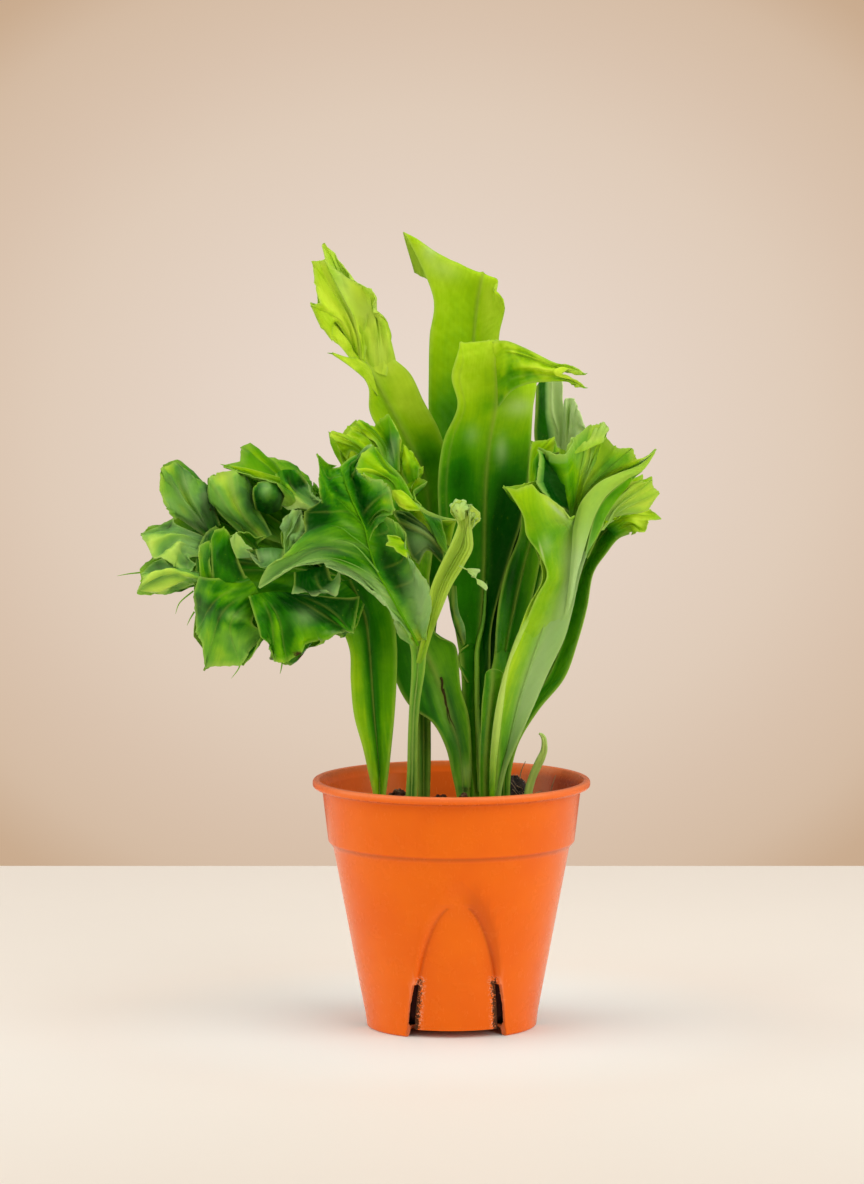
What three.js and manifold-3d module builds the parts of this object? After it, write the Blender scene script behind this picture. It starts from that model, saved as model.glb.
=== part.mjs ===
import * as THREE from 'three';
import Module from 'manifold-3d';

// Potted crested fern. Millimetres, +Z up, the pot's foot on z = 0.

const POT_HEIGHT = 107.5;
const RIM_RADIUS = 60;
const RIM_INNER_RADIUS = 57;
const LIP_DEPTH = 3.4;
const COLLAR_TOP_RADIUS = 56.1;
const COLLAR_FOOT_RADIUS = 53.2;
const COLLAR_FOOT_Z = 80.7;
const BODY_TOP_Z = 78.3;
const FOOT_RADIUS = 36.4;
const BODY_SLOPE = 0.188;
const WALL = 1.4;
const FLOOR_Z = 3.2;
const PANEL_COUNT = 3;
const PANEL_TURN = 3.6;
const PANEL_FOOT_RADIUS = 34.2;
const PANEL_SLOPE = 0.165;
const SLOT_TOP_Z = 25;
const SLOT_WIDTH = 1.3;
const DRAIN_RADIUS = 3.5;
const DRAIN_COUNT = 6;
const DRAIN_CIRCLE = 19;
const POT_SIDES = 44;

const SOIL_EDGE_Z = 91;
const SOIL_CROWN_Z = 93.5;
const SOIL_FLOOR_GAP = 0.3;
const SOIL_SIDES = 30;
const SOIL_LEVELS = [9, 44, 56, 70, 78, 83, SOIL_EDGE_Z];
const GAP = 0.3;

const CLUMP = { x: 27, y: 14.5, z: 96.5, wide: 6, deep: 5.4, tall: 6, levels: 7, sides: 14 };
const CLUMP_HOLLOW = { wide: 7.6, deep: 7 };

const BLADE_EDGE = 0.62;
const LEAF_MID = 0.95;
const SMALLEST_DETAIL = 0.15;

// Leaf rows are given as [x, z, depth]: x and z on the upright plane through the pot's
// axis, as sighted from SIGHT, and depth is how far behind that plane the point lies.
const SIGHT = { x: -8.4, y: -2300, z: 425 };

const wasm = await Module();
wasm.setup();

function seen([x, z, depth]) {
  const k = (depth - SIGHT.y) / -SIGHT.y;
  return new THREE.Vector3(SIGHT.x + (x - SIGHT.x) * k, depth, SIGHT.z + (z - SIGHT.z) * k);
}

function hermite(a, ma, b, mb, t) {
  const t2 = t * t, t3 = t2 * t;
  return a.clone().multiplyScalar(2 * t3 - 3 * t2 + 1)
    .addScaledVector(ma, t3 - 2 * t2 + t)
    .addScaledVector(b, 3 * t2 - 2 * t3)
    .addScaledVector(mb, t3 - t2);
}

function slopes(points, steps) {
  const n = points.length;
  return points.map((p, i) => {
    if (i === 0) return points[1].clone().sub(p).divideScalar(steps[0]);
    if (i === n - 1) return p.clone().sub(points[i - 1]).divideScalar(steps[i - 1]);
    const h0 = steps[i - 1], h1 = steps[i];
    const d0 = p.clone().sub(points[i - 1]).divideScalar(h0);
    const d1 = points[i + 1].clone().sub(p).divideScalar(h1);
    return d0.multiplyScalar(h1).addScaledVector(d1, h0).divideScalar(h0 + h1);
  });
}

// One row of points drawn out to cols + 1 evenly counted points, smooth or straight.
function drawnRow(row, cols, straight) {
  const points = row.map(seen), n = points.length - 1;
  const m = slopes(points, Array(n).fill(1));
  return Array.from({ length: cols + 1 }, (_, j) => {
    const s = (j / cols) * n, i = Math.min(Math.floor(s), n - 1), t = s - i;
    return straight ? points[i].clone().lerp(points[i + 1], t)
      : hermite(points[i], m[i], points[i + 1], m[i + 1], t);
  });
}

// Rows joined lengthwise by smooth curves, `steps` facets to each span.
function sheetGrid({ rows, cols, steps = 2, sharp = false }) {
  const drawn = rows.map((r, i) => drawnRow(r, cols, sharp && i === rows.length - 1));
  const gaps = drawn.slice(1).map((row, i) =>
    row.reduce((sum, p, j) => sum + p.distanceTo(drawn[i][j]), 0) / row.length);
  const grid = [];
  const tangents = drawn[0].map((_, j) => slopes(drawn.map((r) => r[j]), gaps));
  for (let i = 0; i < gaps.length; i++) {
    for (let k = i === 0 ? 0 : 1; k <= steps; k++) {
      const t = k / steps, h = gaps[i];
      grid.push(drawn[i].map((p, j) => hermite(p, tangents[j][i].clone().multiplyScalar(h),
        drawn[i + 1][j], tangents[j][i + 1].clone().multiplyScalar(h), t)));
    }
  }
  return grid;
}

function gridNormals(grid) {
  const n = grid.length - 1, m = grid[0].length - 1;
  return grid.map((row, i) => row.map((_, j) => {
    const du = grid[Math.min(i + 1, n)][j].clone().sub(grid[Math.max(i - 1, 0)][j]);
    const dv = row[Math.min(j + 1, m)].clone().sub(row[Math.max(j - 1, 0)]);
    return du.cross(dv).normalize();
  }));
}

// Waves across the sheet that grow towards its far end.
function ruffled(grid, [height, waves, phase = 0, start = 0.3]) {
  const normals = gridNormals(grid), n = grid.length - 1, m = grid[0].length - 1;
  return grid.map((row, i) => row.map((p, j) => {
    const grow = Math.max(0, (i / n - start) / (1 - start));
    const wave = Math.sin(2 * Math.PI * (waves * j / m + phase));
    return p.clone().addScaledVector(normals[i][j], height * grow * grow * wave);
  }));
}

// A closed blade: the sheet given a thickness that is fullest along its middle.
function blade(spec, extra = 0) {
  let grid = sheetGrid(spec);
  if (spec.ruffle) grid = ruffled(grid, spec.ruffle);
  const normals = gridNormals(grid), n = grid.length - 1, m = grid[0].length - 1;
  const thick = spec.thick ?? [LEAF_MID, LEAF_MID];
  const half = (i, j) => {
    const s = (i / n) * (thick.length - 1), k = Math.min(Math.floor(s), thick.length - 2);
    const mid = thick[k] + (thick[k + 1] - thick[k]) * (s - k);
    const round = Math.sqrt(Math.max(0, 1 - (2 * j / m - 1) ** 2));
    return (BLADE_EDGE + (mid - BLADE_EDGE) * round) / 2 + extra;
  };
  const points = [];
  for (const side of [1, -1]) {
    grid.forEach((row, i) => row.forEach((p, j) => {
      points.push(p.clone().addScaledVector(normals[i][j], side * half(i, j)));
    }));
  }
  return closedSheet(points, n, m);
}

function closedSheet(points, n, m) {
  const width = m + 1, back = (n + 1) * width, tris = [];
  const quad = (a, b, c, d) => tris.push([a, b, c], [a, c, d]);
  for (let i = 0; i < n; i++) {
    for (let j = 0; j < m; j++) {
      const a = i * width + j, b = a + 1, c = b + width, d = a + width;
      tris.push([a, d, c], [a, c, b], [back + a, back + c, back + d], [back + a, back + b, back + c]);
    }
    const l = i * width, r = l + m;
    quad(back + l, back + l + width, l + width, l);
    quad(r, r + width, back + r + width, back + r);
  }
  for (let j = 0; j < m; j++) {
    const e = n * width + j;
    quad(j, j + 1, back + j + 1, back + j);
    quad(e + 1, e, back + e, back + e + 1);
  }
  return solid(points, tris);
}

function solid(points, tris) {
  const made = new wasm.Manifold(new wasm.Mesh({
    numProp: 3,
    vertProperties: new Float32Array(points.flatMap((p) => [p.x, p.y, p.z])),
    triVerts: new Uint32Array(tris.flat()),
  }));
  if (made.volume() > 0) return made;
  return new wasm.Manifold(new wasm.Mesh({
    numProp: 3,
    vertProperties: new Float32Array(points.flatMap((p) => [p.x, p.y, p.z])),
    triVerts: new Uint32Array(tris.map(([a, b, c]) => [a, c, b]).flat()),
  }));
}

// A body of revolution; profile points [radius, z] run anticlockwise in the r-z plane,
// and a point of radius 0 is a single point on the axis.
function turned(profile, sides) {
  const points = [], tris = [];
  const at = profile.map(([r, z]) => {
    const first = points.length;
    for (let s = 0; s < (r === 0 ? 1 : sides); s++) {
      const a = (2 * Math.PI * s) / sides;
      points.push(new THREE.Vector3(r * Math.cos(a), r * Math.sin(a), z));
    }
    return (s) => (r === 0 ? first : first + (s % sides));
  });
  at.forEach((low, k) => {
    const l = (k + 1) % profile.length, high = at[l];
    if (profile[k][0] === 0 && profile[l][0] === 0) return;
    for (let s = 0; s < sides; s++) {
      const a = low(s), b = low(s + 1), c = high(s + 1), d = high(s);
      if (a !== b) tris.push([a, b, c]);
      if (c !== d) tris.push([a, c, d]);
    }
  });
  return solid(points, tris);
}

// Stacked rings of points, closed at both ends by fans about their centres.
function stacked(rings) {
  const m = rings[0].length, points = rings.flat(), tris = [];
  const centre = (ring) => ring.reduce((s, p) => s.add(p), new THREE.Vector3()).divideScalar(m);
  const first = points.push(centre(rings[0])) - 1;
  const last = points.push(centre(rings[rings.length - 1])) - 1;
  for (let j = 0; j < m; j++) {
    const k = (j + 1) % m, top = (rings.length - 1) * m;
    tris.push([first, k, j], [last, top + j, top + k]);
    for (let i = 0; i < rings.length - 1; i++) {
      const a = i * m + j, b = i * m + k;
      tris.push([a, b, b + m], [a, b + m, a + m]);
    }
  }
  return solid(points, tris);
}

function placed(made, turn, x = 0, y = 0, z = 0) {
  const m = new THREE.Matrix4().makeRotationZ(turn).setPosition(x, y, z);
  return made.transform(m.elements);
}

const bodyRadius = (z) => FOOT_RADIUS + BODY_SLOPE * z;
const panelRadius = (z) => PANEL_FOOT_RADIUS + PANEL_SLOPE * z;

function potShell() {
  const top = POT_HEIGHT, lip = top - LIP_DEPTH, w = WALL;
  return turned([
    [0, FLOOR_Z], [FOOT_RADIUS - 3, FLOOR_Z], [FOOT_RADIUS - 2, 0],
    [FOOT_RADIUS - 0.6, 0], [FOOT_RADIUS + 0.4, 1.4], [bodyRadius(4), 4], [bodyRadius(BODY_TOP_Z), BODY_TOP_Z],
    [COLLAR_FOOT_RADIUS, COLLAR_FOOT_Z],
    [COLLAR_TOP_RADIUS - 0.1, lip - 0.6], [RIM_RADIUS - 0.9, lip], [RIM_RADIUS, lip + 0.9],
    [RIM_RADIUS, top - 1.1], [RIM_RADIUS - 1, top], [RIM_INNER_RADIUS + 0.6, top],
    [RIM_INNER_RADIUS, top - 0.8], [COLLAR_TOP_RADIUS - w, lip - 1],
    [COLLAR_FOOT_RADIUS - w, COLLAR_FOOT_Z + 0.6], [bodyRadius(BODY_TOP_Z) - w, BODY_TOP_Z - 0.6],
    [bodyRadius(FLOOR_Z + 1.5) - w, FLOOR_Z + 1.5], [0, FLOOR_Z + 1.5],
  ], POT_SIDES);
}

// Half-widths of the arched panel at height z: its outer line on the wall, its inner
// line on the panel. Each is a rounded arch over the foot.
const arch = (height, half, power) => (z) =>
  half * Math.sqrt(Math.max(0, 1 - Math.pow(Math.max(0, z) / height, power)));
const outerArch = arch(70, 20.6, 3);
const innerArch = arch(59.5, 18.9, 1.8);
const SCOOP_LEVELS = [0, 22, 40, 50, 57, 64, 69];

// Where the scooped face stands: [half-width, radius] from the middle of the panel out.
function scoopSection(z) {
  const out = outerArch(z), wall = bodyRadius(z);
  const fade = Math.min(1, Math.max(0, (z - 53) / 17));
  const deep = panelRadius(Math.min(z, 53)) * (1 - fade) + bodyRadius(70) * fade;
  const inn = Math.max(innerArch(z), out * 0.36);
  const lift = innerArch(z) > out * 0.36 ? 0 : (out * 0.36 - innerArch(z)) / out;
  return [[0, deep], [inn / 2, deep + (wall - deep) * lift * 0.5], [inn, deep + (wall - deep) * lift],
    [out, wall + 0.15]];
}

function scoop(grow, lowest) {
  const near = [], far = [];
  for (const level of SCOOP_LEVELS) {
    const z = level === 0 ? lowest : level, half = scoopSection(z);
    const across = [...half.slice(1).reverse().map(([h, r]) => [-h, r]), ...half];
    for (const [h, r] of across) {
      const a = (h + Math.sign(h) * grow) / r, deep = r - grow, high = bodyRadius(z) + 5;
      near.push(new THREE.Vector3(deep * Math.sin(a), -deep * Math.cos(a), z));
      far.push(new THREE.Vector3(high * Math.sin(a), -high * Math.cos(a), z));
    }
  }
  return closedSheet([...near, ...far], SCOOP_LEVELS.length - 1, 6);
}

function slotCutter(side) {
  const ring = (z) => [[0, 9], [0, -9], [SLOT_WIDTH, -9], [SLOT_WIDTH, 9]].map(([dx, dr]) => {
    const r = panelRadius(z), a = (innerArch(z) - SLOT_WIDTH / 2 + dx) / r;
    return new THREE.Vector3(side * (r - dr) * Math.sin(a), -(r - dr) * Math.cos(a), z);
  });
  return stacked([-2, 4, 11, 18, SLOT_TOP_Z - 1.5].map(ring));
}

function pot() {
  let made = potShell();
  const turns = Array.from({ length: PANEL_COUNT }, (_, i) =>
    THREE.MathUtils.degToRad(PANEL_TURN + (i * 360) / PANEL_COUNT));
  const inside = turned([[0, -5], [FOOT_RADIUS - 2, -5], [FOOT_RADIUS, 0.2], [bodyRadius(4), 4],
    [bodyRadius(73) - 0.1, 73], [0, 73]], POT_SIDES);
  for (const turn of turns) {
    made = made.add(placed(scoop(WALL, FLOOR_Z), turn).intersect(inside));
  }
  for (const turn of turns) made = made.subtract(placed(scoop(0, -4), turn));
  const panelFoot = turned([[PANEL_FOOT_RADIUS - 6, -4], [FOOT_RADIUS + 9, -4], [FOOT_RADIUS + 9, FLOOR_Z],
    [PANEL_FOOT_RADIUS - 6, FLOOR_Z]], POT_SIDES);
  for (const turn of turns) {
    made = made.subtract(placed(scoop(WALL + 3, -4), turn).intersect(panelFoot));
    for (const side of [1, -1]) made = made.subtract(placed(slotCutter(side), turn));
  }
  for (let i = 0; i < DRAIN_COUNT; i++) {
    const a = (2 * Math.PI * i) / DRAIN_COUNT;
    const hole = turned([[0, -1], [DRAIN_RADIUS, -1], [DRAIN_RADIUS, 8], [0, 8]], 8);
    made = made.subtract(placed(hole, 0, DRAIN_CIRCLE * Math.cos(a), DRAIN_CIRCLE * Math.sin(a)));
  }
  return made.simplify(SMALLEST_DETAIL);
}

// Inner face of the pot's wall at angle a and height z, read off the scooped sections.
function insideRadius(a, z) {
  const wall = z > COLLAR_FOOT_Z ? COLLAR_FOOT_RADIUS + (z - COLLAR_FOOT_Z) * 0.112 : bodyRadius(z);
  if (z > 69) return wall - WALL;
  const step = (2 * Math.PI) / PANEL_COUNT, first = THREE.MathUtils.degToRad(PANEL_TURN) - Math.PI / 2;
  const turn = Math.abs(((((a - first) % step) + 1.5 * step) % step) - step / 2);
  const h = Math.max(0, turn * wall - WALL), section = scoopSection(z);
  const k = section.findIndex(([half]) => half > h);
  if (k < 0) return wall - WALL;
  const [h0, r0] = section[Math.max(0, k - 1)], [h1, r1] = section[k];
  return r0 + ((r1 - r0) * (h - h0)) / Math.max(h1 - h0, 0.01) - WALL;
}

function soilRing(z) {
  const near = [-1, -0.5, 0, 0.5, 1].map((k) => (k * 2 * Math.PI) / SOIL_SIDES);
  return Array.from({ length: SOIL_SIDES }, (_, j) => {
    const a = (2 * Math.PI * j) / SOIL_SIDES;
    const r = Math.min(...near.map((d) => insideRadius(a + d, z))) - SOIL_FLOOR_GAP - 0.45;
    return new THREE.Vector3(r * Math.cos(a), r * Math.sin(a), z);
  });
}

function soil(stems, clump) {
  const circle = (r, z) => soilRing(z).map((p) => new THREE.Vector3(p.x, p.y, 0).setLength(r).setZ(z));
  const floor = FLOOR_Z + 1.5 + SOIL_FLOOR_GAP;
  let made = stacked([circle(PANEL_FOOT_RADIUS - 4, floor), ...SOIL_LEVELS.map(soilRing),
    circle(44, SOIL_EDGE_Z + 0.8), circle(26, SOIL_CROWN_Z - 0.5), circle(6, SOIL_CROWN_Z)]);
  for (const stem of stems) made = made.subtract(stem);
  return made.subtract(clump).simplify(SMALLEST_DETAIL);
}
// Each frond is one or more sheets fused together; the first sheet stands in the soil.
const FRONDS = {
  frond_left: [
    { cols: 6, steps: 1, thick: [2.8, 2.8, 2.6, 2.4, 2, 1.7, 1.5, 1.4, 1.2], rows: [
      [[-33.4, 80, -8], [-31, 80, -6.6], [-28.6, 80, -8]],
      [[-33.4, 98, -8], [-31, 98, -6.6], [-28.6, 98, -8]],
      [[-35.6, 109, -9], [-31.2, 109, -6], [-27.2, 110, -8.4]],
      [[-38, 120, -9.6], [-32.2, 120, -5.4], [-26, 121, -8]],
      [[-42, 135, -9.4], [-33.6, 135, -4.6], [-24.6, 135, -7]],
      [[-43.4, 150, -9], [-34.6, 150, -4], [-23.7, 150, -6.4]],
      [[-44, 164, -9], [-35.6, 164, -3.6], [-23.6, 166, -6]],
      [[-50, 178, -9], [-37.6, 178, -3.2], [-26, 181, -3]],
      [[-58, 191, -7], [-44, 194, -4], [-36, 197, -3]],
    ] },
    { cols: 24, steps: 2, sharp: true, ruffle: [1.6, 6, 0.1, 0.3], rows: [
      [[-37.5, 183, -5], [-42, 188, -6], [-46, 192, -5], [-50, 196, -3]],
      [[-39.5, 177, -14], [-52, 180, -17], [-66, 184, -16], [-82, 202, -8]],
      [[-40.5, 174, -16], [-55, 173, -26], [-78, 172, -22], [-101, 184, -25], [-103, 209, -11]],
      [[-42, 170.5, -14], [-44.8, 172, -20], [-48, 168.4, -25], [-52.5, 170, -22], [-57, 167.6, -25],
        [-61.5, 165.6, -19], [-67, 161, -14], [-70.5, 157.8, -13], [-74.5, 157.6, -15], [-77.6, 158.6, -20],
        [-78.2, 164.5, -26], [-80.6, 169.6, -31], [-85, 164.5, -34], [-91, 157.6, -31], [-98.5, 157.4, -25],
        [-106.6, 154.6, -22], [-106.4, 162.8, -25], [-110, 169, -30], [-110.8, 179, -33], [-111.4, 190, -29],
        [-109.2, 198, -23], [-108.8, 207, -17], [-106, 214, -12], [-102, 216.6, -9], [-96.4, 214.6, -8]],
    ] },
    { cols: 24, steps: 2, sharp: true, ruffle: [1.3, 5, 0.3, 0.3], rows: [
      [[-42, 188, -6], [-44, 192, -1], [-46, 196, 5]],
      [[-84, 191, -6], [-88, 205, 0], [-90, 215, 7], [-82, 224, 13]],
      [[-108, 195, -16], [-113, 191, -22], [-118, 189, -25], [-122.5, 187.5, -27], [-129, 188.6, -25],
        [-135.6, 189, -20], [-133.5, 193, -14], [-134.2, 197.4, -8], [-128.4, 203.4, -2], [-130.6, 208.6, -5],
        [-133.6, 213.2, -10], [-130.6, 215.8, -7], [-124.6, 216.6, 0], [-119.2, 220.6, 6], [-122.6, 227, 4],
        [-125.4, 235, 1], [-124.2, 242.6, 3], [-119, 245, 8], [-114.4, 243, 13], [-110.4, 238, 17],
        [-107.4, 235.6, 21], [-105.2, 231.6, 24], [-103.4, 229.4, 25], [-101.4, 227.8, 25], [-99.4, 225.6, 25]],
    ] },
    { cols: 16, steps: 2, sharp: true, ruffle: [1, 3, 0.6, 0.3], rows: [
      [[-40, 189, -5], [-41, 193, 0], [-42, 197, 5]],
      [[-78, 211, 2], [-84, 222, 9], [-78, 230, 15], [-64, 227, 13]],
      [[-88, 212, -4], [-92, 217, -6], [-96.4, 222.4, -5], [-101, 228, -2], [-104, 232, 1], [-104.8, 237.4, 3],
        [-101.6, 239.4, 4], [-98, 239.6, 3], [-94, 240, 3], [-90, 239.6, 6], [-86, 238.4, 10], [-82, 237.6, 15],
        [-78, 237.6, 18], [-74, 238, 20], [-70, 236.6, 20], [-66, 234.6, 19], [-62, 231, 17]],
    ] },
    { cols: 20, steps: 2, sharp: true, ruffle: [1, 4, 0.2, 0.3], rows: [
      [[-39, 196, -5], [-37, 194, 0], [-35, 190, 5]],
      [[-61, 222.4, -6], [-64, 227, 0], [-60, 230, 8], [-54, 226, 10]],
      [[-72.8, 225.8, -10], [-71.6, 230, -11], [-74.6, 234, -12], [-80, 236.2, -10], [-86, 238.6, -6],
        [-92, 241.4, -2], [-97.6, 243.4, 0], [-91, 244.6, 4], [-90.6, 250.4, 10], [-86.4, 252.8, 13],
        [-82.6, 248.4, 15], [-77.6, 246.8, 20], [-72.6, 245.2, 24], [-68, 242.4, 27], [-63, 239.6, 26],
        [-61, 235.4, 21], [-60.6, 231.6, 15], [-58.6, 235.4, 12], [-57, 233, 11], [-56, 229, 11], [-53.6, 225, 12]],
    ] },
    { cols: 8, steps: 1, sharp: true, rows: [
      [[-66, 205.6, 3], [-68, 203, 3]],
      [[-65, 211, -13], [-72, 208, -13]],
      [[-64, 218, -20], [-73, 215, -18]],
      [[-63.4, 213, -26], [-62.8, 217, -27], [-64, 221.6, -27], [-66.6, 223.4, -25], [-69.6, 221.6, -23],
        [-71.6, 217.6, -22], [-73.4, 213.4, -20], [-72.6, 208.6, -18], [-71, 204.4, -16]],
    ] },
    { cols: 8, steps: 1, sharp: true, rows: [
      [[-76, 205, 3], [-78, 200, 3]],
      [[-84, 210, -15], [-84, 203, -15]],
      [[-80, 213, -20], [-84.6, 212, -21], [-87.6, 214, -22], [-91.6, 214.4, -22], [-95, 212.6, -21],
        [-94.8, 207.6, -21], [-91, 208.8, -20], [-87.4, 206.6, -19], [-84, 207, -18]],
    ] },
  ],
  frond_front: [
    { cols: 6, steps: 1, thick: [2.8, 2.8, 2.6, 2.4, 2.2, 2, 1.8, 1.6], rows: [
      [[-19.4, 80, -14], [-16.7, 80, -12.8], [-14, 80, -14]],
      [[-19.4, 98, -14], [-16.7, 98, -12.8], [-14, 98, -14]],
      [[-18.8, 110, -14.6], [-16.2, 110, -13], [-13.2, 110, -14.6]],
      [[-18.4, 125, -15.6], [-15.8, 125, -13.6], [-13.2, 125, -15.6]],
      [[-17.6, 140, -17.4], [-15.2, 140, -15.4], [-12.8, 140, -17.4]],
      [[-17.2, 154, -20], [-14.6, 154, -18], [-11.6, 154, -20]],
      [[-17.8, 165, -23], [-14.6, 166, -21], [-10.4, 167, -23]],
      [[-22, 174, -26], [-16.4, 178, -23.6], [-9.2, 180, -26]],
    ] },
    { cols: 24, steps: 2, sharp: true, ruffle: [1.5, 4, 0.1, 0.35], rows: [
      [[-17.4, 164, -22.6], [-14.4, 165, -21], [-10.6, 166, -22.8]],
      [[-29, 182.6, -32], [-23, 188, -29], [-16, 190, -27], [-9.2, 188, -31]],
      [[-45, 195.6, -40], [-42, 204, -40], [-33, 210, -37], [-25, 207, -33], [-16, 203.6, -38]],
      [[-60, 201.6, -45], [-60, 208, -46], [-49, 218, -46], [-38, 224, -42], [-28, 217, -38]],
      [[-69, 198.2, -44], [-77, 193.4, -41], [-84.2, 188.8, -38], [-80, 196, -41], [-76.4, 202.4, -44],
        [-71, 207.6, -47], [-66, 213, -50], [-60, 214, -50], [-55, 218, -50], [-56, 224, -53],
        [-57.2, 230, -55], [-56.6, 236, -54], [-54, 241, -51], [-58, 247.6, -46], [-50, 242, -45],
        [-45, 243.4, -43], [-40, 247.4, -39], [-35.6, 251.8, -36], [-33.6, 246, -39], [-36.4, 240, -44],
        [-33, 237, -48], [-28.4, 235, -52], [-26, 229, -52], [-24.4, 223.4, -48], [-28, 221.6, -43]],
    ] },
    { cols: 8, steps: 2, sharp: true, rows: [
      [[-21, 209, -34], [-17, 202, -34]],
      [[-22, 212, -44], [-19, 205, -43]],
      [[-22, 212, -47], [-24, 212.8, -48], [-27.6, 213, -50], [-27, 211, -51], [-28.2, 208.8, -51],
        [-25, 208, -49], [-23.6, 206.2, -48], [-21.4, 204.8, -46], [-19, 203.4, -45]],
    ] },
    { cols: 12, steps: 2, sharp: true, ruffle: [0.5, 2, 0.1, 0.3], rows: [
      [[-15.4, 158, -20], [-12, 158, -20]],
      [[-12.6, 170, -27], [-10.4, 171, -26], [-8, 171, -27]],
      [[-10.2, 181, -32], [-7.6, 182, -30], [-4.6, 180, -32]],
      [[-9, 190, -36], [-5, 192, -33.6], [0, 191, -36]],
      [[-4.4, 201, -39], [0, 202, -36], [6, 201, -39]],
      [[-0.4, 209, -41], [4.6, 210, -38], [9.2, 208, -41]],
      [[2.8, 217, -42], [5.8, 217.6, -39], [8.6, 216, -42]],
      [[2.6, 220, -43], [-0.4, 222.6, -46], [0, 225.6, -48], [2.6, 228.4, -48], [6, 227.6, -46], [5.6, 223, -43],
        [6.4, 219.6, -41], [8, 222.6, -42], [6.8, 226.2, -45], [9, 226, -47], [12.4, 223, -47], [12.2, 219.4, -45],
        [8.8, 216.6, -42.6]],
    ] },
  ],
  frond_middle: [
    { cols: 8, steps: 1, thick: [3, 3, 2.8, 2.6, 2.2, 1.9, 1.6, 1.4, 1.2, 1.1], rows: [
      [[2.6, 80, -2], [5.2, 80, -0.6], [7.8, 80, -2]],
      [[2.6, 98, -2], [5.2, 98, -0.6], [7.8, 98, -2]],
      [[0.4, 109, -2], [4.6, 109, 0.4], [8.6, 109, -2]],
      [[-2.4, 121, -1.6], [3.4, 121, 1.6], [8.6, 121, -2]],
      [[-8.4, 132, 1], [0, 133, 2.6], [7.4, 135, -1]],
      [[-18, 139, 4], [-3.4, 145, 3.4], [4, 147, 0]],
      [[-24, 150, 6], [-7, 156, 4], [2.4, 158, 0]],
      [[-27, 164, 7], [-12, 169, 3.4], [0.6, 166, 0]],
      [[-31, 182, 7], [-18, 186, 2], [-7.6, 175, -1]],
      [[-34, 203, 5], [-24, 206, -1], [-10, 202, -3]],
    ] },
    { cols: 24, steps: 2, sharp: true, ruffle: [1.2, 4, 0.2, 0.35], rows: [
      [[-32, 192, 2.6], [-22, 196, -1], [-10, 192, -2.2]],
      [[-40, 221, -8], [-32, 230, -14], [-20, 224, -16], [-6, 213, -13]],
      [[-44.6, 242, -12], [-47.6, 250, -8], [-52.4, 257.6, -4], [-46.4, 256.4, -8], [-44, 260, -12],
        [-41, 262.8, -13], [-37.4, 260.6, -10], [-33.6, 259.4, -7], [-30, 262.6, -8], [-26.6, 265, -11],
        [-23.4, 260, -17], [-21.6, 254, -20], [-21.4, 247, -18], [-20.4, 242, -14], [-16.4, 242, -12],
        [-11.8, 242.2, -12], [-15, 238, -14], [-10.6, 236.4, -16], [-17, 233, -19], [-16.4, 228.4, -22],
        [-13, 225.6, -24], [-10, 221.8, -24], [-4.4, 220.4, -23], [1.6, 219.6, -21], [-1.6, 208, -17]],
    ] },
  ],
  frond_upper_left: [
    { cols: 8, steps: 1, thick: [2.8, 2.8, 2.6, 2.4, 2.2, 2, 2, 1.8, 1.6, 1.5, 1.4, 1.4, 1.3, 1.2], rows: [
      [[-14.6, 80, 9], [-12, 80, 10.4], [-9.4, 80, 9]],
      [[-14.6, 98, 9], [-12, 98, 10.4], [-9.4, 98, 9]],
      [[-14.8, 115, 10], [-12, 115, 12], [-9, 115, 10]],
      [[-14.8, 132, 12], [-12, 132, 14], [-9, 132, 12]],
      [[-15.4, 150, 13], [-12, 150, 15], [-9, 150, 13]],
      [[-16, 170, 13], [-11.6, 170, 15.6], [-7, 170, 13]],
      [[-17, 190, 13], [-11, 190, 16], [-4.6, 190, 13]],
      [[-18, 210, 12], [-10, 210, 16], [-2, 210, 12]],
      [[-20, 228, 10], [-10, 228, 15], [-1, 229, 11]],
      [[-24, 243, 7], [-13.6, 243, 13], [-2, 246, 10]],
      [[-30, 256, 4], [-20, 256, 11], [-5.6, 259, 10]],
      [[-35.2, 267, 2], [-26.4, 268, 9], [-12, 271, 9]],
      [[-35.6, 277, 1], [-32, 278, 7], [-17.6, 282.6, 8]],
      [[-41, 285.6, 0], [-38, 288.6, 5], [-25.8, 290, 7]],
    ] },
    { cols: 24, steps: 2, sharp: true, ruffle: [1.1, 4, 0.4, 0.35], rows: [
      [[-39.6, 284, 1], [-35.4, 285.4, 5.4], [-23.6, 287.4, 7.4]],
      [[-47, 293.6, -5], [-44, 303, 1], [-34, 308, -1], [-26, 297, 6]],
      [[-49.6, 296.6, -8], [-54.6, 300.6, -9], [-58.6, 306.6, -9], [-60.8, 312.8, -7], [-57, 312.4, -4],
        [-57.4, 319, -4], [-59, 325.4, -7], [-59.8, 330.8, -9], [-56.4, 331, -6], [-54.2, 331.6, -2],
        [-54.8, 336.8, 0], [-54, 338.8, 2], [-51.2, 335.6, 3], [-47.6, 330.6, 2], [-44, 327, 0],
        [-41.8, 323.4, -2], [-38, 320, -5], [-34.6, 317.8, -8], [-33.2, 314.6, -9], [-33.2, 310.4, -6],
        [-30.8, 308, 0], [-28.8, 305.4, 4], [-27.2, 301.6, 7], [-26.2, 296.6, 8], [-25.8, 291.6, 8]],
    ] },
    { cols: 4, steps: 2, sharp: true, rows: [
      [[-31.6, 273, 5], [-35, 286, 5]],
      [[-37.6, 280.6, 0], [-40, 289.4, 1]],
      [[-44, 286, -5], [-44.6, 289.8, -4]],
      [[-51, 290.8, -9], [-51.2, 291.8, -9]],
    ] },
  ],
  frond_tall: [
    { cols: 12, steps: 1, sharp: true, thick: [2.8, 2.8, 2.4, 2, 1.6, 1.4, 1.3, 1.2, 1.1, 1, 0.9, 0.9], rows: [
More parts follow.
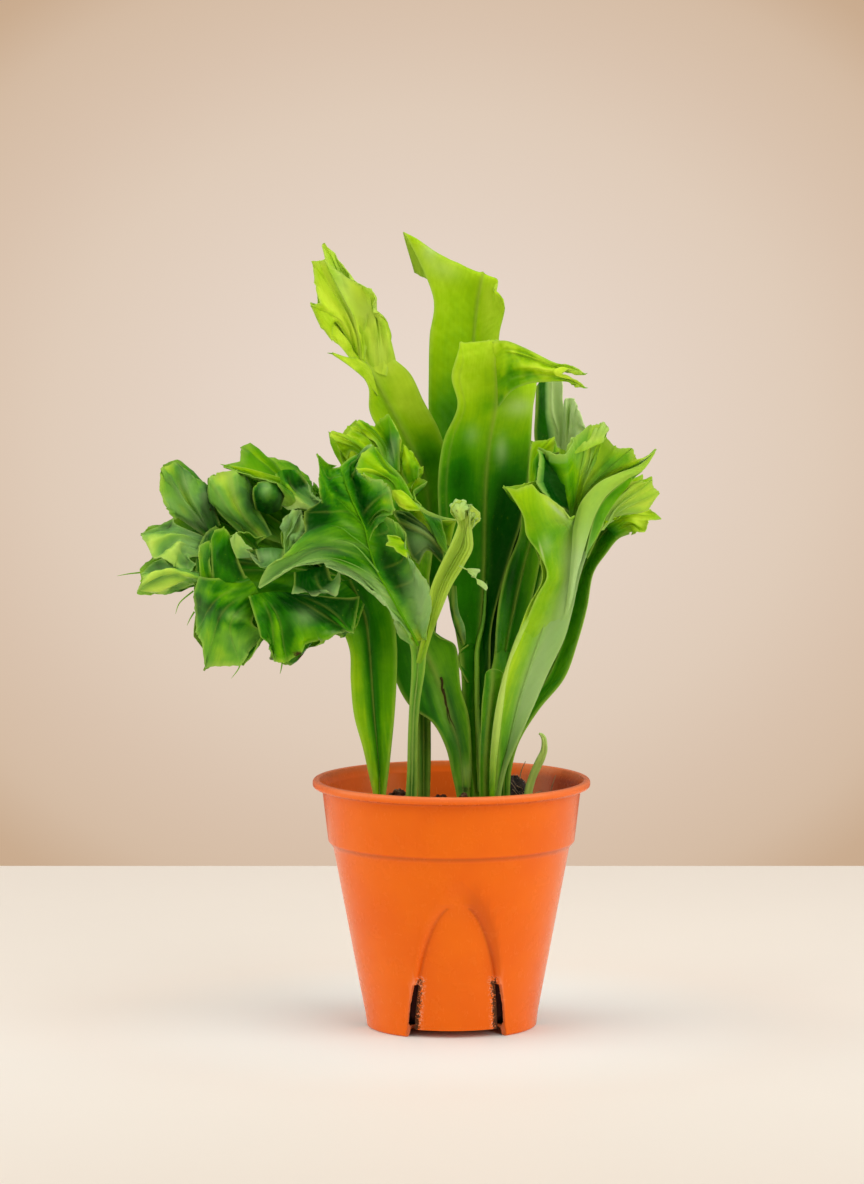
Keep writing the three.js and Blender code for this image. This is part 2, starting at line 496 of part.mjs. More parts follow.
      [[5, 80, 17], [7.6, 80, 18.4], [10.2, 80, 17]],
      [[5, 98, 17], [7.6, 98, 18.4], [10.2, 98, 17]],
      [[4.6, 130, 19], [8.6, 130, 21], [12.6, 130, 19]],
      [[4, 165, 21], [10, 165, 24], [16, 165, 21]],
      [[1, 200, 22], [9, 200, 27], [17, 200, 22]],
      [[-6, 235, 22], [8, 235, 29], [18.6, 235, 23]],
      [[-9.6, 262, 22], [8, 262, 30], [20, 262, 24]],
      [[-9.8, 282, 22], [8.8, 284, 30], [20.4, 284, 24]],
      [[-9.4, 299, 21], [9.6, 300, 29], [20.4, 299, 24]],
      [[-8, 316, 20], [0, 316, 24], [11, 313, 28], [18, 309, 26], [22.4, 308, 23]],
      [[-20.6, 343.4, 12], [-14, 339.6, 14], [-8, 335.2, 17], [-2, 331.8, 20], [3, 329.6, 23], [8, 327.2, 25],
        [13, 325.2, 26], [17, 324, 26], [19.6, 322.4, 25], [18.4, 318.6, 24], [20.4, 316.6, 23],
        [22, 314.4, 22], [22.6, 311.4, 22]],
      [[-16, 326, 27], [-12, 324, 30], [-7, 322, 33], [-2, 320, 35], [2, 319, 37], [6, 318, 38],
        [10, 318, 38], [13, 318, 36], [15.4, 317.6, 33], [16.6, 316, 30], [18, 314.6, 28],
        [19, 313.4, 26], [20, 311.6, 25]],
    ] },
  ],
  frond_centre: [
    { cols: 12, steps: 1, sharp: true,
      thick: [3, 3, 2.8, 2.4, 2, 1.8, 1.6, 1.5, 1.4, 1.3, 1.3, 1.2, 1.2, 1.1, 1, 0.9], rows: [
      [[10.2, 80, 4], [12.8, 80, 5.4], [15.4, 80, 4]],
      [[10.2, 98, 4], [12.8, 98, 5.4], [15.4, 98, 4]],
      [[8.4, 112, 3], [12.4, 112, 5.4], [15.6, 112, 3.4]],
      [[6, 128, 2], [11.4, 128, 5.4], [16, 128, 3]],
      [[4.8, 145, 1], [10.8, 145, 5], [16.8, 145, 2]],
      [[3.8, 158, 0], [11, 158, 4.4], [16.8, 158, 1]],
      [[1.6, 172, -3], [12, 172, 3.6], [17.2, 172, -1]],
      [[-1.6, 187, -6], [13, 187, 2], [20.4, 187, -1]],
      [[-4, 203, -8], [13.8, 203, 0], [25, 203, -4]],
      [[-5.4, 220, -10], [14.2, 220, -2], [30, 219, -8]],
      [[-5.8, 238, -12], [14.8, 238, -4.4], [33.2, 238, -10]],
      [[-3.4, 254, -14], [16.4, 254, -7], [34.2, 254, -11]],
      [[2.6, 269.6, -17], [19, 270, -10], [35, 268, -10]],
      [[0, 281.6, -20], [19, 281, -13], [36.4, 280, -4]],
      [[2, 289.6, -21], [18.6, 290, -15], [34, 286, 2]],
      [[3.4, 293.6, -20], [3.6, 296, -19], [7, 296, -18.6], [11, 296.4, -18], [15, 296.8, -17], [19, 297, -15.6],
        [22, 296.4, -13], [24, 295, -10], [26, 293.6, -6], [28, 292, -3], [30, 290.6, 0], [31, 289.4, 2.4],
        [32, 288, 4]],
    ] },
    { cols: 12, steps: 2, sharp: true, thick: [1.1, 1.1, 1, 0.9, 0.8], rows: [
      [[19.2, 267, -9.2], [18.4, 282, -13.4], [17, 296.4, -16.6]],
      [[25.6, 275, -17], [25, 286, -20], [23.6, 296.8, -20]],
      [[32, 278, -24], [32, 286, -26], [31, 294, -24]],
      [[42, 279.2, -32], [43, 284, -34], [43, 288, -31]],
      [[49, 279.4, -37], [53, 278.6, -40], [55.4, 277.4, -42], [57.2, 276.6, -43], [55, 279, -43],
        [51.6, 280.4, -42], [47.6, 282.6, -40], [50.4, 284.6, -41], [54, 283.6, -43], [57.4, 282.4, -44],
        [54.6, 284.6, -43], [51, 285.8, -40], [48, 286.6, -37]],
    ] },
  ],
  frond_right_inner: [
    { cols: 8, steps: 1, thick: [2.6, 2.6, 2.4, 2, 1.7, 1.5, 1.4, 1.3, 1.2, 1.1, 1], rows: [
      [[13.4, 80, -8], [15.6, 80, -6.6], [17.8, 80, -8]],
      [[13.4, 98, -8], [15.6, 98, -6.6], [17.8, 98, -8]],
      [[12.6, 112, -7], [16.4, 112, -4.6], [18.6, 112, -6]],
      [[13.4, 128, -6], [18.6, 128, -3], [20.6, 128, -4]],
      [[14.6, 146, -5], [21.6, 146, 0], [24, 146, -1]],
      [[18, 158, -2], [24.4, 158, 3], [28, 158, 2]],
      [[19.2, 173, 4], [27.4, 173, 8], [33, 173, 6]],
      [[20.8, 188, 6], [30.4, 188, 11], [37, 188, 8]],
      [[25.4, 203, 6], [33, 203, 12], [40, 203, 8]],
      [[31, 213, 7], [34.6, 212, 11], [39.6, 210, 9]],
      [[34, 219, 8], [35, 219.4, 9], [36.2, 219, 9]],
    ] },
  ],
  frond_right_front: [
    { cols: 10, steps: 1, thick: [3, 3, 2.8, 2.4, 2, 1.8, 1.6, 1.5, 1.4, 1.2], rows: [
      [[19.2, 80, -14], [21.9, 80, -12.4], [24.6, 80, -14]],
      [[19.2, 98, -14], [21.9, 98, -12.4], [24.6, 98, -14]],
      [[19.6, 110, -15], [22.6, 110, -12.4], [25.4, 110, -14]],
      [[20.2, 125, -17], [24.8, 125, -13], [29.4, 125, -15]],
      [[21.6, 140, -20], [28.4, 140, -14.6], [36, 140, -17]],
      [[24, 154, -23], [32.6, 154, -16.4], [42, 154, -19]],
      [[28, 168, -25], [37.4, 168, -18], [48.6, 168, -21]],
      [[33, 182, -26], [42.6, 183, -19], [52.4, 182, -22]],
      [[39, 194, -27], [46.6, 196, -19], [55.2, 195, -22]],
      [[38, 204, -28], [49, 207, -18], [58.6, 206, -22]],
    ] },
    { cols: 12, steps: 2, sharp: true, ruffle: [0.8, 3, 0.1, 0.4], rows: [
      [[38.4, 200, -26], [44, 203, -20.6], [49, 205, -17.4]],
      [[34, 214, -31], [40, 218, -28], [48, 221, -20]],
      [[34.4, 218.6, -34], [31, 224.6, -38], [27, 229, -42], [21.8, 233.9, -46], [27.4, 234.2, -43],
        [32.6, 235.2, -39], [36, 236.6, -36], [38.6, 236.4, -34], [41, 234, -32], [43.6, 231, -30],
        [46, 228, -27], [48, 225, -24], [49.8, 222, -21]],
    ] },
    { cols: 12, steps: 2, sharp: true, ruffle: [0.9, 3, 0.4, 0.4], rows: [
      [[42, 200, -21.4], [47.6, 202, -17.4], [53, 204, -17]],
      [[36, 222, -9], [43, 224, -3], [52, 222, -5]],
      [[33, 233, -6], [33.6, 240, -4], [34.2, 247, -2], [35, 253.6, 1], [38, 252.6, 4], [41, 253.2, 6],
        [43.6, 255.4, 7], [46, 251, 7], [49, 249.6, 6], [53, 251, 5], [57, 248, 4], [60, 243, 2],
        [62, 236, -1]],
    ] },
    { cols: 24, steps: 2, sharp: true, ruffle: [1.2, 4, 0.2, 0.4], rows: [
      [[46.6, 202.4, -18.4], [51.6, 205, -16.6], [56.4, 204, -19.6]],
      [[48, 224, -26], [56, 232, -24], [62, 226, -18]],
      [[36.6, 250.4, -36], [39.4, 249.4, -37], [43, 248.8, -38], [48, 248.2, -38], [50.4, 251.6, -35],
        [53, 254.8, -32], [56, 256.8, -31], [59.6, 260, -30], [62.6, 260.6, -28], [65, 261.8, -26],
        [66.8, 259.4, -25], [66.2, 255.6, -26], [69, 251.8, -28], [73, 250.2, -30], [77.4, 250.6, -28],
        [79, 246.6, -26], [83, 247.4, -25], [87.8, 249.8, -22], [85, 245.6, -20], [82.6, 241, -18],
        [79, 238.6, -16], [74, 235.6, -15], [69.6, 231.6, -14], [66, 227, -14], [62.6, 221, -15]],
    ] },
    { cols: 12, steps: 2, sharp: true, ruffle: [0.8, 3, 0.1, 0.4], rows: [
      [[52, 203, -17.6], [56, 204, -19.4], [58.6, 203, -21.6]],
      [[62, 222, -12], [68, 222, -20], [64.4, 215.4, -22]],
      [[78, 237.4, -7], [81.6, 239.4, -8], [82.6, 236.4, -10], [86.4, 237.8, -12], [86, 234.6, -14],
        [89.2, 231.4, -16], [87, 227.8, -18], [84.6, 224.8, -19], [81, 224.4, -20], [77, 223, -21],
        [73, 221.6, -22], [69.6, 220.6, -22], [66.4, 218.4, -22]],
    ] },
  ],
  frond_right_back: [
    { cols: 8, steps: 1, thick: [2.8, 2.8, 2.6, 2.2, 1.9, 1.7, 1.5, 1.4, 1.3, 1.2, 1.1, 1], rows: [
      [[20, 80, 5], [22.6, 80, 6.4], [25.2, 80, 5]],
      [[20, 98, 5], [22.6, 98, 6.4], [25.2, 98, 5]],
      [[20, 110, 5], [23, 110, 7.4], [25.6, 110, 5]],
      [[21, 122, 5], [25, 122, 9], [28.6, 122, 6]],
      [[25, 137, 8], [31, 137, 12], [37.4, 137, 8]],
      [[33, 151, 12], [41, 150, 15], [48.6, 151, 10]],
      [[40, 166, 14], [48, 166, 18], [54.4, 167, 11]],
      [[44, 182, 16], [52, 182, 20], [58.4, 182, 12]],
      [[48, 196, 16], [56, 196, 20], [61, 196.6, 11]],
      [[52, 207, 14], [62, 209, 18], [66.4, 205, 8]],
      [[58, 217, 10], [68, 217, 12], [72.4, 212, 4]],
      [[66, 221, 8], [72, 220, 9], [76.6, 213.6, 2]],
    ] },
    { cols: 12, steps: 2, sharp: true, ruffle: [0.8, 3, 0.1, 0.3], rows: [
      [[62, 217, 9.4], [67, 216, 10.6], [71, 211.6, 4.6]],
      [[72, 223, 6], [76, 221, 3], [77.6, 214.6, -1]],
      [[76, 227, 8], [79.6, 228.4, 6], [83, 226.4, 4], [84.6, 224.4, 2], [87, 223, -1], [90, 220.4, -3],
        [87, 219.2, -3], [84.6, 218.4, -4], [83.6, 216.4, -5], [82.8, 215, -5], [81, 214, -5], [79, 213.6, -4],
        [77, 213.4, -2]],
    ] },
  ],
  frond_back_right: [
    { cols: 8, steps: 1, thick: [2.8, 2.8, 2.6, 2.4, 2, 1.8, 1.6, 1.4, 1.2, 1, 1], rows: [
      [[17.4, 80, 22], [20, 80, 23.4], [22.6, 80, 22]],
      [[17.4, 98, 22], [20, 98, 23.4], [22.6, 98, 22]],
      [[20, 125, 24], [23, 125, 26], [26, 125, 24]],
      [[25, 150, 26], [29, 150, 29], [33, 150, 26]],
      [[30, 175, 28], [35, 175, 32], [40, 175, 28]],
      [[35, 200, 28], [41, 200, 33], [47, 200, 28]],
      [[38, 225, 26], [44, 225, 31], [51, 225, 26]],
      [[37, 246, 22], [45.4, 246, 28], [54, 244, 22]],
      [[35.6, 256, 18], [46, 257, 25], [56, 254, 18]],
      [[36, 266, 15], [43, 266, 22], [49, 266, 20]],
      [[36.4, 277, 12], [42.6, 284, 16], [47.6, 279, 14]],
    ] },
    { cols: 8, steps: 2, sharp: true, rows: [
      [[47, 250, 25], [55, 248, 20]],
      [[47.8, 260, 19], [56.6, 258, 15]],
      [[48.2, 270, 14], [48.8, 272, 13], [50.6, 272.2, 13], [52.6, 271.8, 12], [53.2, 270, 12], [54.4, 267.4, 12],
        [55.4, 265, 12], [56.6, 261.4, 12], [57.6, 258.6, 12]],
    ] },
  ],
  sprout: [
    { cols: 6, steps: 1, thick: [2.4, 2.4, 2.4, 2.3, 2.2, 2.1, 2, 1.8, 1.5, 1.2, 0.9], rows: [
      [[31.4, 80, -6], [33, 80, -5], [34.6, 80, -6]],
      [[31.4, 98, -6], [33, 98, -5], [34.6, 98, -6]],
      [[31.8, 102, -6.2], [33.4, 102, -5.2], [35, 102, -6.2]],
      [[33, 106.6, -7], [34.6, 106.6, -6], [36.2, 106.6, -7]],
      [[34.8, 111.6, -8.4], [36.6, 111.6, -7.4], [38.4, 111.6, -8.4]],
      [[36.8, 116, -9.8], [38.6, 116, -8.8], [40.4, 116, -9.8]],
      [[38.6, 119.4, -11], [40, 119.6, -10], [41.3, 119.8, -11]],
      [[39.2, 122.4, -12.4], [40.2, 122.6, -11.4], [41.1, 122.8, -12.4]],
      [[39, 124.8, -13.4], [39.8, 125.2, -12.6], [40.5, 125.6, -13.4]],
      [[38.4, 126.2, -14], [38.8, 126.6, -13.6], [39.2, 127, -14]],
      [[37.8, 126.8, -14.4], [38, 127, -14.2], [38.2, 127.2, -14.4]],
    ] },
  ],
};

// A straight hole for the stem, wider than it by the gap on every side.
function stemHole(frond) {
  const [low, high] = frond[0].rows;
  const wider = (row, dz) => row.map(([x, z, depth], i) => [x + (i - 1) * GAP, z + dz, depth]);
  return blade({ cols: frond[0].cols, steps: 1, thick: frond[0].thick.slice(0, 2),
    rows: [wider(low, -GAP), wider(high, 1)] }, GAP);
}

// A lumpy ball of roots and soil, seated in a shallow hollow of the soil.
function rootClump() {
  const rings = Array.from({ length: CLUMP.levels }, (_, i) => {
    const t = (Math.PI * (i + 0.5)) / CLUMP.levels;
    return Array.from({ length: CLUMP.sides }, (_, j) => {
      const a = (2 * Math.PI * j) / CLUMP.sides;
      const r = Math.sin(t) * (1 + 0.12 * Math.sin(3 * a + i) + 0.08 * Math.cos(5 * a - 2 * i));
      return new THREE.Vector3(CLUMP.x + CLUMP.wide * r * Math.cos(a),
        CLUMP.y + CLUMP.deep * r * Math.sin(a), CLUMP.z - CLUMP.tall * Math.cos(t));
    });
  });
  return stacked(rings);
}

function clumpHollow() {
  const seat = CLUMP.z - CLUMP.tall * Math.cos(Math.PI / 2 / CLUMP.levels) - GAP, sides = 20;
  return stacked([seat, POT_HEIGHT].map((z) => Array.from({ length: sides }, (_, j) => {
    const a = (2 * Math.PI * j) / sides;
    return new THREE.Vector3(CLUMP.x + CLUMP_HOLLOW.wide * Math.cos(a),
      CLUMP.y + CLUMP_HOLLOW.deep * Math.sin(a), z);
  })));
}

function named(made, name, colour, roughness) {
  const { vertProperties, triVerts } = made.getMesh();
  const geometry = new THREE.BufferGeometry();
  geometry.setAttribute('position', new THREE.BufferAttribute(new Float32Array(vertProperties), 3));
  geometry.setIndex(new THREE.BufferAttribute(new Uint32Array(triVerts), 1));
  geometry.computeVertexNormals();
  const mesh = new THREE.Mesh(geometry, new THREE.MeshStandardMaterial({ color: colour, roughness }));
  mesh.name = name;
  return mesh;
}

const COLOURS = {
  frond_left: 0x3f7d10, frond_front: 0x6f9a2c, frond_middle: 0x77b01a, frond_upper_left: 0xa6c71a,
  frond_tall: 0x8fb80c, frond_centre: 0x5f9a0c, frond_right_inner: 0x2f6d10, frond_right_front: 0x86a823,
  frond_right_back: 0x1f6a10, frond_back_right: 0x7fae78, sprout: 0xa9c860,
};

function plant() {
  const group = new THREE.Group();
  group.add(named(pot(), 'pot', 0xe8692a, 0.4));
  const fronds = Object.entries(FRONDS);
  group.add(named(soil(fronds.map(([, f]) => stemHole(f)), clumpHollow()), 'soil', 0x2c211b, 0.95));
  group.add(named(rootClump(), 'root_clump', 0x3a2c22, 0.95));
  for (const [name, sheets] of fronds) {
    const fused = sheets.map((s) => blade(s)).reduce((a, b) => a.add(b)).simplify(SMALLEST_DETAIL);
    group.add(named(fused, name, COLOURS[name], 0.35));
  }
  const middle = new THREE.Box3().setFromObject(group).getCenter(new THREE.Vector3());
  for (const mesh of group.children) mesh.geometry.translate(-middle.x, -middle.y, 0);
  return group;
}

export default plant();
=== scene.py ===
"""Looks of a potted crested fern: pot, soil, root clump, fronds and young shoot.

Lengths are millimetres about the pot's axis, +Z up, until a mesh is made, which is in metres
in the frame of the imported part. Every surface is a grid of points worked out as whole arrays.
"""

import logging
import math
from dataclasses import dataclass, field
from enum import Enum
from typing import Any, Sequence, Union

import bmesh
import bpy
import numpy as np
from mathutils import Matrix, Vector


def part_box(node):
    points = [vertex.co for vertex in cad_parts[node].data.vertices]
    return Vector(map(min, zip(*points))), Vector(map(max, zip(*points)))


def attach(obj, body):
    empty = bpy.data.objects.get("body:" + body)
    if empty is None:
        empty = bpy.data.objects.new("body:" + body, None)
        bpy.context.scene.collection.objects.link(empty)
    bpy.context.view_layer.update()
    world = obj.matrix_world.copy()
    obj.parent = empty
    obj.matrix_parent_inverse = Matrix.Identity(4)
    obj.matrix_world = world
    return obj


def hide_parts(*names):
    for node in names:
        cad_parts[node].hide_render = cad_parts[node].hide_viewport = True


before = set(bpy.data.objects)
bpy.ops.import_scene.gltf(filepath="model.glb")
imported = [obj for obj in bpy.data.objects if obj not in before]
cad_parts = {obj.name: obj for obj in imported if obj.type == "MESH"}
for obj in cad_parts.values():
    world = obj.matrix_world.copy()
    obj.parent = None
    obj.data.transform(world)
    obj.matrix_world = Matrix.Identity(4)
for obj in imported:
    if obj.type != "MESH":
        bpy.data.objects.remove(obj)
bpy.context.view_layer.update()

LOG = logging.getLogger("potted_fern")
MM = 0.001
POT_LOW, POT_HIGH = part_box("pot")
AXIS_X = (POT_LOW.x + POT_HIGH.x) / 2 / MM

Array = np.ndarray
Point = tuple[float, float, float]
Row = tuple[Point, ...]


class Slot(Enum):
    """The record's material slots."""

    POT = "pot_plastic"
    SOIL = "soil_mix"
    ROOTS = "root_mix"
    GREEN = "leaf_green"
    BRIGHT = "leaf_bright"
    DARK = "leaf_dark"
    PALE = "leaf_pale"


# ---------------------------------------------------------------- shader expressions


class Wire:
    """One output of a shader node, written into sums as a number is."""

    def __init__(self, tree: bpy.types.NodeTree, socket: bpy.types.NodeSocket) -> None:
        """Keeps the tree and the output socket."""
        self.tree, self.socket = tree, socket

    def math(self, operation: str, *others: Union["Wire", float], first: Any = None) -> "Wire":
        """Adds one Math node.

        Args:
            operation: the Math node's operation.
            others: its further inputs.
            first: its first input, where that isn't this wire.

        Returns:
            The node's value.
        """
        node = self.tree.nodes.new("ShaderNodeMath")
        node.operation = operation
        for socket, value in zip(node.inputs, (self if first is None else first, *others)):
            if isinstance(value, Wire):
                self.tree.links.new(value.socket, socket)
            else:
                socket.default_value = float(value)
        return Wire(self.tree, node.outputs[0])

    def __add__(self, other: Any) -> "Wire":
        """Sum."""
        return self.math("ADD", other)

    def __sub__(self, other: Any) -> "Wire":
        """Difference."""
        return self.math("SUBTRACT", other)

    def __rsub__(self, other: Any) -> "Wire":
        """Difference from a number."""
        return self.math("SUBTRACT", self, first=other)

    def __mul__(self, other: Any) -> "Wire":
        """Product."""
        return self.math("MULTIPLY", other)

    def __truediv__(self, other: Any) -> "Wire":
        """Quotient."""
        return self.math("DIVIDE", other)

    __radd__ = __add__
    __rmul__ = __mul__

    def least(self, other: Any) -> "Wire":
        """The lower of the two."""
        return self.math("MINIMUM", other)

    def most(self, other: Any) -> "Wire":
        """The higher of the two."""
        return self.math("MAXIMUM", other)

    def ease(self, low: float, high: float) -> "Wire":
        """Runs smoothly from 0 at low to 1 at high: t*t*(3 - 2t) of the clamped share t."""
        t = ((self - low) * (1 / (high - low))).most(0).least(1)
        return t * t * (3 - 2 * t)


class Bench:
    """A node tree under construction: its nodes come from one method."""

    def __init__(self, tree: bpy.types.NodeTree) -> None:
        """Starts with an empty tree."""
        self.tree = tree
        tree.nodes.clear()

    def node(self, kind: str, settings: dict[str, Any] | None = None, **inputs: Any) -> bpy.types.Node:
        """Adds a node.

        Args:
            kind: the node's type without its ShaderNode prefix.
            settings: its properties, set first; "stops" is a ramp's (place, colour) list.
            inputs: values or wires by socket name, with _ for a space.

        Returns:
            The node.
        """
        made = self.tree.nodes.new("ShaderNode" + kind)
        for key, value in (settings or {}).items():
            if key == "stops":
                self.set_stops(made.color_ramp, value)
            else:
                setattr(made, key, value)
        for key, value in inputs.items():
            number = int(key[1:]) if key[0] == "i" and key[1:].isdigit() else None
            socket = made.inputs[number if number is not None else key.replace("_", " ")]
            if isinstance(value, Wire):
                self.tree.links.new(value.socket, socket)
            elif isinstance(value, bpy.types.NodeSocket):
                self.tree.links.new(value, socket)
            else:
                socket.default_value = value
        return made

    @staticmethod
    def set_stops(ramp: bpy.types.ColorRamp, stops: Sequence[tuple[float, tuple]]) -> None:
        """Gives a ramp its stops.

        Args:
            ramp: the ramp.
            stops: the place and colour of each.
        """
        while len(ramp.elements) > 1:
            ramp.elements.remove(ramp.elements[-1])
        for i, (place, colour) in enumerate(stops):
            element = ramp.elements[0] if i == 0 else ramp.elements.new(place)
            element.position, element.color = place, (*colour, 1.0)

    def ramp(self, at: Wire, stops: Sequence[tuple[float, tuple]]) -> bpy.types.NodeSocket:
        """A colour read off a ramp."""
        return self.node("ValToRGB", {"stops": stops}, Fac=at).outputs["Color"]

    def far(self, way: bpy.types.NodeSocket, middle: Point) -> Wire:
        """How far a direction points from a middle one."""
        apart = self.node("VectorMath", {"operation": "DISTANCE"}, i0=way, i1=middle)
        return Wire(self.tree, apart.outputs["Value"])


class Dye(Bench):
    """A material under construction."""

    def __init__(self, name: str) -> None:
        """Starts a material that holds only the place on the piece.

        Args:
            name: the material's name.
        """
        self.material = bpy.data.materials.new(name)
        self.material.use_nodes = True
        super().__init__(self.material.node_tree)
        self.place = self.node("TexCoord").outputs["Object"]

    def noise(self, size: float, detail: float = 3.0, stretch: Point = (1, 1, 1), rough: float = 0.5) -> Wire:
        """Noise of about 0 to 1 whose lumps are about size millimetres across.

        Args:
            size: width of a lump in millimetres.
            detail: finer layers.
            stretch: how much finer it is along each axis.
            rough: weight of the finer layers.

        Returns:
            The noise's value.
        """
        put = self.node("Mapping", {"vector_type": "POINT"}, Vector=self.place, Scale=stretch)
        made = self.node("TexNoise", Vector=put.outputs[0], Scale=1 / (size * MM), Detail=detail,
                         Roughness=rough)
        return Wire(self.tree, made.outputs["Fac"])

    def streak(self, across: Wire, along: Wire, wide: float, tall: float) -> Wire:
        """Noise of about 0 to 1 drawn out along the piece.

        Args:
            across: millimetres across it.
            along: millimetres along it.
            wide: width of a streak in millimetres.
            tall: its length.

        Returns:
            The noise's value.
        """
        put = self.node("CombineXYZ", X=across / wide, Y=along / tall)
        made = self.node("TexNoise", Vector=put.outputs[0], Scale=1.0, Detail=3.0)
        return Wire(self.tree, made.outputs["Fac"])

    def value(self, name: str) -> Wire:
        """A number that the mesh holds at each point."""
        return Wire(self.tree, self.node("Attribute", {"attribute_name": name}).outputs["Fac"])

    def mix(self, share: Any, low: Any, high: Any) -> bpy.types.NodeSocket:
        """Mixes two colours.

        Args:
            share: how much of the second, a number or a wire.
            low: the first, a colour or a socket.
            high: the second.

        Returns:
            The mixed colour.
        """
        return self.node("Mix", {"data_type": "RGBA"}, i0=share, i6=rgba(low), i7=rgba(high)).outputs[2]

    def bump(self, height: Wire, depth: float) -> bpy.types.NodeSocket:
        """A normal tilted by a height of 0 to 1 that stands depth millimetres tall."""
        return self.node("Bump", Height=height, Distance=depth * MM, Strength=1.0).outputs[0]

    def parts(self) -> tuple[Wire, Wire, Wire]:
        """The place on the piece, in millimetres, as three numbers."""
        made = self.node("SeparateXYZ", Vector=self.place)
        return tuple(Wire(self.tree, socket) * 1000.0 for socket in made.outputs)

    def finish(self, shader: bpy.types.NodeSocket) -> bpy.types.Material:
        """Links the surface shader and returns the material."""
        self.node("OutputMaterial", Surface=shader)
        return self.material


def rgba(colour: Any) -> Any:
    """A three-number colour with its alpha, or the socket as it is."""
    return (*colour, 1.0) if isinstance(colour, tuple) and len(colour) == 3 else colour


def from_screen(red: int, green: int, blue: int) -> tuple[float, float, float]:
    """Scene-linear colour of an 8-bit screen colour, by the sRGB curve.

    Args:
        red: its red, 0 to 255.
        green: its green.
        blue: its blue.

    Returns:
        The linear colour.
    """
    share = np.array((red, green, blue)) / 255
    linear = np.where(share > 0.04045, ((share + 0.055) / 1.055) ** 2.4, share / 12.92)
    return tuple(float(c) for c in linear)


# ---------------------------------------------------------------- curves and grids


def slopes(points: Array, knots: Array) -> Array:
    """Slope at each knot: the two chords beside it, each weighed by the other's length.

    Args:
        points: (n, ...) values at the knots.
        knots: (n,) rising places.

    Returns:
        (n, ...) slopes; the ends take the slope of their only chord.
    """
    step = np.diff(knots).reshape((-1,) + (1,) * (points.ndim - 1))
    chord = np.diff(points, axis=0) / step
    inner = (chord[:-1] * step[1:] + chord[1:] * step[:-1]) / (step[:-1] + step[1:])
    return np.concatenate([chord[:1], inner, chord[-1:]])


def curve(points: Array, knots: Array, at: Array, slack: Array | None = None) -> Array:
    """Cubic Hermite curve through points, with the slopes above.

    Args:
        points: (n, ...) values at the knots.
        knots: (n,) rising places.
        at: (m,) places to read.
        slack: (n,) factor on each slope, 0 for a pointed corner.

    Returns:
        (m, ...) values.
    """
    lean = slopes(points, knots)
    wide = (-1,) + (1,) * (points.ndim - 1)
    if slack is not None:
        lean = lean * slack.reshape(wide)
    span = np.clip(np.searchsorted(knots, at, side="right") - 1, 0, len(knots) - 2)
    step = (knots[span + 1] - knots[span]).reshape(wide)
    t = ((at - knots[span]) / (knots[span + 1] - knots[span])).reshape(wide)
    t2, t3 = t * t, t * t * t
    return ((2 * t3 - 3 * t2 + 1) * points[span] + (t3 - 2 * t2 + t) * step * lean[span]
            + (3 * t2 - 2 * t3) * points[span + 1] + (t3 - t2) * step * lean[span + 1])


def blend(values: Sequence[float], share: Array) -> Array:
    """Evenly spread values read at a share of 0 to 1, with straight runs between them."""
    return np.interp(share, np.linspace(0, 1, len(values)), values)


def ease(low: float, high: float, value: Array) -> Array:
    """Runs smoothly from 0 at low to 1 at high: t*t*(3 - 2t) of the clamped share t."""
    t = np.clip((value - low) / (high - low), 0, 1)
    return t * t * (3 - 2 * t)


def normals_of(grid: Array) -> Array:
    """Unit normals of a (rows, columns, 3) grid: the cross product of its two directions."""
    across = np.cross(np.gradient(grid, axis=0), np.gradient(grid, axis=1))
    return across / np.maximum(np.linalg.norm(across, axis=-1, keepdims=True), 1e-9)


def ripples(shape: tuple[int, int], lumps: tuple[float, float], seed: int, layers: int = 3) -> Array:
    """Smooth seeded noise on a grid, about -1 to 1: a sum of sine waves of drawn directions.

    Args:
        shape: rows and columns of the grid.
        lumps: how many lumps there are along and across it.
        seed: seed of the draw.
        layers: octaves, each finer by 1.9 and weaker by 0.55.

    Returns:
        The noise's height at each grid point.
    """
    draw = np.random.default_rng(seed)
    u, v = np.meshgrid(np.linspace(0, 1, shape[0]), np.linspace(0, 1, shape[1]), indexing="ij")
    height, weight, fine = np.zeros(shape), 1.0, 1.0
    for _ in range(layers):
        for _ in range(5):
            turn, shift = draw.uniform(0, math.tau), draw.uniform(0, math.tau)
            along, across = lumps[0] * fine * math.cos(turn), lumps[1] * fine * math.sin(turn)
            height += weight * 0.45 * np.sin(math.tau * (along * u + across * v) + shift)
        weight, fine = weight * 0.55, fine * 1.9
    return height / 1.6


# ---------------------------------------------------------------- meshes


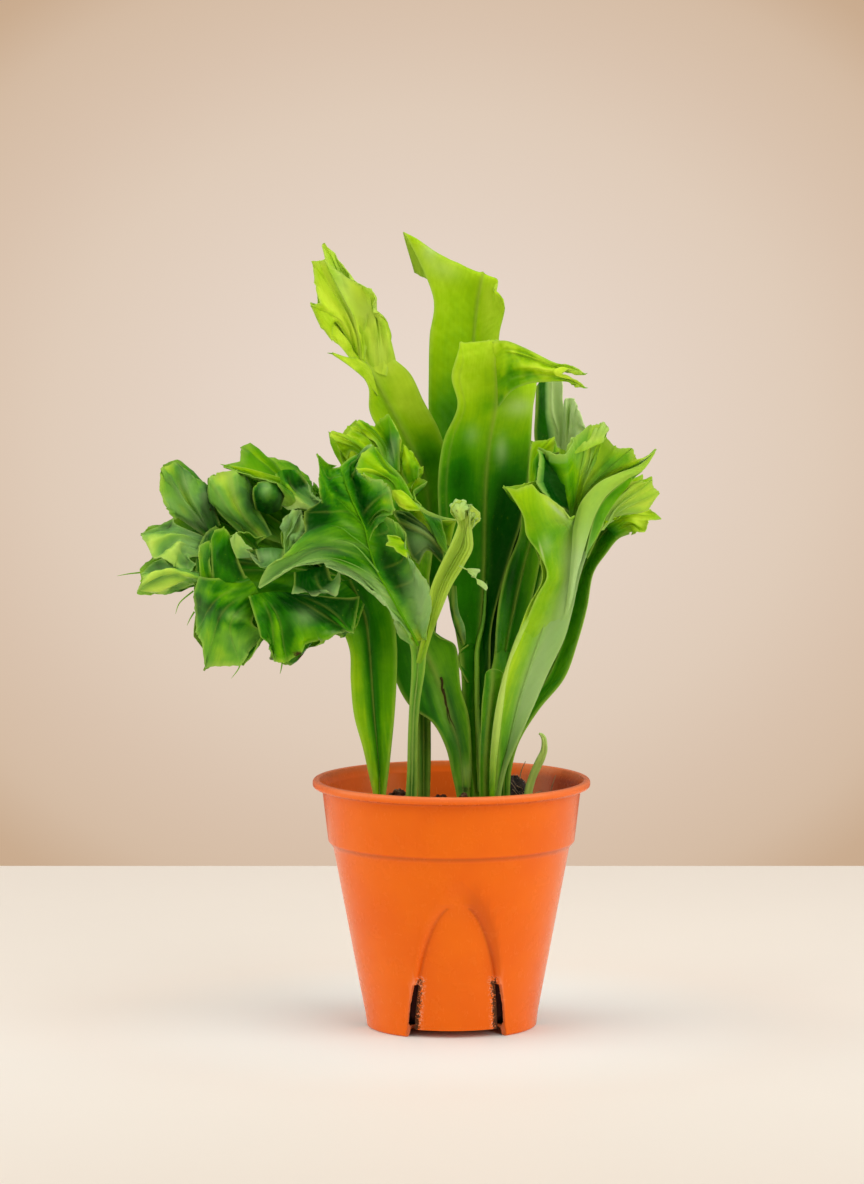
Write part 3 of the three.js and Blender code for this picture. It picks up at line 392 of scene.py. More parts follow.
@dataclass
class Skin:
    """Points, faces and the numbers held at each point, joined from several surfaces."""

    points: list[Array] = field(default_factory=list)
    faces: list[Array] = field(default_factory=list)
    held: dict[str, list[Array]] = field(default_factory=dict)
    count: int = 0

    def add(self, points: Array, faces: Array, **held: Array) -> None:
        """Adds a surface.

        Args:
            points: (n, 3) points in millimetres about the pot's axis.
            faces: (m, 4) point numbers, turned outwards; a triangle repeats its last one.
            held: numbers at each point, by name.
        """
        self.points.append(points.reshape(-1, 3))
        whole = faces[:, -1] != faces[:, -2]
        self.faces += [part + self.count for part in (faces[whole], faces[~whole][:, :3]) if len(part)]
        for name in set(self.held) | set(held):
            known = self.held.setdefault(name, [np.zeros(self.count)] if self.count else [])
            known.append(np.broadcast_to(held.get(name, 0.0), (len(self.points[-1]),)).astype(float))
        self.count += len(self.points[-1])

    def piece(self, name: str, material: bpy.types.Material | None, crease: float = 50.0) -> bpy.types.Object:
        """Makes the mesh object.

        Args:
            name: the object's name.
            material: its finish, if it has one yet.
            crease: faces that meet at a sharper angle than this, in degrees, keep their edge.

        Returns:
            The object, at the origin, in metres in the part's frame.
        """
        mesh = bpy.data.meshes.new(name)
        points = np.concatenate(self.points) * MM
        points[:, 0] += AXIS_X * MM
        sizes = np.concatenate([np.full(len(f), f.shape[1]) for f in self.faces])
        loops = np.concatenate([f.ravel() for f in self.faces]).astype(np.int32)
        starts = np.concatenate([[0], np.cumsum(sizes)[:-1]]).astype(np.int32)
        mesh.vertices.add(len(points))
        mesh.vertices.foreach_set("co", points.ravel().astype(np.float32))
        mesh.loops.add(len(loops))
        mesh.loops.foreach_set("vertex_index", loops)
        mesh.polygons.add(len(sizes))
        mesh.polygons.foreach_set("loop_start", starts)
        for key, parts in self.held.items():
            layer = mesh.attributes.new(key, "FLOAT", "POINT")
            layer.data.foreach_set("value", np.concatenate(parts).astype(np.float32))
        mesh.update(calc_edges=True)
        mesh.validate()
        mesh.shade_smooth()
        mesh.set_sharp_from_angle(angle=math.radians(crease))
        if material:
            mesh.materials.append(material)
        made = bpy.data.objects.new(name, mesh)
        bpy.context.scene.collection.objects.link(made)
        return made


def grid_faces(rows: int, columns: int, round_columns: bool = False) -> Array:
    """Four-sided faces of a (rows, columns) grid.

    A face looks towards the cross product of the column's step and the row's step.

    Args:
        rows: rows of points.
        columns: points in a row.
        round_columns: whether the last column is joined to the first.

    Returns:
        Four point numbers for each face.
    """
    number = np.arange(rows * columns).reshape(rows, columns)
    if round_columns:
        number = np.concatenate([number, number[:, :1]], axis=1)
    return np.stack([number[:-1, :-1], number[:-1, 1:], number[1:, 1:], number[1:, :-1]], -1).reshape(-1, 4)


def closed_sheet(near: Array, far: Array) -> tuple[Array, Array]:
    """A closed slab between two (rows, columns, 3) grids, joined all round their edge.

    Args:
        near: the side to which the cross product of the row's step and the column's step points.
        far: the other side.

    Returns:
        Points and faces.
    """
    rows, columns = near.shape[:2]
    number = np.arange(rows * columns).reshape(rows, columns)
    rim = np.concatenate([number[0, :], number[1:, -1], number[-1, -2::-1], number[-2:0:-1, 0]])
    after, count = np.roll(rim, -1), rows * columns
    faces = grid_faces(rows, columns)
    walls = np.stack([rim, after, after + count, rim + count], -1)
    points = np.concatenate([near.reshape(-1, 3), far.reshape(-1, 3)])
    return points, np.concatenate([faces[:, ::-1], faces + count, walls])


def spun(points: Array, degrees: float) -> Array:
    """Points turned about the pot's axis.

    Args:
        points: (..., 3) points.
        degrees: the turn, anticlockwise from above.

    Returns:
        The turned points.
    """
    c, s = math.cos(math.radians(degrees)), math.sin(math.radians(degrees))
    return np.stack([c * points[..., 0] - s * points[..., 1],
                     s * points[..., 0] + c * points[..., 1], points[..., 2]], -1)


def closed_rings(count: int, sides: int) -> Array:
    """Faces of a stack of rings whose ends are closed by fans to two more points.

    Args:
        count: rings, whose points come first, ring by ring.
        sides: points in a ring; the first ring's end point comes after them, then the last one's.

    Returns:
        Point numbers of the faces; a triangle repeats its last one.
    """
    ring = np.arange(sides)
    after, top, end = (ring + 1) % sides, (count - 1) * sides, count * sides
    return np.concatenate([
        grid_faces(count, sides, True),
        np.stack([np.full(sides, end), after, ring, ring], -1),
        np.stack([np.full(sides, end + 1), top + ring, top + after, top + after], -1)])


def globe(rows: int, columns: int) -> tuple[Array, Array, Array]:
    """The angles and points of a unit ball, ring by ring from its foot up.

    Point = (sin t cos a, sin t sin a, -cos t).

    Args:
        rows: rings.
        columns: steps round.

    Returns:
        The angle t from the foot, the angle a round, and the points, on a (rows, columns) grid.
    """
    t, a = np.meshgrid((np.arange(rows) + 0.5) * math.pi / rows, np.arange(columns) * math.tau / columns,
                       indexing="ij")
    return t, a, np.stack([np.sin(t) * np.cos(a), np.sin(t) * np.sin(a), -np.cos(t)], -1)


def with_ends(rings: Array) -> Array:
    """The points of rings, then the middle of the first ring and of the last."""
    ends = np.array([rings[0].mean(axis=0), rings[-1].mean(axis=0)])
    return np.concatenate([rings.reshape(-1, 3), ends])


def turned(profile: Array, sides: int) -> tuple[Array, Array]:
    """A closed body of revolution.

    Point = (r cos a, r sin a, z) for each profile point (r, z), anticlockwise in the r-z plane,
    and each angle a. The first and last profile points lie on the axis, or the profile closes
    on itself.

    Args:
        profile: (n, 2) radius and height.
        sides: steps round the axis.

    Returns:
        Points and faces.
    """
    angle = np.arange(sides) * math.tau / sides
    on_axis = profile[0, 0] == 0
    rings = profile[1:-1] if on_axis else profile
    grid = np.stack([rings[:, :1] * np.cos(angle), rings[:, :1] * np.sin(angle),
                     np.broadcast_to(rings[:, 1:], (len(rings), sides))], -1)
    points = grid.reshape(-1, 3)
    if on_axis:
        ends = [[0, 0, profile[0, 1]], [0, 0, profile[-1, 1]]]
        return np.concatenate([points, ends]), closed_rings(len(rings), sides)
    loop = grid_faces(2, sides, True)
    wrapped = np.where(loop < sides, loop + (len(rings) - 1) * sides, loop - sides)
    return points, np.concatenate([grid_faces(len(rings), sides, True), wrapped])


def tube(path: Array, radius: Array, sides: int = 6) -> tuple[Array, Array]:
    """A closed tube: rings of radius about the path, square to its direction.

    Point = path + radius (cos a side + sin a up), where side and up are square to the path.

    Args:
        path: (n, 3) centre line.
        radius: (n,) radius at each point.
        sides: steps round.

    Returns:
        Points and faces.
    """
    ahead = np.gradient(path, axis=0)
    ahead /= np.maximum(np.linalg.norm(ahead, axis=1, keepdims=True), 1e-9)
    aside = np.cross(ahead, (0.31, 0.87, 0.38))
    aside /= np.maximum(np.linalg.norm(aside, axis=1, keepdims=True), 1e-9)
    above = np.cross(ahead, aside)
    angle = np.arange(sides) * math.tau / sides
    rings = (path[:, None] + radius[:, None, None] * (np.cos(angle)[None, :, None] * aside[:, None]
                                                      + np.sin(angle)[None, :, None] * above[:, None]))
    points = np.concatenate([rings.reshape(-1, 3), path[:1], path[-1:]])
    return points, closed_rings(len(path), sides)


# ---------------------------------------------------------------- leaves


class Look(Enum):
    """The leaf finishes."""

    CREST = "crest_leaf"
    OLIVE = "olive_leaf"
    YOUNG = "young_leaf"
    FRESH = "fresh_leaf"
    DEEP = "deep_leaf"
    BLUE = "bluish_leaf"


@dataclass(frozen=True)
class Sight:
    """The eye point from which the leaf rows were sighted."""

    x: float = -8.4
    y: float = -2300.0
    z: float = 425.0

    def place(self, rows: Array) -> Array:
        """Moves sighted points [x, z, depth] back along their sight lines.

        Point = eye + (point on the upright plane through the axis - eye) * (depth - y) / -y.

        Args:
            rows: (..., 3) sighted points.

        Returns:
            The points in space.
        """
        scale = (rows[..., 2] - self.y) / -self.y
        return np.stack([self.x + (rows[..., 0] - self.x) * scale, rows[..., 2],
                         self.z + (rows[..., 1] - self.z) * scale], -1)

    def plate(self, points: Array) -> Array:
        """The x and z at which placed points are sighted on the plane through the axis.

        Args:
            points: (..., 3) points in space.

        Returns:
            (..., 2) places on the plane.
        """
        scale = (points[..., 1] - self.y) / -self.y
        return np.stack([self.x + (points[..., 0] - self.x) / scale,
                         self.z + (points[..., 2] - self.z) / scale], -1)


SIGHT = Sight()


@dataclass(frozen=True)
class Spot:
    """A soft patch on a leaf, given where it is sighted: painted light and shade as a lift of tone, painted
    highlight as a share of the bloom_and_highlight colour, and real brown wear.
    """

    x: float
    z: float
    wide: float
    tall: float
    lift: float
    turn: float = 0.0
    pale: float = 0.0
    worn: float = 0.0
    near: float = -99.0
    far: float = 99.0

    def share(self, plate: Array, deep: Array) -> Array:
        """How much of it each point has: exp(-(x/wide)^2 - (z/tall)^2), turned clockwise.

        Args:
            plate: where the points are sighted.
            deep: their depth; the patch is only between near and far.

        Returns:
            The share at each point.
        """
        c, s = math.cos(math.radians(self.turn)), math.sin(math.radians(self.turn))
        dx, dz = plate[..., 0] - self.x, plate[..., 1] - self.z
        soft = np.exp(-((c * dx - s * dz) / self.wide) ** 2 - ((c * dz + s * dx) / self.tall) ** 2)
        return np.where((deep > self.near) & (deep < self.far), soft, 0.0)


@dataclass(frozen=True)
class Sheet:
    """One stretch of leaf: rows of points from its root to its far edge.

    Fields:
        rows: sighted rows; each runs from one margin to the other.
        columns: steps across at the coarse size.
        sharp: the last row is a toothed margin.
        ruffle: height, waves, phase and start of the waves that grow towards the far end.
        thick: thickness of the middle along the sheet.
        tone: colour from dark 0 to bright 1, along the sheet, for the left, middle and right; besides the
            leaf's own colour it holds painted light and shade.
        rib: depth of the middle rib in millimetres, 0 for none.
        veins: ribs run to the teeth of the far margin.
        pale: share of the pale bloom_and_highlight colour, listed as the tone is; part of it is painted
            highlight.
        rib_wide: half-width of the middle rib's colour in millimetres.
        steps: fine rows to each span.
        seed: seed of its folds and jags.
        frill: height of the small jags of a toothed margin in millimetres.
        relief: factor on its folds and pleats.
    """

    rows: tuple[Row, ...]
    columns: int = 8
    sharp: bool = False
    ruffle: tuple[float, float, float, float] | None = None
    thick: tuple[float, ...] = (0.95, 0.95)
    tone: tuple[tuple[float, ...], ...] = ((0.5, 0.5),)
    rib: float = 0.0
    veins: bool = True
    pale: tuple[tuple[float, ...], ...] = ((0.0, 0.0),)
    rib_wide: float = 1.0
    steps: int = 8
    seed: int = 1
    frill: float = 0.7
    relief: float = 1.0

    EDGE = 0.4

    def corners(self) -> tuple[Array, Array]:
        """Finds the teeth of the far margin.

        Returns:
            How far each point of the last row stands out beyond its neighbours, as a share of
            their spacing, and the places of the teeth across the sheet.
        """
        row = np.array(self.rows[-1])
        inner = row[1:-1] - (row[:-2] + row[2:]) / 2
        outward = row[1:-1] - np.mean(np.array(self.rows[-2]), axis=0)
        reach = np.sum(inner * outward, axis=1) / np.maximum(np.linalg.norm(outward, axis=1), 1e-6)
        spacing = np.linalg.norm(row[2:] - row[:-2], axis=1) / 2
        share = np.concatenate([[0], reach / np.maximum(spacing, 1e-6), [0]])
        teeth = np.flatnonzero(share > 0.22) / (len(row) - 1)
        return share, teeth

    def grid(self, finer: int) -> Array:
        """The sheet's middle surface: each row is drawn as a curve, then the rows are joined.

        Args:
            finer: fine columns to each coarse one.

        Returns:
            (rows, columns, 3) points.
        """
        columns = self.columns * finer
        drawn = []
        for i, row in enumerate(self.rows):
            points, knots = SIGHT.place(np.array(row, float)), np.arange(len(row), dtype=float)
            at = np.linspace(0, len(row) - 1, columns + 1)
            slack = None
            if self.sharp and i == len(self.rows) - 1:
                slack = np.clip(1 - 2.2 * np.abs(self.corners()[0]), 0.1, 0.9)
            drawn.append(curve(points, knots, at, slack))
        stack = np.stack(drawn)
        gaps = np.linalg.norm(np.diff(stack, axis=0), axis=-1).mean(axis=1)
        knots = np.concatenate([[0], np.cumsum(gaps)])
        at = np.interp(np.linspace(0, len(gaps), len(gaps) * self.steps + 1), np.arange(len(knots)), knots)
        grid = curve(stack, knots, at)
        if self.ruffle:
            height, waves, phase, start = self.ruffle
            u = np.linspace(0, 1, len(grid))[:, None]
            v = np.linspace(0, 1, columns + 1)[None]
            grow = np.clip((u - start) / (1 - start), 0, 1) ** 2
            wave = height * grow * np.sin(math.tau * (waves * v + phase))
            grid = grid + normals_of(grid) * wave[..., None]
        return self.jagged(grid) if self.sharp and self.frill else grid

    def jagged(self, grid: Array) -> Array:
        """Draws out small pointed jags along the toothed margin and frills it.

        Jag = frill (1 - |sin(pi n)|) at the margin, n counting them across at uneven distances;
        frill to the front and back = 0.7 frill sin(pi n). Both fade out inwards.

        Args:
            grid: the middle surface.

        Returns:
            The jagged one.
        """
        draw = np.random.default_rng(self.seed + 500)
        rows, columns = grid.shape[:2]
        v = np.linspace(0, 1, columns)
        rim = np.linalg.norm(np.diff(grid[-1], axis=0), axis=-1).sum()
        length = np.linalg.norm(np.diff(grid, axis=0), axis=-1).sum(axis=0).mean()
        count = rim / 3.6
        first, second, third = draw.uniform(0, math.tau, 3)
        at = math.tau * count * v
        n = count * v + 0.55 * np.sin(0.23 * at + first) + 0.3 * np.sin(0.61 * at + second)
        size = self.frill * (0.6 + 0.4 * np.sin(0.31 * at + third)) * ease(0.0, 0.06, v * (1 - v))
        inward = (1 - np.linspace(0, 1, rows))[:, None] * length
        outward = grid[-1] - grid[-3]
        outward = outward / np.maximum(np.linalg.norm(outward, axis=-1, keepdims=True), 1e-9)
        jag = np.clip(1 - inward / 3.0, 0, 1) ** 2 * (size * (1 - np.abs(np.sin(math.pi * n))))
        wave = np.clip(1 - inward / 7.0, 0, 1) ** 2 * (0.7 * size * np.sin(math.pi * n))
        return grid + outward * jag[..., None] + normals_of(grid) * wave[..., None]

    def ribs(self, u: Array, v: Array, width: Array) -> Array:
        """How near each point is to a rib, 1 on it: exp(-(distance / 0.9 mm)^2) to the nearest.

        Args:
            u: share along the sheet.
            v: share across it.
            width: the sheet's width at each row, in millimetres.

        Returns:
            The nearness at each grid point.
        """
        near = np.zeros(u.shape)
        if self.rib:
            near = np.exp(-(((v - 0.5) * width) / self.rib_wide) ** 2)
        if self.veins and self.sharp:
            for tooth in self.corners()[1]:
                fade = ease(0.05, 0.45, u) * (1 - 0.6 * ease(0.85, 1.0, u))
                near = np.maximum(near, fade * 0.45 * np.exp(-(((v - tooth) * width) / 0.6) ** 2))
        return near

    def pleats(self, u: Array, v: Array) -> Array:
        """Bulges between the ribs to the teeth: -cos(tau n), n counting the teeth across.

        Args:
            u: share along the sheet.
            v: share across it.

        Returns:
            -1 on those ribs, 1 between them, 0 near the root and where there are no such ribs.
        """
        teeth = self.corners()[1] if self.veins and self.sharp else ()
        if len(teeth) < 2:
            return np.zeros(u.shape)
        count = np.interp(v, teeth, np.arange(len(teeth), dtype=float))
        return -np.cos(math.tau * count) * ease(0.1, 0.6, u)

    def add_to(self, skin: Skin, spots: Sequence[Spot] = ()) -> None:
        """Adds the closed blade: two faces half a thickness either side of the middle surface.

        Half thickness = (edge + (middle - edge) sqrt(1 - (2v - 1)^2)) / 2, less at a toothed end.

        Args:
            skin: where it goes.
            spots: patches of painted light and shade and of brown wear.
        """
        grid = self.grid(8 if self.sharp else 4)
        rows, columns = grid.shape[:2]
        u, v = np.meshgrid(np.linspace(0, 1, rows), np.linspace(0, 1, columns), indexing="ij")
        width = np.linalg.norm(np.diff(grid, axis=1), axis=-1).sum(axis=1)[:, None]
        length = np.linalg.norm(np.diff(grid, axis=0), axis=-1).sum(axis=0).mean()
        near = self.ribs(u, v, width)
        normals = normals_of(grid)
        side = np.minimum(v, 1 - v)
        margin = side * width
        if self.sharp:
            margin = np.minimum(margin, (1 - u) * length)
        free = ease(0.0, 3.0, margin)
        folds = ripples(grid.shape[:2], (length / 12, float(width.mean()) / 9), self.seed)
        folds = folds * (self.relief if len(self.rows) < 6 else 0.25)
        pleats = self.pleats(u, v) * self.relief
        relief = (0.5 * folds - 0.45 * near + 0.75 * pleats) * free
        if self.sharp:
            relief = relief * ease(0.0, 0.12, u)
        if self.rib:
            relief = relief - self.rib * np.exp(-(((v - 0.5) * width) / 2.2) ** 2)
        grid = grid + normals * relief[..., None]
        middle = np.interp(u, np.linspace(0, 1, len(self.thick)), self.thick)
        half = (self.EDGE + (middle - self.EDGE) * np.sqrt(np.clip(1 - (2 * v - 1) ** 2, 0, 1))) / 2
        half = half + 0.15 * near * free
        if self.sharp and len(self.rows) > 2:
            half = half * (0.45 + 0.55 * free)
        plate = SIGHT.plate(grid)
        shares = [spot.share(plate, grid[..., 1]) for spot in spots]
        held = {
            # Tone rises on the crests of the folds and pleats and falls in their troughs: painted shade of
            # the relief. The spots' lifts are painted light and shade.
            "tone": (self.spread(self.tone, u, v) + 0.1 * folds + 0.11 * pleats
                     + sum(spot.lift * share for spot, share in zip(spots, shares))),
            "worn": sum(spot.worn * share for spot, share in zip(spots, shares)) + np.zeros(u.shape),
            "rib": near,
            "edge": 1 - ease(0.0, min(1.6, 0.16 * float(width.mean())), margin),
            # The spots' pale is painted highlight.
            "pale": (self.spread(self.pale, u, v)
                     + sum(spot.pale * share for spot, share in zip(spots, shares))),
            "along": u * length,
            "across": (v - 0.5) * width,
        }
        front, back = grid + normals * half[..., None], grid - normals * half[..., None]
        under = [1.0, 0.0] if normals[..., 1].mean() > 0 else [0.0, 1.0]
        skin.add(*closed_sheet(front, back), under=np.repeat(under, rows * columns),
                 **{key: np.tile(np.broadcast_to(value, u.shape).ravel(), 2) for key, value in held.items()})

    @staticmethod
    def spread(lists: tuple[tuple[float, ...], ...], u: Array, v: Array) -> Array:
        """Values read between the listed ones: straight runs along the sheet, then across it.

        Args:
            lists: values along the sheet, for each of its lines from left to right.
            u: share along the sheet.
            v: share across it.

        Returns:
            The value at each grid point.
        """
        drawn = np.stack([blend(values, u) for values in lists])
        if len(lists) == 1:
            return drawn[0]
        place = v * (len(lists) - 1)
        low = np.clip(np.floor(place).astype(int), 0, len(lists) - 2)
        rows, columns = np.indices(u.shape)
        return drawn[low, rows, columns] * (1 - place + low) + drawn[low + 1, rows, columns] * (place - low)


@dataclass(frozen=True)
class Tendril:
    """A hair-like tip or a raised vein: a tapering tube along sighted points."""

    points: Row
    radius: float = 0.35
    tone: float = 0.5
    worn: float = 0.0
    edge: float = 0.6
    pale: float = 0.0

    def add_to(self, skin: Skin) -> None:
        """Adds the tube: radius falls as (1 - share)^0.7 to a fine point.

        Args:
            skin: where it goes.
        """
        points = SIGHT.place(np.array(self.points, float))
        count = 8 * len(points)
        path = curve(points, np.arange(len(points), dtype=float), np.linspace(0, len(points) - 1, count))
        share = np.linspace(0, 1, count)
        made, faces = tube(path, self.radius * (1 - share) ** 0.7 + 0.04, 8)
        skin.add(made, faces, tone=self.tone, edge=self.edge, worn=self.worn, pale=self.pale)


@dataclass
class Frond:
    """One frond: its sheets, its hair-like tips and its patches of painted light and shade and of brown wear.
    """

    node: str
    slot: Slot
    look: Look
    sheets: tuple[Sheet, ...]
    tendrils: tuple[Tendril, ...] = ()
    spots: tuple[Spot, ...] = ()

    def build(self, finish: bpy.types.Material) -> bpy.types.Object:
        """Builds the frond in place of its plain node.

        Args:
            finish: its leaf material.

        Returns:
            The piece.
        """
        skin = Skin()
        for sheet in self.sheets:
            sheet.add_to(skin, self.spots)
        for tendril in self.tendrils:
            tendril.add_to(skin)
        piece = skin.piece(self.node + "_leaf", finish, 60)
        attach(piece, "root")
        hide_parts(self.node)
        return piece


# ---------------------------------------------------------------- the fronds, row by row


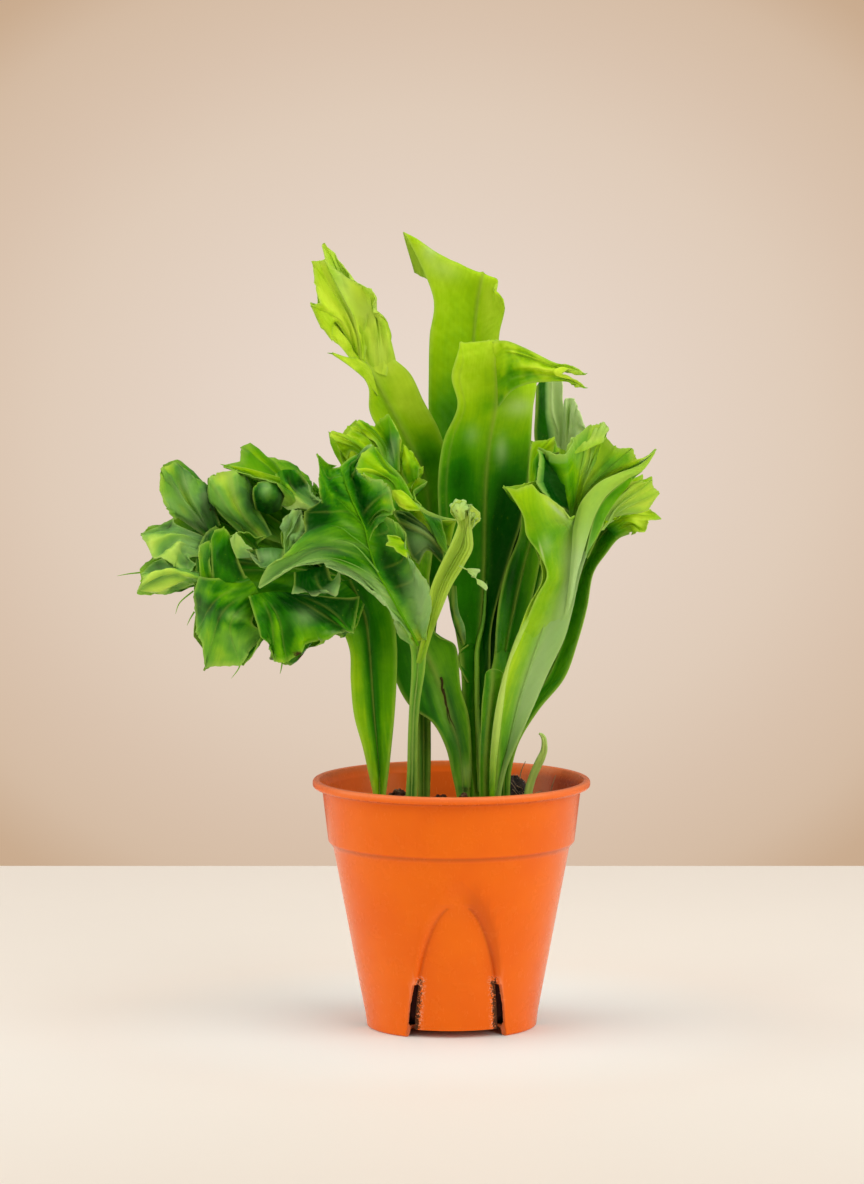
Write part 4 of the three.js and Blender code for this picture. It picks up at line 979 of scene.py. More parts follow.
def frond_left() -> Frond:
    """The big left frond: thick stem blade, lower fan, left fan, upper crest and small inner lobes.

    Returns:
        The frond, not yet built.
    """
    sheets = (
        Sheet((
            ((-33.4, 80, -8), (-31, 80, -6.6), (-28.6, 80, -8)),
            ((-33.4, 98, -8), (-31, 98, -6.6), (-28.6, 98, -8)),
            ((-35.6, 109, -9), (-31.2, 109, -6), (-27.2, 110, -8.4)),
            ((-38, 120, -9.6), (-32.2, 120, -5.4), (-26, 121, -8)),
            ((-42, 135, -9.4), (-33.6, 135, -4.6), (-24.6, 135, -7)),
            ((-43.4, 150, -9), (-34.6, 150, -4), (-23.7, 150, -6.4)),
            ((-44, 164, -9), (-35.6, 164, -3.6), (-23.6, 166, -6)),
            ((-50, 178, -9), (-37.6, 178, -3.2), (-26, 181, -3)),
            ((-58, 191, -7), (-44, 194, -4), (-36, 197, -3)),
        ), columns=6, rib=0.9, rib_wide=0.5, thick=(2.8, 2.8, 2.6, 2.4, 2, 1.7, 1.5, 1.4, 1.2),
              tone=((0.6, 0.68, 0.7, 0.66, 0.5), (0.5, 0.55, 0.6, 0.5, 0.4), (0.2, 0.1, 0.05, 0.05, 0.1),
                    (0.45, 0.45, 0.5, 0.35, 0.2), (0.5, 0.55, 0.55, 0.45, 0.3))),
        Sheet((
            ((-37.5, 183, -5), (-42, 188, -6), (-46, 192, -5), (-50, 196, -3)),
            ((-39.5, 177, -14), (-52, 180, -17), (-66, 184, -16), (-82, 202, -8)),
            ((-40.5, 174, -16), (-55, 173, -26), (-78, 172, -22), (-101, 184, -25), (-103, 209, -11)),
            ((-42, 170.5, -14), (-44.8, 172, -20), (-48, 168.4, -25), (-52.5, 170, -22), (-57, 167.6, -25),
             (-61.5, 165.6, -19), (-67, 161, -14), (-70.5, 157.8, -13), (-74.5, 157.6, -15),
             (-77.6, 158.6, -20), (-78.2, 164.5, -26), (-80.6, 169.6, -31), (-85, 164.5, -34),
             (-91, 157.6, -31), (-98.5, 157.4, -25), (-106.6, 154.6, -22), (-106.4, 162.8, -25),
             (-110, 169, -30), (-110.8, 179, -33), (-111.4, 190, -29), (-109.2, 198, -23),
             (-108.8, 207, -17), (-106, 214, -12), (-102, 216.6, -9), (-96.4, 214.6, -8)),
        ), columns=24, sharp=True, ruffle=(1.6, 6, 0.1, 0.3), seed=2,
              tone=((0.3, 0.38, 0.34), (0.3, 0.36, 0.32))),
        Sheet((
            ((-42, 188, -6), (-44, 192, -1), (-46, 196, 5)),
            ((-84, 191, -6), (-88, 205, 0), (-90, 215, 7), (-82, 224, 13)),
            ((-108, 195, -16), (-113, 191, -22), (-118, 189, -25), (-122.5, 187.5, -27), (-129, 188.6, -25),
             (-135.6, 189, -20), (-133.5, 193, -14), (-134.2, 197.4, -8), (-128.4, 203.4, -2),
             (-130.6, 208.6, -5), (-133.6, 213.2, -10), (-130.6, 215.8, -7), (-124.6, 216.6, 0),
             (-119.2, 220.6, 6), (-122.6, 227, 4), (-125.4, 235, 1), (-124.2, 242.6, 3), (-119, 245, 8),
             (-114.4, 243, 13), (-110.4, 238, 17), (-107.4, 235.6, 21), (-105.2, 231.6, 24),
             (-103.4, 229.4, 25), (-101.4, 227.8, 25), (-99.4, 225.6, 25)),
        ), columns=24, sharp=True, ruffle=(1.3, 5, 0.3, 0.3), seed=3,
              tone=((0.3, 0.5, 0.5), (0.35, 0.42, 0.5), (0.3, 0.4, 0.4))),
        Sheet((
            ((-40, 189, -5), (-41, 193, 0), (-42, 197, 5)),
            ((-78, 211, 2), (-84, 222, 9), (-78, 230, 15), (-64, 227, 13)),
            ((-88, 212, -4), (-92, 217, -6), (-96.4, 222.4, -5), (-101, 228, -2), (-104, 232, 1),
             (-104.8, 237.4, 3), (-101.6, 239.4, 4), (-98, 239.6, 3), (-94, 240, 3), (-90, 239.6, 6),
             (-86, 238.4, 10), (-82, 237.6, 15), (-78, 237.6, 18), (-74, 238, 20), (-70, 236.6, 20),
             (-66, 234.6, 19), (-62, 231, 17)),
        ), columns=16, sharp=True, ruffle=(1, 3, 0.6, 0.3), seed=4,
              tone=((0.3, 0.35, 0.5), (0.3, 0.4, 0.4))),
        Sheet((
            ((-39, 196, -5), (-37, 194, 0), (-35, 190, 5)),
            ((-61, 222.4, -6), (-64, 227, 0), (-60, 230, 8), (-54, 226, 10)),
            ((-72.8, 225.8, -10), (-71.6, 230, -11), (-74.6, 234, -12), (-80, 236.2, -10), (-86, 238.6, -6),
             (-92, 241.4, -2), (-97.6, 243.4, 0), (-91, 244.6, 4), (-90.6, 250.4, 10), (-86.4, 252.8, 13),
             (-82.6, 248.4, 15), (-77.6, 246.8, 20), (-72.6, 245.2, 24), (-68, 242.4, 27), (-63, 239.6, 26),
             (-61, 235.4, 21), (-60.6, 231.6, 15), (-58.6, 235.4, 12), (-57, 233, 11), (-56, 229, 11),
             (-53.6, 225, 12)),
        ), columns=20, sharp=True, ruffle=(1, 4, 0.2, 0.3), seed=5,
              tone=((0.35, 0.5, 0.5), (0.3, 0.4, 0.45))),
        Sheet((
            ((-66, 205.6, 3), (-68, 203, 3)),
            ((-65, 211, -13), (-72, 208, -13)),
            ((-64, 218, -20), (-73, 215, -18)),
            ((-63.4, 213, -26), (-62.8, 217, -27), (-64, 221.6, -27), (-66.6, 223.4, -25),
             (-69.6, 221.6, -23), (-71.6, 217.6, -22), (-73.4, 213.4, -20), (-72.6, 208.6, -18),
             (-71, 204.4, -16)),
        ), sharp=True, seed=6, tone=((0.3, 0.4),)),
        Sheet((
            ((-76, 205, 3), (-78, 200, 3)),
            ((-84, 210, -15), (-84, 203, -15)),
            ((-80, 213, -20), (-84.6, 212, -21), (-87.6, 214, -22), (-91.6, 214.4, -22), (-95, 212.6, -21),
             (-94.8, 207.6, -21), (-91, 208.8, -20), (-87.4, 206.6, -19), (-84, 207, -18)),
        ), sharp=True, seed=7, tone=((0.3, 0.4),)),
        Sheet((
            ((-106.1, 212.5, -2), (-102.7, 214.6, -2), (-99.3, 217.6, -2)),
            ((-117.1, 220.2, -6), (-113.7, 226.1, -7), (-107.7, 229.1, -4), (-102.5, 226.1, 0)),
            ((-118.4, 220.2, -9), (-122.2, 224.9, -7.3), (-125.5, 233, -5.8), (-124.5, 241.5, -4.7),
             (-118.7, 244.6, -3.3), (-113.2, 240.4, -1.7), (-109.4, 237.1, 0), (-106.7, 234.7, 1.7),
             (-104.3, 230.4, 2.9), (-102.7, 227, 4)),
        ), columns=12, sharp=True, ruffle=(0.6, 2, 0.2, 0.3), frill=1.2, relief=2, seed=101,
              tone=((0.45, 0.65, 0.75), (0.35, 0.55, 0.65), (0.1, 0.25, 0.5)), pale=((0, 0.3, 0.1),)),
        Sheet((
            ((-105.3, 212.1, -8), (-104, 208.2, -11), (-105.3, 203.9, -14)),
            ((-118.8, 218, -10), (-118.9, 210.8, -17), (-113, 203.1, -25)),
            ((-119.3, 220.2, -9), (-126.5, 216.3, -10.5), (-133.5, 214, -12), (-130.8, 208.2, -14.9),
             (-127.9, 202.7, -20.5), (-124.7, 203.1, -26.1), (-118.9, 199.8, -28.5), (-113, 197.5, -29.2),
             (-109.6, 200.5, -30)),
        ), columns=10, sharp=True, ruffle=(0.6, 2, 0.1, 0.3), relief=1.8, seed=102,
              tone=((0.3, 0.4, 0.6), (0.3, 0.5, 0.75), (0.5, 0.5, 0.55)), pale=((0.1, 0.35),)),
        Sheet((
            ((-108.7, 197.1, -27), (-108.9, 194.5, -33), (-109.6, 192.4, -29)),
            ((-119.8, 200.1, -26), (-120.7, 196.7, -35), (-116.4, 189.8, -28)),
            ((-124.7, 203.1, -28), (-130, 200.1, -28.5), (-133.6, 196.1, -29), (-132.6, 194.5, -31.5),
             (-133.6, 192, -34), (-135.2, 189.2, -32.5), (-128.4, 188.4, -31), (-122, 187.7, -29.5),
             (-114.7, 190.2, -28)),
        ), sharp=True, relief=1.4, seed=103, tone=((0.35, 0.3, 0.35), (0.6, 0.75, 0.8), (0.45, 0.5, 0.6)),
              pale=((0.2, 0.3),)),
        Sheet((
            ((-108.3, 194.1, -32), (-102.4, 193.2, -32)),
            ((-108.7, 201.4, -33), (-104, 200.9, -35)),
            ((-109, 203.9, -35), (-108.5, 207.8, -35), (-106.3, 209.9, -35), (-104.2, 210.6, -35),
             (-103.6, 207.4, -35), (-104, 203.1, -35)),
        ), columns=6, sharp=True, veins=False, seed=104, tone=((0.6, 0.7, 0.75), (0.4, 0.4, 0.6))),
        Sheet((
            ((-102.8, 192, -33), (-96, 192.4, -33), (-88.3, 194.5, -33)),
            ((-103.4, 203.9, -35), (-98.5, 203.1, -37), (-91.7, 202.2, -34)),
            ((-103.7, 210.8, -35), (-101.8, 215.4, -35.3), (-98, 216.2, -35.7), (-96.1, 214.5, -36),
             (-94.9, 211.6, -35), (-93.8, 208.2, -34), (-91.7, 203.9, -33)),
        ), columns=10, sharp=True, veins=False, seed=105,
              tone=((0.3, 0.35, 0.6), (0.2, 0.2, 0.35), (0.05, 0.05, 0.15))),
        Sheet((
            ((-92.5, 203.1, -36), (-84, 203.9, -36)),
            ((-94.6, 208.2, -38), (-88.3, 206.9, -38)),
            ((-95.4, 211.6, -39), (-92.5, 214, -38.8), (-90.5, 212, -38.5), (-88.3, 208.9, -38.2),
             (-85.5, 206.9, -38)),
        ), columns=6, sharp=True, veins=False, seed=106, tone=((0.5, 0.75), (0.6, 0.8)), pale=((0.3, 0.5),)),
        Sheet((
            ((-84.4, 206.9, -30), (-78.9, 207.4, -30), (-71.7, 206.9, -30)),
            ((-84, 201.4, -36), (-78.9, 200.1, -38), (-72.1, 203.1, -35)),
            ((-88.3, 208.2, -37), (-85.7, 203.1, -37.8), (-82.3, 199.2, -38.6), (-78.1, 198.8, -38.6),
             (-73.8, 200.9, -37.8), (-70.4, 203.9, -37)),
        ), sharp=True, veins=False, seed=107, tone=((0.15, 0.2), (0.2, 0.3), (0.2, 0.25)),
              pale=((0.05, 0.35),)),
        Sheet((
            ((-88.3, 195.4, -28), (-84.1, 190.2, -31), (-82, 183.4, -30)),
            ((-102.8, 194.5, -35), (-101.1, 184.3, -38), (-96.1, 174.8, -37), (-85.8, 174.8, -33)),
            ((-108.7, 195.4, -35), (-110.9, 187.7, -35.4), (-110.5, 179.1, -35.8), (-110.1, 171.8, -36),
             (-107.2, 166.3, -36), (-106.2, 155.5, -36), (-99.5, 156.6, -34.4), (-91.4, 156.8, -32.8),
             (-87.6, 162, -31.8), (-82.4, 167.1, -31.4), (-78.6, 171, -31)),
        ), columns=20, sharp=True, ruffle=(0.9, 3, 0.1, 0.3), seed=108,
              tone=((0.35, 0.45, 0.42), (0.38, 0.45, 0.5), (0.35, 0.45, 0.58)), pale=((0, 0, 0.15),)),
        Sheet((
            ((-87.5, 186.8, -36), (-77.3, 188.5, -31), (-65.3, 187.7, -28)),
            ((-84.5, 176.5, -39), (-72.2, 177.4, -35), (-58.6, 178.3, -31), (-46.6, 186, -27)),
            ((-82.3, 169.5, -37), (-77.5, 164.5, -35.4), (-76.8, 158.7, -33.7), (-70.5, 158.1, -32.1),
             (-66.3, 161.5, -30.7), (-63.3, 165.4, -29.9), (-55.6, 167.8, -29.1), (-50.9, 169.7, -28.3),
             (-44.9, 171.2, -27.5), (-42.5, 170.5, -26.6), (-40.7, 178.7, -25.8), (-40, 186.8, -25)),
        ), columns=20, sharp=True, ruffle=(1.2, 5, 0.3, 0.3), seed=109,
              tone=((0.38, 0.35, 0.42), (0.28, 0.28, 0.42), (0.12, 0.18, 0.32))),
        Sheet((
            ((-84.9, 208.2, -4), (-81, 211.6, -4), (-77.2, 213.3, -4)),
            ((-99.3, 221.9, -5), (-92.5, 227, -8), (-85.6, 229.5, -3)),
            ((-101.8, 225.3, -4), (-104.5, 231.3, -4), (-104.3, 237.4, -4), (-99.6, 240, -2.9),
             (-92.4, 241, -1.1), (-88.6, 238.1, 0), (-86.3, 233.8, 0), (-85.5, 230.4, 0)),
        ), columns=10, sharp=True, ruffle=(0.6, 2, 0.4, 0.3), rib=0.4, frill=1, relief=1.6, seed=110,
              tone=((0.35, 0.6, 0.7), (0.55, 0.68, 0.7), (0.2, 0.4, 0.6)), pale=((0.1, 0.2),)),
        Sheet((
            ((-84.4, 224.4, -6), (-78.9, 222.7, -6), (-72.9, 224.4, -6)),
            ((-85.5, 230.4, -9), (-79.3, 231.3, -14), (-72, 230, -9)),
            ((-85.3, 233, -8), (-83.1, 235.7, -8.5), (-78.8, 236.5, -9), (-75, 235.3, -8.5),
             (-71.9, 232.1, -8)),
        ), sharp=True, veins=False, seed=111, tone=((0.2, 0.1, 0.35), (0.1, 0.15, 0.3), (0.15, 0.1, 0.35))),
        Sheet((
            ((-72.1, 203.9, -38), (-70.8, 203.1, -38), (-69.1, 203.1, -38)),
            ((-72.3, 211.6, -36), (-69.1, 212.5, -39), (-66.1, 209.9, -41)),
            ((-72.1, 216.7, -36), (-71.2, 221, -37), (-68.2, 224.3, -38), (-65.1, 223.6, -39),
             (-63.1, 218.5, -40), (-62.9, 214.2, -40.5), (-65.3, 210.8, -41), (-67, 207.4, -41.5),
             (-68.5, 203.1, -42)),
        ), columns=10, sharp=True, ruffle=(1.1, 5, 0.2, 0.2), frill=1.1, relief=1.5, seed=112,
              tone=((0.3, 0.3, 0.5), (0.3, 0.35, 0.7)), pale=((0.1, 0.5),)),
        Sheet((
            ((-73.3, 235.1, -1), (-73.7, 238.1, -1)),
            ((-80.5, 237.1, -3), (-81.8, 240.5, -3)),
            ((-88.2, 240, -2), (-89, 242.3, -2)),
            ((-95.8, 242.8, 1), (-96.6, 243.4, 1)),
        ), columns=4, sharp=True, veins=False, frill=0.3, seed=113, tone=((0.6, 0.8), (0.65, 0.85))),
        Sheet((
            ((-75.8, 239.4, 2), (-72, 241.1, 2), (-66.1, 241.1, 2)),
            ((-73.7, 233, -3), (-67.8, 232.1, -5), (-62.2, 236.4, 0)),
            ((-73.1, 226.1, -8), (-70.4, 224.2, -8.9), (-65.3, 224.8, -9.7), (-58.5, 223.7, -10),
             (-50.4, 224.3, -10), (-55.9, 227.2, -9.1), (-60.1, 230.4, -6.6), (-61.8, 235.5, -4)),
        ), columns=10, sharp=True, frill=0.4, relief=1.6, seed=114,
              tone=((0.6, 0.55, 0.7), (0.3, 0.25, 0.75), (0.1, 0.15, 0.6)), pale=((0, 0, 0.5),)),
        Sheet((
            ((-67.9, 197.1, -40), (-61.9, 197.9, -39), (-53.4, 200.5, -38)),
            ((-67.9, 192, -39), (-59.4, 189.4, -42), (-50.9, 193.7, -36)),
            ((-68.9, 187.7, -39), (-63.6, 188.4, -39.3), (-59.4, 187.7, -39.7), (-55.1, 188.5, -40),
             (-50, 187.2, -38), (-47.9, 192, -36), (-48.3, 197.9, -34)),
        ), sharp=True, ruffle=(0.8, 3, 0.1, 0.3), frill=1, seed=115,
              tone=((0.05, 0.1, 0.4), (0, 0, 0.35), (0.05, 0.1, 0.4)), pale=((0, 0, 0.5),)),
    )
    tips = (
        Tendril(((-133.6, 197, -8), (-139, 196.4, -8), (-144, 195.5, -8))),
        Tendril(((-111.2, 189, -29), (-117, 184, -29), (-119, 179, -29))),
        Tendril(((-110.8, 180, -33), (-112.6, 177, -33), (-114, 174, -33))),
        Tendril(((-91, 158, -31), (-92, 155, -31), (-95, 151, -31))),
        Tendril(((-73, 158, -14), (-73.4, 155.4, -14), (-74, 153, -14))),
        Tendril(((-96, 243, 0), (-98, 243.4, 0), (-99.4, 243.8, 0))),
    )
    # Patches of painted light and shade: a negative lift is painted shade, a positive lift and pale are
    # painted light and highlight; worn is real brown wear.
    spots = (
        Spot(-76, 211.5, 5.6, 3, 0.4, 0, 0.2),
        Spot(-106.9, 220.2, 4.3, 9.4, -0.35, -10, 0, 0, -6, 8),
        Spot(-118.8, 234.7, 2.1, 7.7, -0.12, -25, 0, 0, -12, 8),
        Spot(-121.4, 227, 1.9, 5.1, 0.12, -40, 0.2, 0, -12, 8),
        Spot(-92.5, 215, 4.3, 7.7, -0.25, -30, 0, 0, -12, 2),
        Spot(-99.2, 228.7, 1.7, 7.7, 0.1, -20, 0.1, 0, -12, 2),
        Spot(-110.4, 215, 7.7, 2.6, -0.2, 10, 0.15, 0, -14, -3),
        Spot(-94.3, 184.3, 9.4, 3.4, -0.15, 10, 0, 0, -99, -28),
        Spot(-53.4, 186, 8.5, 3.4, -0.25, 0, 0, 0, -99, -24),
        Spot(-69.5, 227.4, 6.9, 4.3, 0.35, 10, 0.2, 0, -14, 4),
        Spot(-80.2, 236.1, 5.2, 6, 0.12),
        Spot(-73.9, 185.1, 6.9, 5.2, -0.15),
        Spot(-55.8, 180.7, 10.3, 7.8, -0.3),
        Spot(-101.9, 180.7, 11.2, 4.3, -0.2),
        Spot(-106.1, 205.8, 3.9, 9.5, -0.25),
        Spot(-95.3, 228.3, 6, 6, -0.1),
        Spot(-78.8, 228.7, 10.2, 9.4, -0.2, 0, 0, 0, -12, 8),
        Spot(-99.5, 176.5, 10.2, 1.4, -0.2, 20),
        Spot(-102.8, 187.7, 9.4, 1.4, 0.15, 15),
        Spot(-96.1, 164.5, 7.7, 1.4, -0.15, 35),
        Spot(-87.4, 226.1, 2.6, 7.7, -0.1),
        Spot(-61, 220.2, 5.1, 5.1, -0.5),
        Spot(-88.3, 203.9, 4.3, 5.1, -0.4),
        Spot(-79.7, 233, 2.1, 3.4, 0.1, 0, 0.4),
        Spot(-94.3, 178.3, 5.1, 1.9, 0.15, 10, 0.25),
        Spot(-94.4, 168, 7.7, 3.4, 0.12, 40, 0.1),
        Spot(-58.5, 200.5, 5.1, 5.1, -0.4),
        Spot(-63.7, 177.4, 4.3, 3.4, 0.05, 0, 0.3),
        Spot(-99.3, 206.5, 3.4, 11.1, -0.1),
        Spot(-80.6, 203.9, 5.1, 2.1, 0.05, 0, 0.4),
        Spot(-114.5, 235.5, 2.6, 5.1, 0.05, 20, 0.3),
        Spot(-112.9, 208.2, 6.8, 5.1, 0.05, 30, 0.3),
        Spot(-110.3, 218.5, 5.1, 3.4, -0.1, 0, 0.25),
        Spot(-104.5, 182.5, 7.7, 2.1, -0.25, 25),
        Spot(-101.2, 172.3, 7.7, 1.9, -0.2, 35),
        Spot(-67.9, 181.7, 5.1, 5.1, -0.2),
        Spot(-65.4, 161.1, 5.1, 1.7, -0.1, 25, 0, 0.8),
        Spot(-76.8, 159.8, 2.6, 1.2, 0, 0, 0, 0.7),
        Spot(-87.6, 162, 1.2, 1.4, 0, 0, 0, 0.5),
        Spot(-103.9, 224, 0.9, 1.7, 0, 0, 0, 0.6),
        Spot(-49.2, 171, 5.1, 0.7, 0.1, 0, 0.4, 0.3),
    )
    return Frond("frond_left", Slot.GREEN, Look.CREST, sheets, tips, spots=spots)


